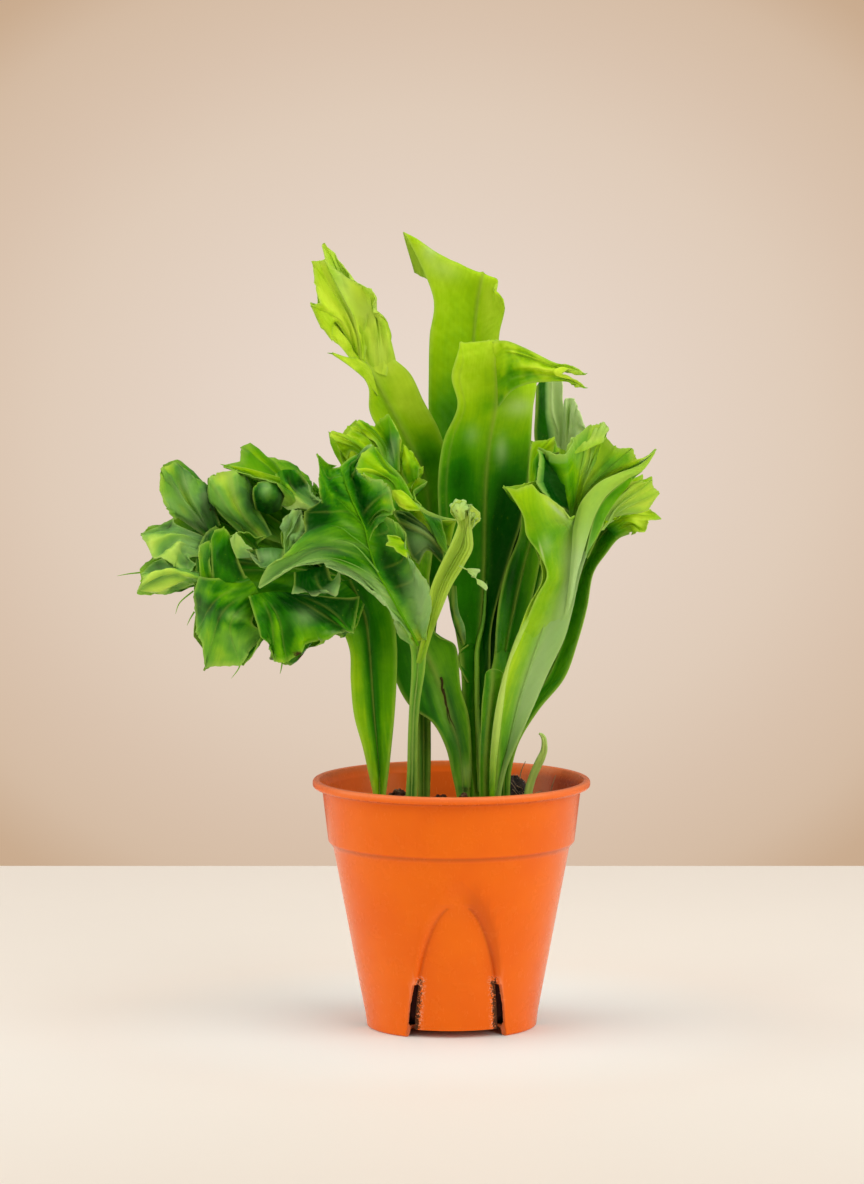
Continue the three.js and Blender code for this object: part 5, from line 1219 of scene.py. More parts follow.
def frond_front() -> Frond:
    """The frond in front of the middle: stem, fan, small bright lobe and the forked young frond.

    Returns:
        The frond, not yet built.
    """
    sheets = (
        Sheet((
            ((-19.8, 80, -14), (-17.4, 80, -12.8), (-15, 80, -14)),
            ((-19.8, 98, -14), (-17.4, 98, -12.8), (-15, 98, -14)),
            ((-19, 110, -14.6), (-17, 110, -13), (-14.8, 110, -14.6)),
            ((-18.6, 125, -15.6), (-16.8, 125, -13.6), (-14.8, 125, -15.6)),
            ((-18, 140, -17.4), (-16, 140, -15.4), (-13.8, 140, -17.4)),
            ((-17.2, 154, -20), (-14.6, 154, -18), (-11.6, 154, -20)),
            ((-17.8, 165, -23), (-14.6, 166, -21), (-10.4, 167, -23)),
            ((-22, 174, -26), (-16.4, 178, -23.6), (-9.2, 180, -26)),
        ), columns=6, rib=0.3, thick=(2.8, 2.8, 2.6, 2.4, 2.2, 2, 1.8, 1.6),
              tone=((0.25, 0.25, 0.4, 0.58), (0.35, 0.38, 0.45, 0.6), (0.08, 0.12, 0.4, 0.58)),
              pale=((0.05, 0.1), (0.15, 0.2), (0, 0.1))),
        Sheet((
            ((-21, 209, -34), (-17, 202, -34)),
            ((-22, 212, -44), (-19, 205, -43)),
            ((-22, 212, -47), (-24, 212.8, -48), (-27.6, 213, -50), (-27, 211, -51), (-28.2, 208.8, -51),
             (-25, 208, -49), (-23.6, 206.2, -48), (-21.4, 204.8, -46), (-19, 203.4, -45)),
        ), sharp=True, veins=False, frill=0.3, seed=13, tone=((0.65, 0.8), (0.5, 0.6), (0.55, 0.8))),
        Sheet((
            ((-15.4, 158, -20), (-12, 158, -20)),
            ((-12.6, 170, -27), (-10.4, 171, -26), (-8, 171, -27)),
            ((-10.2, 181, -32), (-7.6, 182, -30), (-4.6, 180, -32)),
            ((-9, 190, -36), (-5, 192, -33.6), (0, 191, -36)),
            ((-4.4, 201, -39), (0, 202, -36), (6, 201, -39)),
            ((-0.4, 209, -41), (4.6, 210, -38), (9.2, 208, -41)),
            ((2.8, 217, -42), (5.8, 217.6, -39), (8.6, 216, -42)),
            ((2.6, 220, -43), (-0.4, 222.6, -46), (0, 225.6, -48), (2.6, 228.4, -48), (6, 227.6, -46),
             (5.6, 223, -43), (6.4, 219.6, -41), (8, 222.6, -42), (6.8, 226.2, -45), (9, 226, -47),
             (12.4, 223, -47), (12.2, 219.4, -45), (8.8, 216.6, -42.6)),
        ), columns=12, sharp=True, ruffle=(0.5, 2, 0.1, 0.3), rib=0.5, rib_wide=0.6, frill=0.4, seed=14,
              tone=((0.6, 0.9, 1, 1), (0.5, 0.75, 0.85, 0.95), (0.6, 0.92, 1, 1)),
              pale=((0, 0.15, 0.2, 0.3),)),
        Sheet((
            ((-46.9, 242.7, -46), (-44.7, 235.4, -50), (-41.5, 226.6, -50), (-36.7, 217, -48),
             (-34.9, 208.2, -45), (-31.6, 197.9, -41), (-26.9, 189.5, -37), (-21.4, 179.5, -33),
             (-17, 171.4, -29), (-14.9, 167, -25.5)),
            ((-49.3, 242.3, -47), (-49.7, 236.1, -51.5), (-48.3, 228, -52), (-45.3, 220, -50),
             (-45.4, 211.9, -48.5), (-42.4, 204.5, -44.5), (-35.1, 194.2, -40), (-27.8, 183.2, -35.5),
             (-21.2, 173.6, -31), (-16, 167, -26.5)),
            ((-51.9, 242, -47.5), (-53.7, 236.1, -51.5), (-52.6, 228, -52), (-54.9, 219.2, -50),
             (-60, 209.7, -48), (-58.5, 205.3, -46), (-47.6, 200.5, -43), (-35.1, 190.6, -38.5),
             (-24.2, 177.3, -32.5), (-16.3, 167, -27)),
            ((-49.3, 243.3, -48), (-53, 243.9, -48), (-57.8, 248, -46), (-56.3, 242.3, -50),
             (-56.4, 236.8, -53), (-56.7, 231.7, -54), (-55.4, 227.3, -50), (-60, 224.7, -48),
             (-63.5, 222.9, -47), (-63.6, 219.2, -47), (-63.3, 214.1, -47), (-67.3, 209, -46),
             (-71, 204.8, -46), (-75.4, 202.3, -45), (-79.6, 198.7, -43), (-83.3, 190.6, -41),
             (-74.7, 196.2, -45), (-69.5, 198.1, -46.5), (-63.6, 199.9, -46.5), (-56.2, 203.8, -46),
             (-53.8, 200.5, -45), (-47.6, 198.1, -44), (-41.7, 194.2, -42), (-34.4, 188.2, -39),
             (-28.6, 184.5, -36), (-25.2, 179.2, -33.5), (-24.2, 173.3, -31), (-22.1, 168.8, -28),
             (-16.7, 165.2, -27)),
        ), columns=22, sharp=True, ruffle=(0.9, 5, 0.1, 0.4), relief=0.8, seed=126,
              tone=((0.35, 0.4, 0.45, 0.5), (0.35, 0.3, 0.36, 0.45), (0.4, 0.38, 0.22, 0.1),
                    (0.4, 0.36, 0.2, 0.03), (0.4, 0.32, 0.34, 0.42), (0.42, 0.34, 0.4, 0.52),
                    (0.45, 0.35, 0.42, 0.45), (0.5, 0.44, 0.45, 0.45), (0.55, 0.5, 0.45, 0.42),
                    (0.6, 0.6, 0.55, 0.4)),
              pale=((0, 0, 0, 0), (0, 0, 0, 0), (0, 0, 0, 0), (0, 0, 0, 0), (0, 0, 0.1, 0.1),
                    (0, 0.1, 0.3, 0.4), (0.1, 0.2, 0.6, 0.7), (0.1, 0.3, 0.6, 0.7), (0, 0.2, 0.4, 0.4),
                    (0, 0, 0.1, 0.2))),
        Sheet((
            ((-37.9, 217, -47.8), (-36.1, 208.2, -45.3), (-32.8, 197.9, -41.3), (-28, 189.5, -37.3),
             (-22.6, 179.5, -33.3), (-18.2, 171.4, -29.3), (-16, 167, -25.8)),
            ((-33.6, 218.5, -46), (-30, 209, -41.5), (-26.4, 200.1, -37.5), (-22.7, 191.3, -34.5),
             (-18.3, 182.5, -31.5), (-15, 173.6, -28), (-13.6, 167.4, -25.5)),
            ((-30.7, 220, -47), (-24.1, 211.2, -43), (-20.9, 203.1, -39.5), (-16.8, 194.2, -37),
             (-13.5, 184.7, -34), (-12.1, 175.1, -30.5), (-12.1, 167.5, -26)),
            ((-31.5, 219.2, -47), (-29.6, 221.6, -47.7), (-25.6, 220, -47.7), (-22.7, 217.6, -47),
             (-20.3, 213.9, -45), (-19, 206, -43.2), (-18.2, 202.9, -41.5), (-13.8, 197, -39.5),
             (-11, 193.5, -37.7), (-9.4, 189.7, -36), (-8.6, 182.5, -33), (-10.1, 174.7, -30),
             (-11, 167.7, -27)),
        ), columns=16, sharp=True, ruffle=(0.7, 4, 0.1, 0.4), seed=128,
              tone=((0.45, 0.35, 0.4, 0.5), (0.45, 0.25, 0.35, 0.45), (0.45, 0.08, 0.2, 0.4),
                    (0.5, 0.1, 0.3, 0.45), (0.55, 0.4, 0.4, 0.45), (0.55, 0.5, 0.45, 0.5),
                    (0.6, 0.65, 0.65, 0.6)),
              pale=((0, 0, 0, 0.1), (0, 0, 0.1, 0.1), (0, 0, 0, 0.1), (0, 0, 0.3, 0.5), (0, 0.2, 0.6, 0.6),
                    (0.1, 0.3, 0.5, 0.5), (0, 0, 0.1, 0.2))),
        Sheet((
            ((-48.1, 242.7, -46.6), (-45.9, 235.4, -50.6), (-42.6, 226.6, -50.6), (-37.9, 217, -48.6),
             (-36.1, 208.2, -45.6)),
            ((-43.8, 246.4, -43), (-43, 239.8, -47), (-39.1, 229.5, -48), (-35.1, 220.7, -47.5),
             (-33.7, 214.8, -46.5)),
            ((-38.7, 248.6, -40), (-41.7, 241.2, -48), (-35.1, 233.9, -52), (-29.6, 225.8, -52),
             (-31.8, 217, -49)),
            ((-46, 243.3, -46), (-40.2, 247.4, -41), (-34.9, 252, -36), (-33.3, 249.1, -39),
             (-36.8, 247.6, -44), (-40.9, 241.9, -49), (-38, 239.4, -51), (-34.7, 237.3, -52),
             (-30.3, 236.4, -53), (-26.3, 232.4, -53.5), (-25.5, 227.7, -53), (-24.7, 224, -52),
             (-25.6, 222, -51), (-28.4, 221.6, -50), (-30.7, 220, -49)),
        ), columns=16, sharp=True, ruffle=(0.6, 5, 0.1, 0.4), frill=1, seed=127,
              tone=((0.4, 0.4, 0.45, 0.5), (0.4, 0.05, 0.15, 0.4), (0.42, 0.02, 0.2, 0.45),
                    (0.42, 0.05, 0.35, 0.45), (0.42, 0.3, 0.4, 0.4)),
              pale=((0, 0, 0, 0.1), (0, 0, 0, 0.5), (0, 0, 0, 0.3), (0, 0, 0, 0.1), (0, 0, 0.1, 0.1))),
        Sheet((
            ((-16.3, 228.8, -38), (-19.4, 229.6, -40), (-22.6, 230.4, -42), (-25.4, 230.7, -44)),
            ((-21.5, 238.4, -40), (-24.8, 237.3, -45), (-28.1, 235.1, -46)),
            ((-26.5, 243.4, -40), (-30.3, 240.6, -46), (-34.1, 237.4, -50)),
            ((-30.3, 246.4, -39), (-31.9, 250.6, -40.1), (-33.6, 252.1, -41.2), (-36.3, 249.7, -43),
             (-39.1, 247.2, -46), (-41.1, 242.3, -49), (-40.4, 240.6, -50.5), (-38, 239.5, -51.2),
             (-34.4, 237.6, -52)),
        ), columns=10, sharp=True, ruffle=(0.5, 3, 0.1, 0.3), seed=121,
              tone=((0.4, 0.45, 0.55), (0.35, 0.45, 0.6), (0.4, 0.5, 0.7))),
        Sheet((
            ((-13.9, 224.9, -42), (-13.6, 223.6, -42)),
            ((-18.3, 229.9, -42), (-19.9, 227.4, -46), (-19.4, 224, -45)),
            ((-21.5, 232.6, -43), (-23.7, 233.4, -43.6), (-25.8, 232.7, -44.2), (-25.4, 230.4, -44.8),
             (-23.7, 227.4, -45.4), (-22.6, 225.7, -46)),
        ), sharp=True, veins=False, frill=0.3, seed=122, tone=((0.6, 0.75, 0.85), (0.7, 0.85, 0.95))),
        Sheet((
            ((7.3, 216.4, -41), (9.2, 215.9, -41)),
            ((7.5, 221.9, -46), (10.3, 220.8, -44)),
            ((6.7, 224.7, -46), (8, 226.6, -45.7), (9.4, 224.7, -45.3), (12, 223, -45), (12.4, 220.5, -44.7),
             (10.3, 219.2, -44.3), (9.5, 216.4, -44)),
        ), columns=10, sharp=True, ruffle=(0.5, 4, 0.1, 0.1), veins=False, seed=123,
              tone=((0.8, 0.9), (0.8, 0.9)), pale=((0.3, 0.8),)),
        Sheet((
            ((2.6, 219.2, -43), (5.9, 220.3, -43)),
            ((0.7, 223, -47), (3.1, 224.7, -50), (5.9, 223, -47)),
            ((-0.4, 224.1, -46), (0.1, 226.6, -45.8), (2, 228.1, -45.7), (4.5, 228.4, -45.5),
             (6.5, 226.9, -45.3), (7, 225.2, -45.2), (5.9, 223.6, -45)),
        ), columns=10, sharp=True, ruffle=(0.5, 4, 0.4, 0.1), veins=False, seed=124,
              tone=((0.8, 0.85), (0.8, 0.9)), pale=((0.3, 0.8),)),
        Sheet((
            ((6.7, 198.8, -38), (7, 197.1, -38)),
            ((9.2, 198.8, -38), (9.1, 195.2, -38)),
            ((12, 198.5, -37), (11.7, 197.1, -37), (10.3, 194.9, -37), (8.4, 195.2, -37)),
        ), columns=6, sharp=True, veins=False, seed=125, tone=((0.8, 0.9),), pale=((0.6, 0.9),)),
        Sheet((
            ((10.8, 194.3, -38), (11, 192.1, -38)),
            ((13, 193.5, -38), (12.8, 190.8, -38)),
            ((15.2, 191.6, -37), (15.6, 190.2, -37), (14.8, 189.1, -37)),
        ), columns=6, sharp=True, veins=False, frill=0.3, seed=129, tone=((0.8, 0.9),), pale=((0.6, 0.9),)),
    )
    tips = (
        Tendril(((-56.4, 245, -47), (-57.4, 246.6, -46), (-58.2, 248, -45.6))),
        Tendril(((-14.5, 165.5, -26.2), (-17.4, 171.4, -29.9), (-22, 179.5, -34), (-27.5, 189.5, -38),
                 (-32.2, 197.9, -42), (-35.4, 207.9, -46.2), (-37.5, 217, -49.4), (-42, 226.6, -51.4),
                 (-45.2, 234.6, -51.4), (-46.2, 239.8, -50)), 0.6, tone=0.42, edge=0),
        Tendril(((-31.5, 197.2, -42), (-35.1, 201.6, -44), (-38.8, 206, -46.4), (-42.4, 209, -48.4),
                 (-47.6, 210.7, -49.6), (-53.8, 210.1, -49)), 0.35, tone=0.5, edge=0.1, pale=0.2),
        Tendril(((-35.3, 206.7, -45.6), (-38.8, 209.7, -48), (-43.2, 213, -50), (-47.5, 216.3, -51),
                 (-52.3, 217.4, -50.6)), 0.3, tone=0.42, edge=0, pale=0.1),
        Tendril(((-37.3, 217, -49), (-40.2, 220, -50.6), (-43.9, 223.6, -51.8), (-47.5, 227.3, -52.6),
                 (-51.2, 230.2, -52.6)), 0.25, tone=0.35, edge=0),
        Tendril(((-27.5, 189.5, -38), (-34.4, 195.7, -40.8), (-41.7, 200.1, -43.6), (-50.5, 203.1, -45.4),
                 (-60.7, 203.1, -46.6)), 0.3, tone=0.5, edge=0.1, pale=0.25),
        Tendril(((3.4, 199.9, -41.5), (5.3, 198.9, -40), (7.3, 197.8, -38.4), (9.5, 195.9, -38),
                 (10.8, 194.1, -38), (12.8, 192.1, -38)), 0.3, tone=0.8, edge=0.2, pale=0.6),
    )
    # Patches of painted light and shade: a negative lift is painted shade, a positive lift and pale are
    # painted light and highlight; worn is real brown wear.
    spots = (
        Spot(-47.9, 231.3, 1.5, 5.5, -0.4, -50),
        Spot(-60, 221.1, 6.2, 5.5, -0.4, -20, 0, 0, -99, -40),
        Spot(-40.2, 234.3, 1.9, 6.2, -0.2, -8),
        Spot(-38.4, 222.2, 1.5, 6.6, -0.25, -15),
        Spot(-34.4, 203.1, 1, 8.8, -0.15, -20),
        Spot(-27.1, 197.2, 4, 9.5, -0.25, -25),
        Spot(-43.9, 217, 4.4, 1.3, 0.1, 35, 0.15),
        Spot(-45.4, 210.1, 8.1, 1, 0.12, 12, 0.2),
        Spot(-51.2, 206.7, 8.8, 1, -0.15, 14),
        Spot(-31.5, 191.3, 1.5, 8.1, 0.1, -38, 0.3),
        Spot(-24.2, 175.1, 1.8, 8.1, 0.1, -35, 0.35),
        Spot(-54.9, 197.9, 2.9, 2.2, -0.1),
        Spot(-47.6, 202, 9.5, 2.9, -0.16, 12, -0.35),
        Spot(-30, 185.4, 3.7, 4.4, 0.1, 0, 0.2),
        Spot(-28.5, 228, 1.5, 6.6, 0.12, -8),
        Spot(-60, 211.9, 4.4, 2.2, 0.1),
        Spot(-15.4, 169.2, 2.9, 3.7, 0.2),
        Spot(-35, 241.2, 6.9, 6, 0.12, 0, 0, 0, -99, 99),
        Spot(8.1, 225.8, 1.4, 1.1, 0, 0, 0, 0.5),
        Spot(2.6, 223.6, 1, 1, 0, 0, 0, 0.5),
        Spot(0.7, 215.3, 0.7, 1.1, 0, 0, 0, 0.6),
    )
    return Frond("frond_front", Slot.GREEN, Look.OLIVE, sheets, tips, spots=spots)


def frond_middle() -> Frond:
    """The broad middle frond with the bright crest.

    Returns:
        The frond, not yet built.
    """
    sheets = (
        Sheet((
            ((2.6, 80, -2), (5.2, 80, -0.6), (7.8, 80, -2)),
            ((2.6, 98, -2), (5.2, 98, -0.6), (7.8, 98, -2)),
            ((0.4, 109, -2), (4.6, 109, 0.4), (8.6, 109, -2)),
            ((-2.4, 121, -1.6), (3.4, 121, 1.6), (8.6, 121, -2)),
            ((-8.4, 132, 1), (0, 133, 2.6), (7.4, 135, -1)),
            ((-18, 139, 4), (-3.4, 145, 3.4), (4, 147, 0)),
            ((-24, 150, 6), (-7, 155, 4), (3, 158, 0)),
            ((-27, 164, 7), (-12, 166, 3.4), (1.6, 165.4, 0)),
            ((-31, 182, 7), (-18, 183, 2), (-6.8, 170.4, -1)),
            ((-34, 203, 5), (-24, 206, -1), (-10, 202, -3)),
        ), rib=0.5, rib_wide=1.4, thick=(3, 3, 2.8, 2.6, 2.2, 1.9, 1.6, 1.4, 1.2, 1.1), seed=21,
              tone=((0.35, 0.35, 0.2, 0.2, 0.3), (0.6, 0.6, 0.5, 0.35, 0.35), (0.5, 0.45, 0.5, 0.3, 0.2)),
              pale=((0, 0), (0.2, 0), (0, 0))),
        Sheet((
            ((-32, 192, 2.6), (-22, 196, -1), (-10, 192, -2.2)),
            ((-40, 221, -8), (-32, 230, -14), (-20, 224, -16), (-6, 213, -13)),
            ((-44.6, 242, -12), (-47.6, 250, -8), (-52.4, 257.6, -4), (-46.4, 256.4, -8), (-44, 260, -12),
             (-41, 262.8, -13), (-37.4, 260.6, -10), (-33.6, 259.4, -7), (-30, 262.6, -8), (-26.6, 265, -11),
             (-23.4, 260, -17), (-21.6, 254, -20), (-21.4, 247, -18), (-20.4, 242, -14), (-16.4, 242, -12),
             (-11.8, 242.2, -12), (-15, 238, -14), (-10.6, 236.4, -16), (-17, 233, -19), (-16.4, 228.4, -22),
             (-13, 225.6, -24), (-10, 221.8, -24), (-4.4, 220.4, -23), (1.6, 219.6, -21), (-1.6, 208, -17)),
        ), columns=24, sharp=True, ruffle=(1.2, 4, 0.2, 0.35), seed=22,
              tone=((0.4, 0.6, 0.7), (0.5, 0.6, 0.8), (0.4, 0.7, 0.8))),
        Sheet((
            ((-16, 227.4, -28), (-12.8, 225.1, -26), (-8.9, 222.3, -24), (-4.5, 221.1, -22)),
            ((-11.9, 221.6, -30), (-8.9, 218.6, -33), (-3.7, 216.4, -26)),
            ((-8.4, 214.2, -30), (-5.6, 209.2, -29.4), (-3.2, 206, -28.8), (-1.2, 205.1, -28.2),
             (-2.1, 209.2, -27.6), (-2.6, 213.1, -27)),
        ), columns=10, sharp=True, veins=False, seed=131,
              tone=((0.7, 0.6, 0.6), (0.45, 0.4, 0.5), (0.5, 0.55, 0.7)), pale=((0.3, 0, 0.1),)),
        Sheet((
            ((-13.9, 225.5, -31), (-13.9, 224, -31)),
            ((-9.5, 223.3, -32), (-9.8, 221.6, -32)),
            ((-4.5, 221.3, -32), (-4.8, 220.2, -32)),
            ((1.8, 219.9, -33), (1.6, 219.4, -33)),
        ), columns=4, sharp=True, veins=False, frill=0.2, seed=132, tone=((0.85, 0.9),), pale=((0.3, 0.4),)),
        Sheet((
            ((-3.7, 200.4, -26), (-4.5, 205.4, -26), (-5.6, 209.2, -26)),
            ((-10.6, 206.5, -28), (-11.7, 213.7, -32), (-13.9, 219.2, -29)),
            ((-13.9, 200.4, -30), (-17.2, 203.7, -30.9), (-19.4, 210.9, -31.7), (-21, 216.4, -32.6),
             (-24.3, 220.8, -32.4), (-24.8, 223.6, -31.3), (-21.5, 223.6, -30.1), (-17.2, 221.9, -29)),
        ), columns=10, sharp=True, rib=0.4, seed=133, tone=((0, 0, 0), (0.02, 0.05, 0)),
              pale=((0, 0.08, 0),)),
        Sheet((
            ((-19.3, 235.1, -17), (-13.9, 238.4, -17)),
            ((-21.4, 240.6, -20), (-18.2, 243.9, -23), (-13.9, 241.7, -18)),
            ((-21.3, 245.6, -20), (-21.1, 249.4, -18.8), (-20.5, 252.2, -17.6), (-18.2, 250, -16.4),
             (-15.5, 246.7, -15.2), (-13.2, 241.7, -14)),
        ), sharp=True, veins=False, seed=134, tone=((0.4, 0.6, 0.7), (0.45, 0.6, 0.7))),
        Sheet((
            ((-34.1, 240.6, -22), (-30.3, 242.8, -22), (-27.6, 245.6, -22)),
            ((-42.4, 249.4, -20), (-38, 253.3, -24), (-33.6, 254.9, -19)),
            ((-45.1, 245.8, -16), (-48.9, 251.1, -15.1), (-51.9, 255.5, -14.2), (-51.4, 257.4, -13.3),
             (-48.4, 256.7, -12.4), (-45.1, 257, -12.9), (-43.4, 259.6, -14.7), (-41.5, 260.4, -16.7),
             (-38, 257.4, -19.3), (-34.1, 252.7, -22)),
        ), columns=12, sharp=True, ruffle=(0.5, 2, 0.1, 0.3), seed=135,
              tone=((0.35, 0.55, 0.8), (0.3, 0.5, 0.75), (0.4, 0.6, 0.8))),
        Sheet((
            ((-28.1, 241.7, -22), (-25.4, 241.7, -22), (-22.1, 240.6, -22)),
            ((-32.5, 252.7, -24), (-27.6, 252.2, -20), (-22.4, 253.3, -22)),
            ((-35.8, 254.9, -24), (-41, 261.5, -22.5), (-39.9, 262.6, -21), (-35.8, 261.2, -19.5),
             (-33, 260.1, -18), (-30.8, 262.6, -18.5), (-27, 265.2, -19), (-24.8, 260.4, -19.5),
             (-21.5, 254.9, -20)),
        ), columns=10, sharp=True, ruffle=(0.5, 2, 0.3, 0.3), seed=136,
              tone=((0.4, 0.5, 0.75), (0.2, 0.15, 0.55), (0.3, 0.35, 0.7))),
    )
    tips = (
        Tendril(((-4.6, 151.6, 1.8), (-3.9, 149.3, 1.4), (-4.1, 146.6, 1.2), (-3, 143.4, 1),
                 (-2.6, 140.2, 0.8), (-1.5, 137.5, 0.6), (-0.6, 133.8, 0.4), (0.7, 131.1, 0.2),
                 (1.9, 128.5, 0.2)), 0.5, tone=0, worn=1, edge=0),
        Tendril(((-3.5, 146.6, 1.2), (-2.8, 143.8, 1), (-2.1, 139.7, 0.8), (-1.7, 134.7, 0.6),
                 (-0.6, 131.1, 0.4)), 0.35, tone=0, worn=1, edge=0),
    )
    # Patches of painted light and shade: a negative lift is painted shade, a positive lift and pale are
    # painted light and highlight; worn is real brown wear.
    spots = (
        Spot(-45.8, 256.3, 5.2, 5.2, 0.2),
        Spot(-34.2, 254.2, 6.9, 6, 0.2),
        Spot(-24.3, 228.3, 4.3, 6, -0.15),
        Spot(-5.8, 219.7, 4.3, 8.6, -0.3),
        Spot(-22.2, 219.7, 6, 6, -0.2),
        Spot(-13.6, 211, 5.2, 6, 0.15, 0, 0.35),
        Spot(-0.1, 142, 1.8, 10.9, -0.22, -8),
        Spot(-9.4, 142, 1.3, 10.9, -0.25, -16),
        Spot(-4.9, 138.4, 0.9, 11.8, 0.12, -18, 0.1),
        Spot(-11.7, 231.3, 4.9, 3.8, -0.8),
        Spot(-25.4, 249.4, 1.9, 6, 0.05, 10, 0.45),
        Spot(-4.9, 160.1, 4.4, 5.2, 0.12),
        Spot(3, 126.5, 3.7, 14.8, -0.3, -10),
        Spot(7.1, 110, 2.2, 4.4, 0.2, 0, 0.3),
        Spot(6.3, 102.8, 4.4, 1.3, -0.4, 0, 0, 0.6),
        Spot(-10.8, 126.5, 3, 14.8, -0.25, -10),
    )
    return Frond("frond_middle", Slot.GREEN, Look.CREST, sheets, tips, spots=spots)


def frond_upper_left() -> Frond:
    """The long yellow-green frond that forks into the highest left crest.

    Returns:
        The frond, not yet built.
    """
    sheets = (
        Sheet((
            ((-14.6, 80, 9), (-12, 80, 10.4), (-9.4, 80, 9)),
            ((-14.6, 98, 9), (-12, 98, 10.4), (-9.4, 98, 9)),
            ((-14.8, 115, 10), (-12, 115, 12), (-9, 115, 10)),
            ((-14.8, 132, 12), (-12, 132, 14), (-9, 132, 12)),
            ((-15.4, 150, 13), (-12, 150, 15), (-9, 150, 13)),
            ((-16, 170, 13), (-11.6, 170, 15.6), (-7, 170, 13)),
            ((-17, 190, 13), (-11, 190, 16), (-4.6, 190, 13)),
            ((-18, 210, 12), (-10, 210, 16), (-2, 210, 12)),
            ((-20, 228, 10), (-10, 228, 15), (-1, 229, 11)),
            ((-24, 243, 7), (-13.6, 243, 13), (-2, 246, 10)),
            ((-30, 256, 4), (-20, 256, 11), (-5.6, 259, 10)),
            ((-35.2, 267, 2), (-26.4, 268, 9), (-12, 271, 9)),
            ((-35.6, 277, 1), (-32, 278, 7), (-17.6, 282.6, 8)),
            ((-41, 285.6, 0), (-38, 288.6, 5), (-25.8, 290, 7)),
        ), rib=0.4, rib_wide=1.8, thick=(2.8, 2.8, 2.6, 2.4, 2.2, 2, 2, 1.8, 1.6, 1.5, 1.4, 1.4, 1.3, 1.2),
              seed=31,
              tone=((0.1, 0.1, 0.12, 0.15, 0.2, 0.2, 0.25, 0.35, 0.5, 0.65, 0.75, 0.8, 0.85, 0.85),
                    (0.1, 0.1, 0.1, 0.1, 0.12, 0.15, 0.2, 0.3, 0.45, 0.55, 0.6, 0.65, 0.7, 0.75),
                    (0.05, 0.05, 0.05, 0.08, 0.12, 0.2, 0.25, 0.35, 0.5, 0.7, 0.85, 0.92, 0.92, 0.9))),
        Sheet((
            ((-39.6, 284, 1), (-35.4, 285.4, 5.4), (-23.6, 287.4, 7.4)),
            ((-47, 293.6, -5), (-44, 303, 1), (-34, 308, -1), (-26, 297, 6)),
            ((-49.6, 296.6, -8), (-54.6, 300.6, -9), (-58.6, 306.6, -9), (-60.8, 312.8, -7),
             (-57, 312.4, -4), (-57.4, 319, -4), (-59, 325.4, -7), (-59.8, 330.8, -9), (-56.4, 331, -6),
             (-54.2, 331.6, -2), (-54.8, 336.8, 0), (-54, 338.8, 2), (-51.2, 335.6, 3), (-47.6, 330.6, 2),
             (-44, 327, 0), (-41.8, 323.4, -2), (-38, 320, -5), (-34.6, 317.8, -8), (-33.2, 314.6, -9),
             (-33.2, 310.4, -6), (-30.8, 308, 0), (-28.8, 305.4, 4), (-27.2, 301.6, 7), (-26.2, 296.6, 8),
             (-25.8, 291.6, 8)),
        ), columns=24, sharp=True, ruffle=(1.1, 4, 0.4, 0.35), seed=32,
              tone=((0.8, 0.9, 0.92), (0.75, 0.85, 0.9), (0.8, 0.88, 0.9))),
        Sheet((
            ((-31.6, 273, 5), (-35, 286, 5)),
            ((-37.6, 280.6, 0), (-40, 289.4, 1)),
            ((-44, 286, -5), (-44.6, 289.8, -4)),
            ((-51, 290.8, -9), (-51.2, 291.8, -9)),
        ), columns=4, sharp=True, seed=33, tone=((0.8, 0.9),)),
        Sheet((
            ((-41.3, 291.9, 2), (-39, 289.1, 2), (-37.3, 289.1, 2)),
            ((-50.1, 304.9, -6), (-43.6, 307.7, -4), (-34.3, 304.9, 2)),
            ((-51, 296.5, -9), (-56.1, 303, -9.7), (-60.5, 311.9, -10.3), (-56.4, 313.1, -11),
             (-58.4, 321.6, -10), (-59.1, 329.9, -9), (-54.2, 331.1, -8), (-48.2, 326.2, -6.3),
             (-41.7, 322.1, -4.7), (-36.1, 318.4, -3), (-32.7, 313.2, -1.3), (-33.2, 306.7, 0.3),
             (-34.8, 298.4, 2)),
        ), columns=14, sharp=True, ruffle=(0.5, 2, 0.4, 0.3), rib=0.3, seed=141,
              tone=((0.75, 0.85, 0.9), (0.8, 0.9, 0.95), (0.75, 0.85, 0.9))),
        Sheet((
            ((-37.1, 288.1, 6), (-32.5, 283.5, 6), (-27.8, 281.6, 6)),
            ((-34.3, 296.5, 4), (-29.7, 294.7, 6), (-26, 290.9, 8)),
            ((-32.9, 304, 4), (-32.6, 308.6, 5), (-30.6, 307.2, 6), (-28.3, 303, 7), (-26.4, 296.5, 8),
             (-25.8, 290.9, 9)),
        ), sharp=True, veins=False, seed=142, tone=((0.8, 0.9, 0.85), (0.85, 0.95, 0.95))),
    )
    tips = (
        Tendril(((-50.6, 291.2, -9), (-52, 291.4, -9), (-53.4, 291.6, -9))),
    )
    # Patches of painted light and shade: a negative lift is painted shade, a positive lift and pale are
    # painted light and highlight; worn is real brown wear.
    spots = (
        Spot(-45.7, 301.4, 5.2, 8.6, 0.3),
        Spot(-35, 310, 6, 6.9, 0.3, 0, 0.25),
        Spot(-30.7, 292, 6, 9.5, 0.22, 0, 0.2),
        Spot(-22.1, 271.4, 4.3, 10.3, 0.15, -15),
        Spot(-5, 245.5, 5.2, 9.5, -0.25, -15),
        Spot(-47.3, 297.9, 2.8, 5.6, -0.3, 40, 0, 0, 0.5),
        Spot(-13, 246.2, 5.6, 11.2, -0.25, 20),
        Spot(-46.4, 320.7, 3.7, 11.2, 0.05, -20, 0.3),
        Spot(-54.7, 338.7, 1.1, 1.1, 0, 0, 0, 0.5),
    )
    return Frond("frond_upper_left", Slot.BRIGHT, Look.YOUNG, sheets, tips, spots=spots)


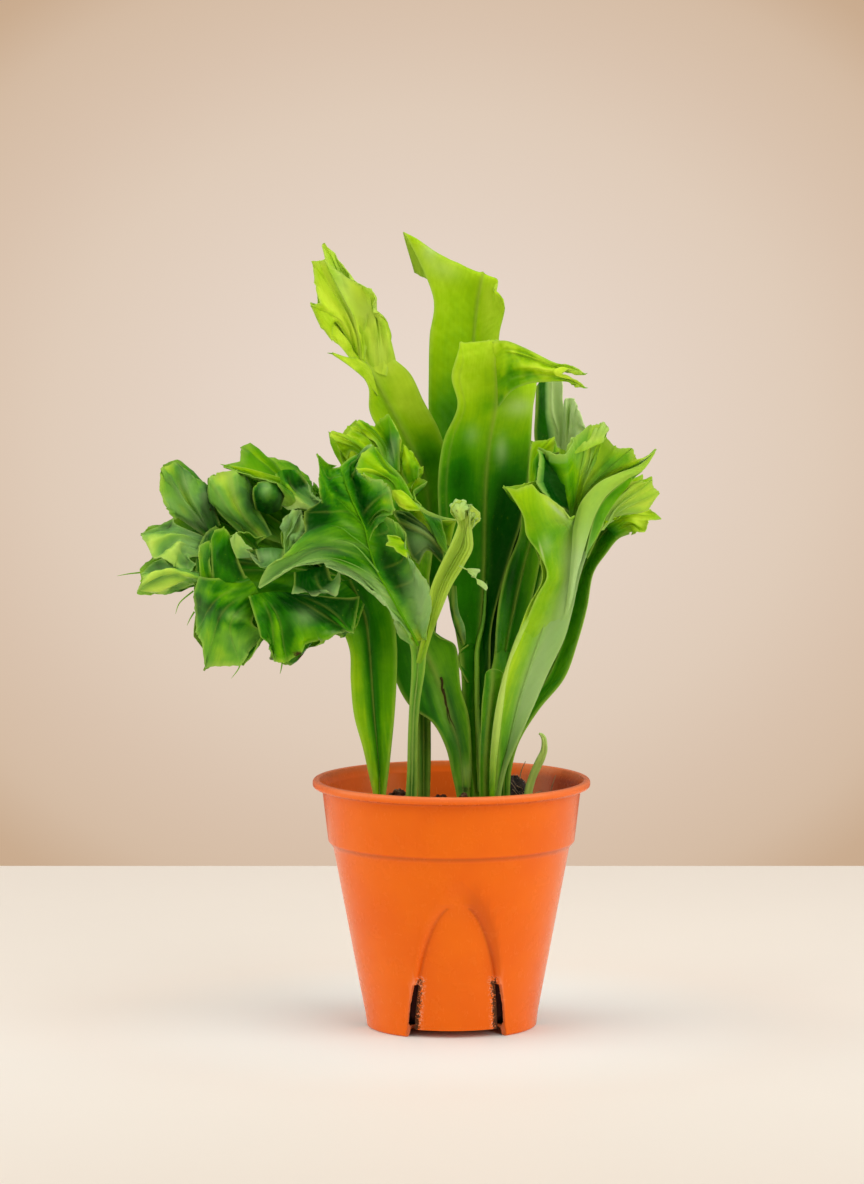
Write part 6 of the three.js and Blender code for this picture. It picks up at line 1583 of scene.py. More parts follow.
def frond_tall() -> Frond:
    """The tallest frond, with the slanting crest.

    Returns:
        The frond, not yet built.
    """
    sheets = (
        Sheet((
            ((5, 80, 17), (7.6, 80, 18.4), (10.2, 80, 17)),
            ((5, 98, 17), (7.6, 98, 18.4), (10.2, 98, 17)),
            ((4.6, 130, 19), (8.6, 130, 21), (12.6, 130, 19)),
            ((4, 165, 21), (10, 165, 24), (16, 165, 21)),
            ((1, 200, 22), (9, 200, 27), (17, 200, 22)),
            ((-6, 235, 22), (8, 235, 29), (18.6, 235, 23)),
            ((-9.6, 262, 22), (8, 262, 30), (20, 262, 24)),
            ((-9.8, 282, 22), (8.8, 284, 30), (20.4, 284, 24)),
            ((-9.4, 299, 21), (9.6, 300, 29), (20.4, 299, 24)),
            ((-8, 316, 20), (0, 316, 24), (11, 313, 28), (18, 309, 26), (22.4, 308, 23)),
            ((-20.6, 343.4, 12), (-14, 339.6, 14), (-8, 335.2, 17), (-2, 331.8, 20), (3, 329.6, 23),
             (8, 327.2, 25), (13, 325.2, 26), (17, 324, 26), (19.6, 322.4, 25), (18.4, 318.6, 24),
             (20.4, 316.6, 23), (22, 314.4, 22), (22.6, 311.4, 22)),
            ((-16, 326, 27), (-12, 324, 30), (-7, 322, 33), (-2, 320, 35), (2, 319, 37), (6, 318, 38),
             (10, 318, 38), (13, 318, 36), (15.4, 317.6, 33), (16.6, 316, 30), (18, 314.6, 28),
             (19, 313.4, 26), (20, 311.6, 25)),
        ), columns=12, sharp=True, rib=0.3, rib_wide=0.8,
              thick=(2.8, 2.8, 2.4, 2, 1.6, 1.4, 1.3, 1.2, 1.1, 1, 0.9, 0.9), seed=41,
              tone=((0.4, 0.4, 0.35, 0.3, 0.35, 0.5, 0.65, 0.72, 0.76, 0.8, 0.82, 0.82),
                    (0.4, 0.4, 0.35, 0.3, 0.3, 0.4, 0.55, 0.6, 0.66, 0.7, 0.78, 0.8),
                    (0.3, 0.3, 0.3, 0.25, 0.3, 0.45, 0.65, 0.8, 0.86, 0.86, 0.85, 0.85))),
    )
    # Patches of painted light and shade: a negative lift is painted shade, a positive lift and pale are
    # painted light and highlight; worn is real brown wear.
    spots = (
        Spot(-9.3, 335.7, 3.4, 3.4, 0.1, 0, 0.5),
        Spot(-4.6, 328.1, 7.5, 3.7, 0.1, 20, 0.25),
        Spot(15.9, 311.4, 4.7, 11.2, 0.15),
        Spot(-0.8, 264.9, 7.5, 11.2, -0.3),
        Spot(14, 325.3, 2.3, 0.9, 0, 20, 0, 0.5),
    )
    return Frond("frond_tall", Slot.BRIGHT, Look.YOUNG, sheets, spots=spots)


def frond_centre() -> Frond:
    """The central broad frond, with the folded flap to its right.

    Returns:
        The frond, not yet built.
    """
    sheets = (
        Sheet((
            ((10.2, 80, 4), (12.8, 80, 5.4), (15.4, 80, 4)),
            ((10.2, 98, 4), (12.8, 98, 5.4), (15.4, 98, 4)),
            ((8.4, 112, 3), (12.4, 112, 5.4), (15.6, 112, 3.4)),
            ((6, 128, 2), (11.4, 128, 5.4), (16, 128, 3)),
            ((4.8, 145, 1), (10.8, 145, 5), (16.8, 145, 2)),
            ((3.8, 158, 0), (11, 158, 4.4), (16.8, 158, 1)),
            ((1.6, 172, -3), (12, 172, 3.6), (17.2, 172, -1)),
            ((-1.6, 187, -6), (13, 187, 2), (20.4, 187, -1)),
            ((-4, 203, -8), (13.8, 203, 0), (25, 203, -4)),
            ((-5.4, 220, -10), (14.2, 220, -2), (30, 219, -8)),
            ((-5.8, 238, -12), (14.8, 238, -4.4), (33.2, 238, -10)),
            ((-3.4, 254, -14), (16.4, 254, -7), (34.2, 254, -11)),
            ((2.6, 269.6, -17), (19, 270, -10), (35, 268, -10)),
            ((0, 281.6, -20), (19, 281, -13), (36.4, 280, -4)),
            ((2, 289.6, -21), (18.6, 290, -15), (34, 286, 2)),
            ((3.4, 293.6, -20), (3.6, 296, -19), (7, 296, -18.6), (11, 296.4, -18), (15, 296.8, -17),
             (19, 297, -15.6), (22, 296.4, -13), (24, 295, -10), (26, 293.6, -6), (28, 292, -3),
             (30, 290.6, 0), (31, 289.4, 2.4), (32, 288, 4)),
        ), columns=12, sharp=True, rib=0.5, rib_wide=1.1,
              thick=(3, 3, 2.8, 2.4, 2, 1.8, 1.6, 1.5, 1.4, 1.3, 1.3, 1.2, 1.2, 1.1, 1, 0.9), seed=51,
              # The right line's tone near 0 in the lower half is painted shade and painted dark reflection.
              tone=(
              (0.4, 0.4, 0.35, 0.28, 0.2, 0.15, 0.15, 0.18, 0.2, 0.25, 0.36, 0.58, 0.78, 0.86, 0.88, 0.9),
              (0.45, 0.45, 0.45, 0.38, 0.33, 0.3, 0.28, 0.26, 0.26, 0.3, 0.38, 0.55, 0.68, 0.76, 0.84, 0.9),
              (0.4, 0.35, 0.25, 0.12, 0.05, 0.02, 0.02, 0.02, 0.03, 0.06, 0.22, 0.52, 0.72, 0.78, 0.85,
               0.9))),
        Sheet((
            ((19.2, 267, -9.2), (18.4, 282, -13.4), (17, 296.4, -16.6)),
            ((25.6, 275, -17), (25, 286, -20), (23.6, 296.8, -20)),
            ((32, 278, -24), (32, 286, -26), (31, 294, -24)),
            ((42, 279.2, -32), (43, 284, -34), (43, 288, -31)),
            ((49, 279.4, -37), (53, 278.6, -40), (55.4, 277.4, -42), (57.2, 276.6, -43), (55, 279, -43),
             (51.6, 280.4, -42), (47.6, 282.6, -40), (50.4, 284.6, -41), (54, 283.6, -43),
             (57.4, 282.4, -44), (54.6, 284.6, -43), (51, 285.8, -40), (48, 286.6, -37)),
        ), columns=12, sharp=True, thick=(1.1, 1.1, 1, 0.9, 0.8), seed=52,
              tone=((0.6, 0.7, 0.8), (0.7, 0.8, 0.85), (0.86, 0.88, 0.9))),
        Sheet((
            ((-1, 191.2, -7), (0.5, 191.2, -6.5), (2.1, 191.2, -6)),
            ((-0.6, 181.2, -9), (1, 180.8, -10), (3, 180.3, -7)),
            ((1.7, 172.1, -8), (3.3, 172.8, -9), (5.5, 173.8, -6)),
            ((4.8, 165.9, -4), (5.3, 165.6, -5), (6.2, 167.1, -3)),
        ), columns=6, rib=0.2, veins=False, seed=151,
              tone=((0.02, 0.02, 0.02, 0.05), (0.02, 0.05, 0.05, 0.1), (0.1, 0.3, 0.35, 0.15)),
              pale=((0, 0, 0, 0), (0, 0, 0, 0), (0, 0.4, 0.6, 0))),
        Sheet((
            ((7, 165.6, -1), (8.8, 165.6, 1), (11.1, 165.6, 3)),
            ((3.7, 163, -1), (6.9, 163, 1.5), (11.1, 163, 4)),
            ((2.8, 160.3, 0), (6.4, 160.3, 2), (10.8, 160.3, 4)),
            ((3.2, 156.6, 0), (6.4, 156.6, 2), (10.8, 156.6, 4)),
            ((4.8, 153, 0), (7.2, 153, 2.3), (10.6, 153, 4.6)),
            ((6.9, 149.3, 1), (8.3, 149.3, 3), (10.6, 149.3, 5)),
        ), veins=False, relief=0, seed=152, tone=((0.2, 0.2), (0.22, 0.22), (0.25, 0.3))),
        Sheet((
            ((14.9, 195.8, 1.4), (15.2, 195.8, 1.2), (15.5, 195.8, 1.4)),
            ((14.2, 188.5, 0.6), (14.6, 188.5, 0), (15.1, 188.5, 0.6)),
            ((13, 175.8, 1), (13.7, 175.8, 0.4), (14.4, 175.8, 1)),
            ((10.2, 163.9, 1.6), (11.1, 163.9, 1), (12, 163.9, 1.6)),
            ((10, 153, 1.8), (11, 153, 1.2), (12, 153, 1.8)),
            ((10.2, 134.7, 2), (11.1, 134.7, 1.4), (12.1, 134.7, 2)),
            ((10.8, 116.4, 2.4), (11.7, 116.4, 1.8), (12.7, 116.4, 2.4)),
            ((11.6, 101.8, 2.8), (12.4, 101.8, 2.2), (13.2, 101.8, 2.8)),
        ), columns=4, veins=False, thick=(0.8, 1.2), relief=0.2, seed=153,
              tone=((0.4, 0.48, 0.52, 0.54, 0.54, 0.56, 0.56), (0.5, 0.58, 0.62, 0.64, 0.64, 0.66, 0.66),
                    (0.4, 0.45, 0.48, 0.5, 0.5, 0.52, 0.52)),
              pale=((0, 0.1), (0.1, 0.35), (0, 0.1))),
        # A dark sheet behind the frond at tone 0: painted shade that fills the gap behind it.
        Sheet((
            ((20, 237.3, 3), (27.2, 237.3, 4), (32.6, 237.3, 5)),
            ((19, 224.8, 4), (26.2, 224.8, 5.5), (30.8, 224.8, 7)),
            ((17.9, 213.4, 5), (24.6, 213.4, 7), (29.8, 213.4, 9)),
            ((17.4, 198.9, 5), (22.1, 198.9, 7), (25.9, 198.9, 9)),
            ((16.7, 183.3, 6), (19.8, 183.3, 7.5), (22.9, 183.3, 9)),
            ((15.4, 167.7, 6), (18, 167.7, 7.5), (20.6, 167.7, 9)),
            ((13.9, 152.1, 7), (16.4, 152.1, 8), (19.6, 152.1, 9)),
        ), columns=6, veins=False, seed=154, tone=((0, 0),)),
    )
    tips = (
        Tendril(((56.4, 282.6, -44), (57.4, 282.6, -44), (58.4, 283, -44))),
        Tendril(((56.4, 276.8, -43), (57.6, 276.6, -43), (58.6, 276.6, -43))),
    )
    # Patches of painted light and shade: a negative lift is painted shade, a positive lift and pale are
    # painted light and highlight; worn is real brown wear.
    spots = (
        Spot(3.6, 239.1, 5.6, 12.9, -0.3),
        Spot(7.9, 288.5, 11.2, 8.6, -0.15),
        Spot(3.6, 258.5, 5.2, 8.6, -0.08),
        Spot(20.9, 167.7, 6, 25.8, -0.2),
        Spot(15.5, 175.8, 2.7, 16.3, -0.15),
        Spot(26.1, 281.6, 5.6, 8.4, -0.25, 30),
        Spot(9.4, 289.1, 11.2, 5.6, 0.08),
        Spot(28.9, 268.6, 5.6, 3.7, 0.1, 0, 0.5),
        Spot(21.5, 249.9, 2.4, 5.1, 0.1, 0, 0.5),
        Spot(23.4, 213.5, 6.5, 28, -0.4),
        Spot(8.5, 256.5, 2.8, 3.7, 0.05, 0, 0.25),
        Spot(16.8, 269.5, 5.6, 3.7, -0.15),
        Spot(0.1, 290.9, 1.1, 1.1, 0, 0, 0, 0.5),
        Spot(53.1, 289.1, 2.3, 1.1, 0, 0, 0, 0.35),
    )
    return Frond("frond_centre", Slot.GREEN, Look.FRESH, sheets, tips, spots=spots)


def frond_right_inner() -> Frond:
    """The narrow dark frond between the centre and the right front.

    Returns:
        The frond, not yet built.
    """
    sheets = (
        Sheet((
            ((13.4, 80, -8), (15.6, 80, -6.6), (17.8, 80, -8)),
            ((13.4, 98, -8), (15.6, 98, -6.6), (17.8, 98, -8)),
            ((12.6, 112, -7), (16.4, 112, -4.6), (18.6, 112, -6)),
            ((13.4, 128, -6), (18.6, 128, -3), (20.6, 128, -4)),
            ((14.6, 146, -5), (21.6, 146, 0), (24, 146, -1)),
            ((18, 158, -2), (24.4, 158, 3), (28, 158, 2)),
            ((19.2, 173, 4), (27.4, 173, 8), (33, 173, 6)),
            ((20.8, 188, 6), (30.4, 188, 11), (37, 188, 8)),
            ((25.4, 203, 6), (33, 203, 12), (40, 203, 8)),
            ((31, 213, 7), (34.6, 212, 11), (39.6, 210, 9)),
            ((34, 219, 8), (35, 219.4, 9), (36.2, 219, 9)),
        ), rib=0.3, thick=(2.6, 2.6, 2.4, 2, 1.7, 1.5, 1.4, 1.3, 1.2, 1.1, 1), seed=61,
              tone=((0.55, 0.45, 0.35, 0.3, 0.4), (0.4, 0.35, 0.3, 0.25, 0.35), (0.35, 0.3, 0.3, 0.3, 0.5))),
        Sheet((
            ((19, 157.3, 2), (22.1, 157.3, 6), (26.3, 157.3, 4)),
            ((19, 167.7, -4), (23.7, 167.7, 2), (30.4, 167.7, 0)),
            ((20.2, 182.3, -8), (26.8, 182.3, -3), (34, 182.3, -5)),
            ((24.1, 200, -11), (30.9, 200, -7), (37.6, 198.9, -9)),
            ((29.3, 213.4, -14), (34.2, 213.4, -10), (40.1, 212.4, -12)),
            ((30.5, 223.8, -16), (34.9, 223.8, -12), (39.6, 222.8, -14)),
            ((33, 232.6, -17), (34, 233.3, -16.5), (35.4, 233.6, -16), (37.3, 232.9, -15.5),
             (38.5, 231.1, -15)),
        ), columns=12, sharp=True, rib=0.5, rib_wide=0.9, veins=False, seed=171,
              tone=((0.2, 0.3, 0.4, 0.55, 0.6), (0.3, 0.35, 0.35, 0.4, 0.45), (0.3, 0.35, 0.4, 0.45, 0.5),
                    (0.3, 0.45, 0.5, 0.5, 0.5))),
        Sheet((
            ((12.1, 99, -11.5), (14.6, 99, -11.5), (17.4, 99, -11.5)),
            ((12.1, 111.9, -12), (14.8, 111.9, -13), (18.1, 111.9, -12)),
            ((12.6, 127.4, -12), (15.7, 127.4, -14), (19.5, 127.4, -13)),
            ((13.3, 142, -13), (17.1, 142, -15), (21.2, 142, -14)),
            ((14.3, 150.2, -13), (18, 150.2, -15), (22, 150.2, -15)),
            ((14.5, 152.5, -13), (15.1, 153.9, -13.3), (16.2, 154.8, -13.7), (17.9, 155.3, -14),
             (19.7, 155.1, -14.3), (21.4, 154.3, -14.7), (22.6, 153, -15)),
        ), columns=10, sharp=True, rib=0.2, veins=False, frill=0, seed=172,
              tone=((0.25, 0.28, 0.3, 0.3, 0.32, 0.38), (0.32, 0.34, 0.32, 0.3, 0.3, 0.3),
                    (0.45, 0.5, 0.48, 0.42, 0.36, 0.28)),
              pale=((0, 0), (0, 0.05), (0, 0))),
    )
    # Patches of painted light and shade: a negative lift is painted shade, a positive lift and pale are
    # painted light and highlight; worn is real brown wear.
    spots = (
        Spot(27.4, 185.1, 5.2, 17.2, -0.22),
        Spot(20.9, 146, 4.3, 12.9, 0.12, 0, 0, 0, -99, 0),
        Spot(26.2, 198.7, 4.2, 15.7, -0.2, 10),
        Spot(35.5, 210.9, 0.7, 18.1, -0.1, 8, 0, 0.25),
    )
    return Frond("frond_right_inner", Slot.DARK, Look.DEEP, sheets, spots=spots)


def frond_right_front() -> Frond:
    """The right front frond with its cup of lobes.

    Returns:
        The frond, not yet built.
    """
    sheets = (
        Sheet((
            ((17.8, 80, -14), (19.3, 80, -12.4), (20.8, 80, -14)),
            ((17.8, 98, -14), (19.3, 98, -12.4), (20.8, 98, -14)),
            ((19, 110, -15), (21.1, 110, -12.4), (23.2, 110, -14)),
            ((20.2, 125, -17), (24.8, 125, -13), (29.4, 125, -15)),
            ((21.6, 140, -20), (28.4, 140, -14.6), (36, 140, -17)),
            ((24, 154, -23), (32.6, 154, -16.4), (42, 154, -19)),
            ((28, 168, -25), (37.4, 168, -18), (48.6, 168, -21)),
            ((33, 182, -26), (42.6, 183, -19), (52.4, 182, -22)),
            ((39, 194, -27), (46.6, 196, -19), (55.2, 195, -22)),
            ((38, 204, -28), (49, 207, -18), (58.6, 206, -22)),
        ), columns=10, rib=0.2, rib_wide=0.4, thick=(3, 3, 2.8, 2.4, 2, 1.8, 1.6, 1.5, 1.4, 1.2), seed=71,
              tone=((0.25, 0.3, 0.5, 0.72, 0.8, 0.7), (0.2, 0.25, 0.45, 0.58, 0.6, 0.6),
                    (0.15, 0.25, 0.4, 0.5, 0.55, 0.5), (0.2, 0.3, 0.45, 0.55, 0.55, 0.5)),
              pale=((0, 0, 0), (0, 0.1, 0.1), (0, 0.75, 0.85), (0, 0.6, 0.75))),
        Sheet((
            ((38.4, 200, -26), (44, 203, -20.6), (49, 205, -17.4)),
            ((34, 214, -31), (40, 218, -28), (48, 221, -20)),
            ((34.4, 218.6, -34), (31, 224.6, -38), (27, 229, -42), (21.8, 233.9, -46), (27.4, 234.2, -43),
             (32.6, 235.2, -39), (36, 236.6, -36), (38.6, 236.4, -34), (41, 234, -32), (43.6, 231, -30),
             (46, 228, -27), (48, 225, -24), (49.8, 222, -21)),
        ), columns=12, sharp=True, ruffle=(0.8, 3, 0.1, 0.4), seed=72,
              tone=((0.5, 0.5, 0.55), (0.55, 0.6, 0.65), (0.6, 0.6, 0.6))),
        Sheet((
            ((42, 200, -21.4), (47.6, 202, -17.4), (53, 204, -17)),
            ((36, 222, -9), (43, 224, -3), (52, 222, -5)),
            ((33, 233, -6), (33.6, 240, -4), (34.2, 247, -2), (35, 253.6, 1), (38, 252.6, 4), (41, 253.2, 6),
             (43.6, 255.4, 7), (46, 251, 7), (49, 249.6, 6), (53, 251, 5), (57, 248, 4), (60, 243, 2),
             (62, 236, -1)),
        ), columns=12, sharp=True, ruffle=(0.9, 3, 0.4, 0.4), seed=73,
              tone=((0.5, 0.6, 0.7), (0.4, 0.3, 0.6), (0.5, 0.5, 0.6))),
        Sheet((
            ((46.6, 202.4, -18.4), (51.6, 205, -16.6), (56.4, 204, -19.6)),
            ((48, 224, -26), (56, 232, -24), (62, 226, -18)),
            ((36.6, 250.4, -36), (39.4, 249.4, -37), (43, 248.8, -38), (48, 248.2, -38), (50.4, 251.6, -35),
             (53, 254.8, -32), (56, 256.8, -31), (59.6, 260, -30), (62.6, 260.6, -28), (65, 261.8, -26),
             (66.8, 259.4, -25), (66.2, 255.6, -26), (69, 251.8, -28), (73, 250.2, -30), (77.4, 250.6, -28),
             (79, 246.6, -26), (83, 247.4, -25), (87.8, 249.8, -22), (85, 245.6, -20), (82.6, 241, -18),
             (79, 238.6, -16), (74, 235.6, -15), (69.6, 231.6, -14), (66, 227, -14), (62.6, 221, -15)),
        ), columns=24, sharp=True, ruffle=(1.2, 4, 0.2, 0.4), seed=74,
              tone=((0.5, 0.55, 0.6), (0.55, 0.65, 0.7), (0.55, 0.6, 0.65), (0.6, 0.6, 0.6)),
              pale=((0.1, 0.1, 0.2), (0.1, 0.1, 0.1), (0.2, 0.1, 0), (0.6, 0.5, 0.4))),
        Sheet((
            ((52, 203, -17.6), (56, 204, -19.4), (58.6, 203, -21.6)),
            ((62, 222, -12), (68, 222, -20), (64.4, 215.4, -22)),
            ((78, 237.4, -7), (81.6, 239.4, -8), (82.6, 236.4, -10), (86.4, 237.8, -12), (86, 234.6, -14),
             (89.2, 231.4, -16), (87, 227.8, -18), (84.6, 224.8, -19), (81, 224.4, -20), (77, 223, -21),
             (73, 221.6, -22), (69.6, 220.6, -22), (66.4, 218.4, -22)),
        ), columns=12, sharp=True, ruffle=(0.8, 3, 0.1, 0.4), seed=75,
              tone=((0.5, 0.6, 0.8), (0.5, 0.65, 0.85))),
        Sheet((
            ((49, 247.2, -33), (55.6, 249, -31), (65.3, 253.3, -29)),
            ((49.6, 251.4, -31), (58, 253.9, -29.5), (65.9, 256.3, -28)),
            ((50.5, 253.3, -29), (52, 255.1, -28.6), (55.6, 256.6, -28.2), (57.4, 259, -27.9),
             (59.8, 259.9, -27.5), (62.2, 260.6, -27.1), (64.6, 261.7, -26.8), (66.9, 260.2, -26.4),
             (67.2, 257.5, -26)),
        ), columns=14, sharp=True, ruffle=(0.6, 6, 0.1, 0.2), veins=False, seed=151,
              tone=((0.7, 0.85), (0.75, 0.9)), pale=((0.1, 0.5),)),
        Sheet((
            ((33, 235.1, -24), (36.4, 237.5, -24), (38.8, 244.2, -24)),
            ((33.3, 244.2, -22), (38.1, 248.4, -22)),
            ((34.5, 253.3, -21), (36.9, 253.9, -21), (41.1, 254.2, -21), (43.9, 255.4, -21),
             (44.2, 252, -21), (43.6, 248.9, -21)),
        ), sharp=True, veins=False, seed=155, tone=((0.65, 0.75), (0.6, 0.75))),
        Sheet((
            ((29.1, 167.6, -23.5), (34.4, 167.6, -19.5), (39.8, 167.6, -16.5), (44.6, 168.2, -18),
             (48.8, 169.4, -20.5)),
            ((32.9, 177.8, -26.6), (38, 177.8, -22.4), (42.8, 178.1, -19.8), (47.2, 179.1, -21),
             (51.2, 180.9, -22.6)),
            ((36.8, 186.9, -29.4), (41, 186.9, -25.4), (45.2, 187.5, -22.4), (49.4, 188.7, -23),
             (53.2, 189.9, -24.4)),
            ((41, 195.1, -31), (44, 194.7, -28), (47.6, 194.7, -24), (50.8, 195.3, -23.5),
             (54.4, 197.1, -24.5)),
            ((38, 204.3, -34), (42.2, 204.3, -32), (46.9, 204.9, -27), (51.7, 205.5, -24),
             (56.3, 204.3, -23)),
            ((32.1, 213.3, -40), (39.1, 213.9, -38), (45.7, 215.1, -33), (51.1, 215.7, -28),
             (56.2, 213.9, -24)),
            ((30.6, 221.7, -45), (36.1, 222.3, -44), (42.1, 221.7, -40), (49.3, 219.3, -34),
             (54.3, 219.9, -27)),
            ((23.6, 233.7, -50), (27.8, 232.9, -48.8), (31.1, 234.1, -47.6), (34.7, 235.1, -46.2),
             (37.6, 231.7, -44.6), (40.9, 230.1, -43), (43.5, 228.1, -41.8), (46.3, 225.9, -40.6),
             (48.7, 223.7, -38.8), (50.7, 220.5, -36.4), (52.9, 221.7, -34)),
        ), columns=16, sharp=True, veins=False, frill=0.25, seed=161,
              tone=((0.62, 0.62, 0.6, 0.55, 0.5, 0.62, 0.7), (0.62, 0.62, 0.62, 0.6, 0.52, 0.55, 0.68),
                    (0.6, 0.6, 0.6, 0.6, 0.5, 0.6, 0.85), (0.62, 0.62, 0.62, 0.62, 0.56, 0.6, 0.8),
                    (0.6, 0.6, 0.6, 0.55, 0.5, 0.5, 0.6)),
              pale=((0, 0, 0, 0), (0.05, 0, 0, 0), (0.4, 0.15, 0, 0.1), (0.7, 0.6, 0.1, 0.3),
                    (0.6, 0.5, 0.3, 0))),
        # The cup's inner wall, its tone near 0: painted shade of the hollow.
        Sheet((
            ((46.2, 249.2, -36), (47.8, 240.4, -33), (48.9, 232.1, -31), (50.6, 222.8, -26)),
            ((41.6, 248.4, -36), (43.2, 240.4, -34), (43.7, 233.1, -33), (48.4, 224.3, -29)),
            ((36.8, 250.2, -38), (38, 247.1, -39), (37.3, 241.4, -40), (36.6, 235.7, -41),
             (39.3, 231.6, -40), (43.2, 227.4, -37), (47.3, 223.8, -32)),
        ), columns=12, sharp=True, veins=False, frill=0.25, relief=0.4, seed=165,
              tone=((0.05, 0.05, 0.3, 0.6), (0, 0, 0.05, 0.5), (0, 0, 0, 0.4)), pale=((0, 0, 0, 0.2),)),
        Sheet((
            ((48.2, 176.6, -21), (49.2, 176.9, -21), (50.1, 177.4, -20.6)),
            ((49.6, 185.1, -24), (50.8, 185.4, -24.6), (52.2, 186, -23.6)),
            ((50.8, 194.7, -26.5), (52.3, 194.7, -27), (54.1, 196.5, -26)),
            ((51.7, 206.7, -29), (54.1, 206.7, -30), (56.7, 205.7, -28)),
            ((52.6, 217.5, -31), (55.5, 216.9, -32), (59.5, 215.1, -29)),
            ((55.5, 227.1, -32), (58.8, 225.9, -33), (62.2, 222.9, -30)),
            ((62.4, 235.2, -31), (64.8, 232.5, -31), (66.6, 230.1, -29)),
            ((71.9, 240, -28), (73.7, 238.5, -28), (74.9, 236.9, -26)),
            ((80.9, 243.6, -24.5), (82.1, 242.7, -24.5), (82.7, 241.5, -24)),
            ((87.2, 249.1, -22.5), (87.3, 249, -22.5), (87.4, 248.9, -22.5), (87.4, 248.7, -22.5),
             (87.4, 248.4, -22.5)),
        ), columns=10, sharp=True, veins=False, frill=0, seed=162,
              tone=((0.72, 0.72, 0.75, 0.8), (0.6, 0.62, 0.65, 0.75)),
              pale=((0.7, 0.45, 0.3, 0.25, 0.2), (0.7, 0.4, 0.25, 0.2, 0.1))),
        Sheet((
            ((57.5, 204.3, -26), (58.3, 205.5, -25), (59.1, 206.7, -24)),
            ((59.8, 215.1, -27), (61.5, 214.5, -25.5), (63.4, 213.9, -24)),
            ((62.4, 223.5, -28), (64.8, 222.9, -26), (66.6, 221.1, -24)),
            ((66.9, 230.1, -28), (69.3, 229.5, -26), (71, 228.1, -24)),
            ((73.1, 235.5, -26), (75, 235.2, -24.5), (76.9, 235.5, -23)),
            ((75.5, 237.3, -25), (76.2, 237.8, -24.5), (76.9, 238.1, -24), (77.3, 237.8, -23.5),
             (77.4, 237.2, -23)),
        ), columns=10, sharp=True, veins=False, seed=163,
              tone=((0.35, 0.3, 0.3, 0.5), (0.45, 0.4, 0.4, 0.5), (0.55, 0.5, 0.5, 0.6))),
        Sheet((
            ((64.2, 215.1, -22), (65.4, 215.7, -20.5), (66.6, 217.5, -19)),
            ((67.8, 226.6, -22), (71.4, 224.2, -23), (72.6, 221.2, -20)),
            ((70.2, 230.3, -23), (76.2, 235.7, -22.8), (81.6, 236.9, -22.6), (82.9, 235.7, -22.4),
             (86.3, 237.2, -22.2), (86.4, 233.9, -22), (89.2, 231.5, -21.6), (85.9, 227.2, -21.2),
             (84.7, 224.8, -20.8), (78.6, 223.6, -20.4), (73.2, 221.7, -20)),
        ), columns=12, sharp=True, ruffle=(0.5, 2, 0.2, 0.3), seed=153,
              tone=((0.6, 0.7, 0.8), (0.55, 0.7, 0.8), (0.5, 0.65, 0.85)), pale=((0.3, 0.35, 0.1),)),
        Sheet((
            ((35.7, 183, -24.6), (36.3, 182.7, -25), (36.8, 182.3, -24.2)),
            ((29.2, 171.7, -24.8), (30, 171.2, -25.6), (30.8, 170.7, -24.4)),
            ((24, 157.5, -22.6), (24.8, 157.4, -23.4), (25.7, 157.2, -22)),
            ((19.9, 142, -20.4), (21.3, 141.9, -21.4), (22.7, 141.8, -19.8)),
            ((17.5, 125.6, -18.4), (19.2, 125.5, -19.6), (20.6, 125.4, -17.6)),
            ((16.6, 111.9, -17), (18, 111.9, -18), (19.2, 111.9, -16)),
            ((16.6, 99.9, -15.6), (17.5, 99.9, -16.2), (18.5, 99.9, -15)),
        ), columns=4, veins=False, thick=(0.9, 1), seed=164,
              tone=((0.6, 0.75, 0.8, 0.8, 0.75, 0.6, 0.4), (0.6, 0.85, 0.95, 0.95, 0.9, 0.75, 0.5)),
              pale=((0.1, 0.4, 0.5, 0.5, 0.4, 0.2, 0),)),
    )
    # Patches of painted light and shade: a negative lift is painted shade, a positive lift and pale are
    # painted light and highlight; worn is real brown wear.
    spots = (
        Spot(41.2, 238.7, 4.2, 8.5, -0.9, -20, -0.9, 0, -37, 99),
        Spot(49.6, 237.5, 3.6, 8.5, 0.1, -20, -0.8, 0, -37, 99),
        Spot(45.1, 224.2, 0.8, 5.1, 0.1, -48, 0.8, 0, -99, -30),
        Spot(42.4, 232.7, 1.8, 3.6, 0.08, -30, 0.2, 0, -99, -38),
        Spot(51, 202.4, 4.3, 9.5, 0.08, 0, 0.35),
        Spot(34.8, 146, 5.2, 17.2, 0.12, 15, 0.3),
        Spot(23.1, 150.4, 4.3, 17.2, 0.15, 10),
        Spot(81, 228.3, 8.6, 6, 0.15),
        Spot(66.5, 245.4, 3, 5.4, -0.2, 20),
        Spot(58.1, 242.4, 1.8, 7.3, 0.1, 10, 0.2, 0, -45, 99),
        Spot(51.8, 232.7, 1.2, 9.7, -0.2, -10, 0, 0, -40, 99),
        Spot(40.6, 209.1, 2.4, 4.2, 0.05, 0, 0.3, 0, -99, -20),
        Spot(53.8, 247.2, 0.7, 2.4, 0, 60, 0, 0.45, -33, 99),
        Spot(61.6, 257.5, 2.4, 0.6, 0, 50, 0, 0.4),
        Spot(38.8, 206, 0.4, 3.6, 0.3, -15, 0.9, 0, -99, -20),
        Spot(54.6, 198.7, 3.6, 18.1, 0, 12, 0.35),
    )
    return Frond("frond_right_front", Slot.GREEN, Look.OLIVE, sheets, spots=spots)


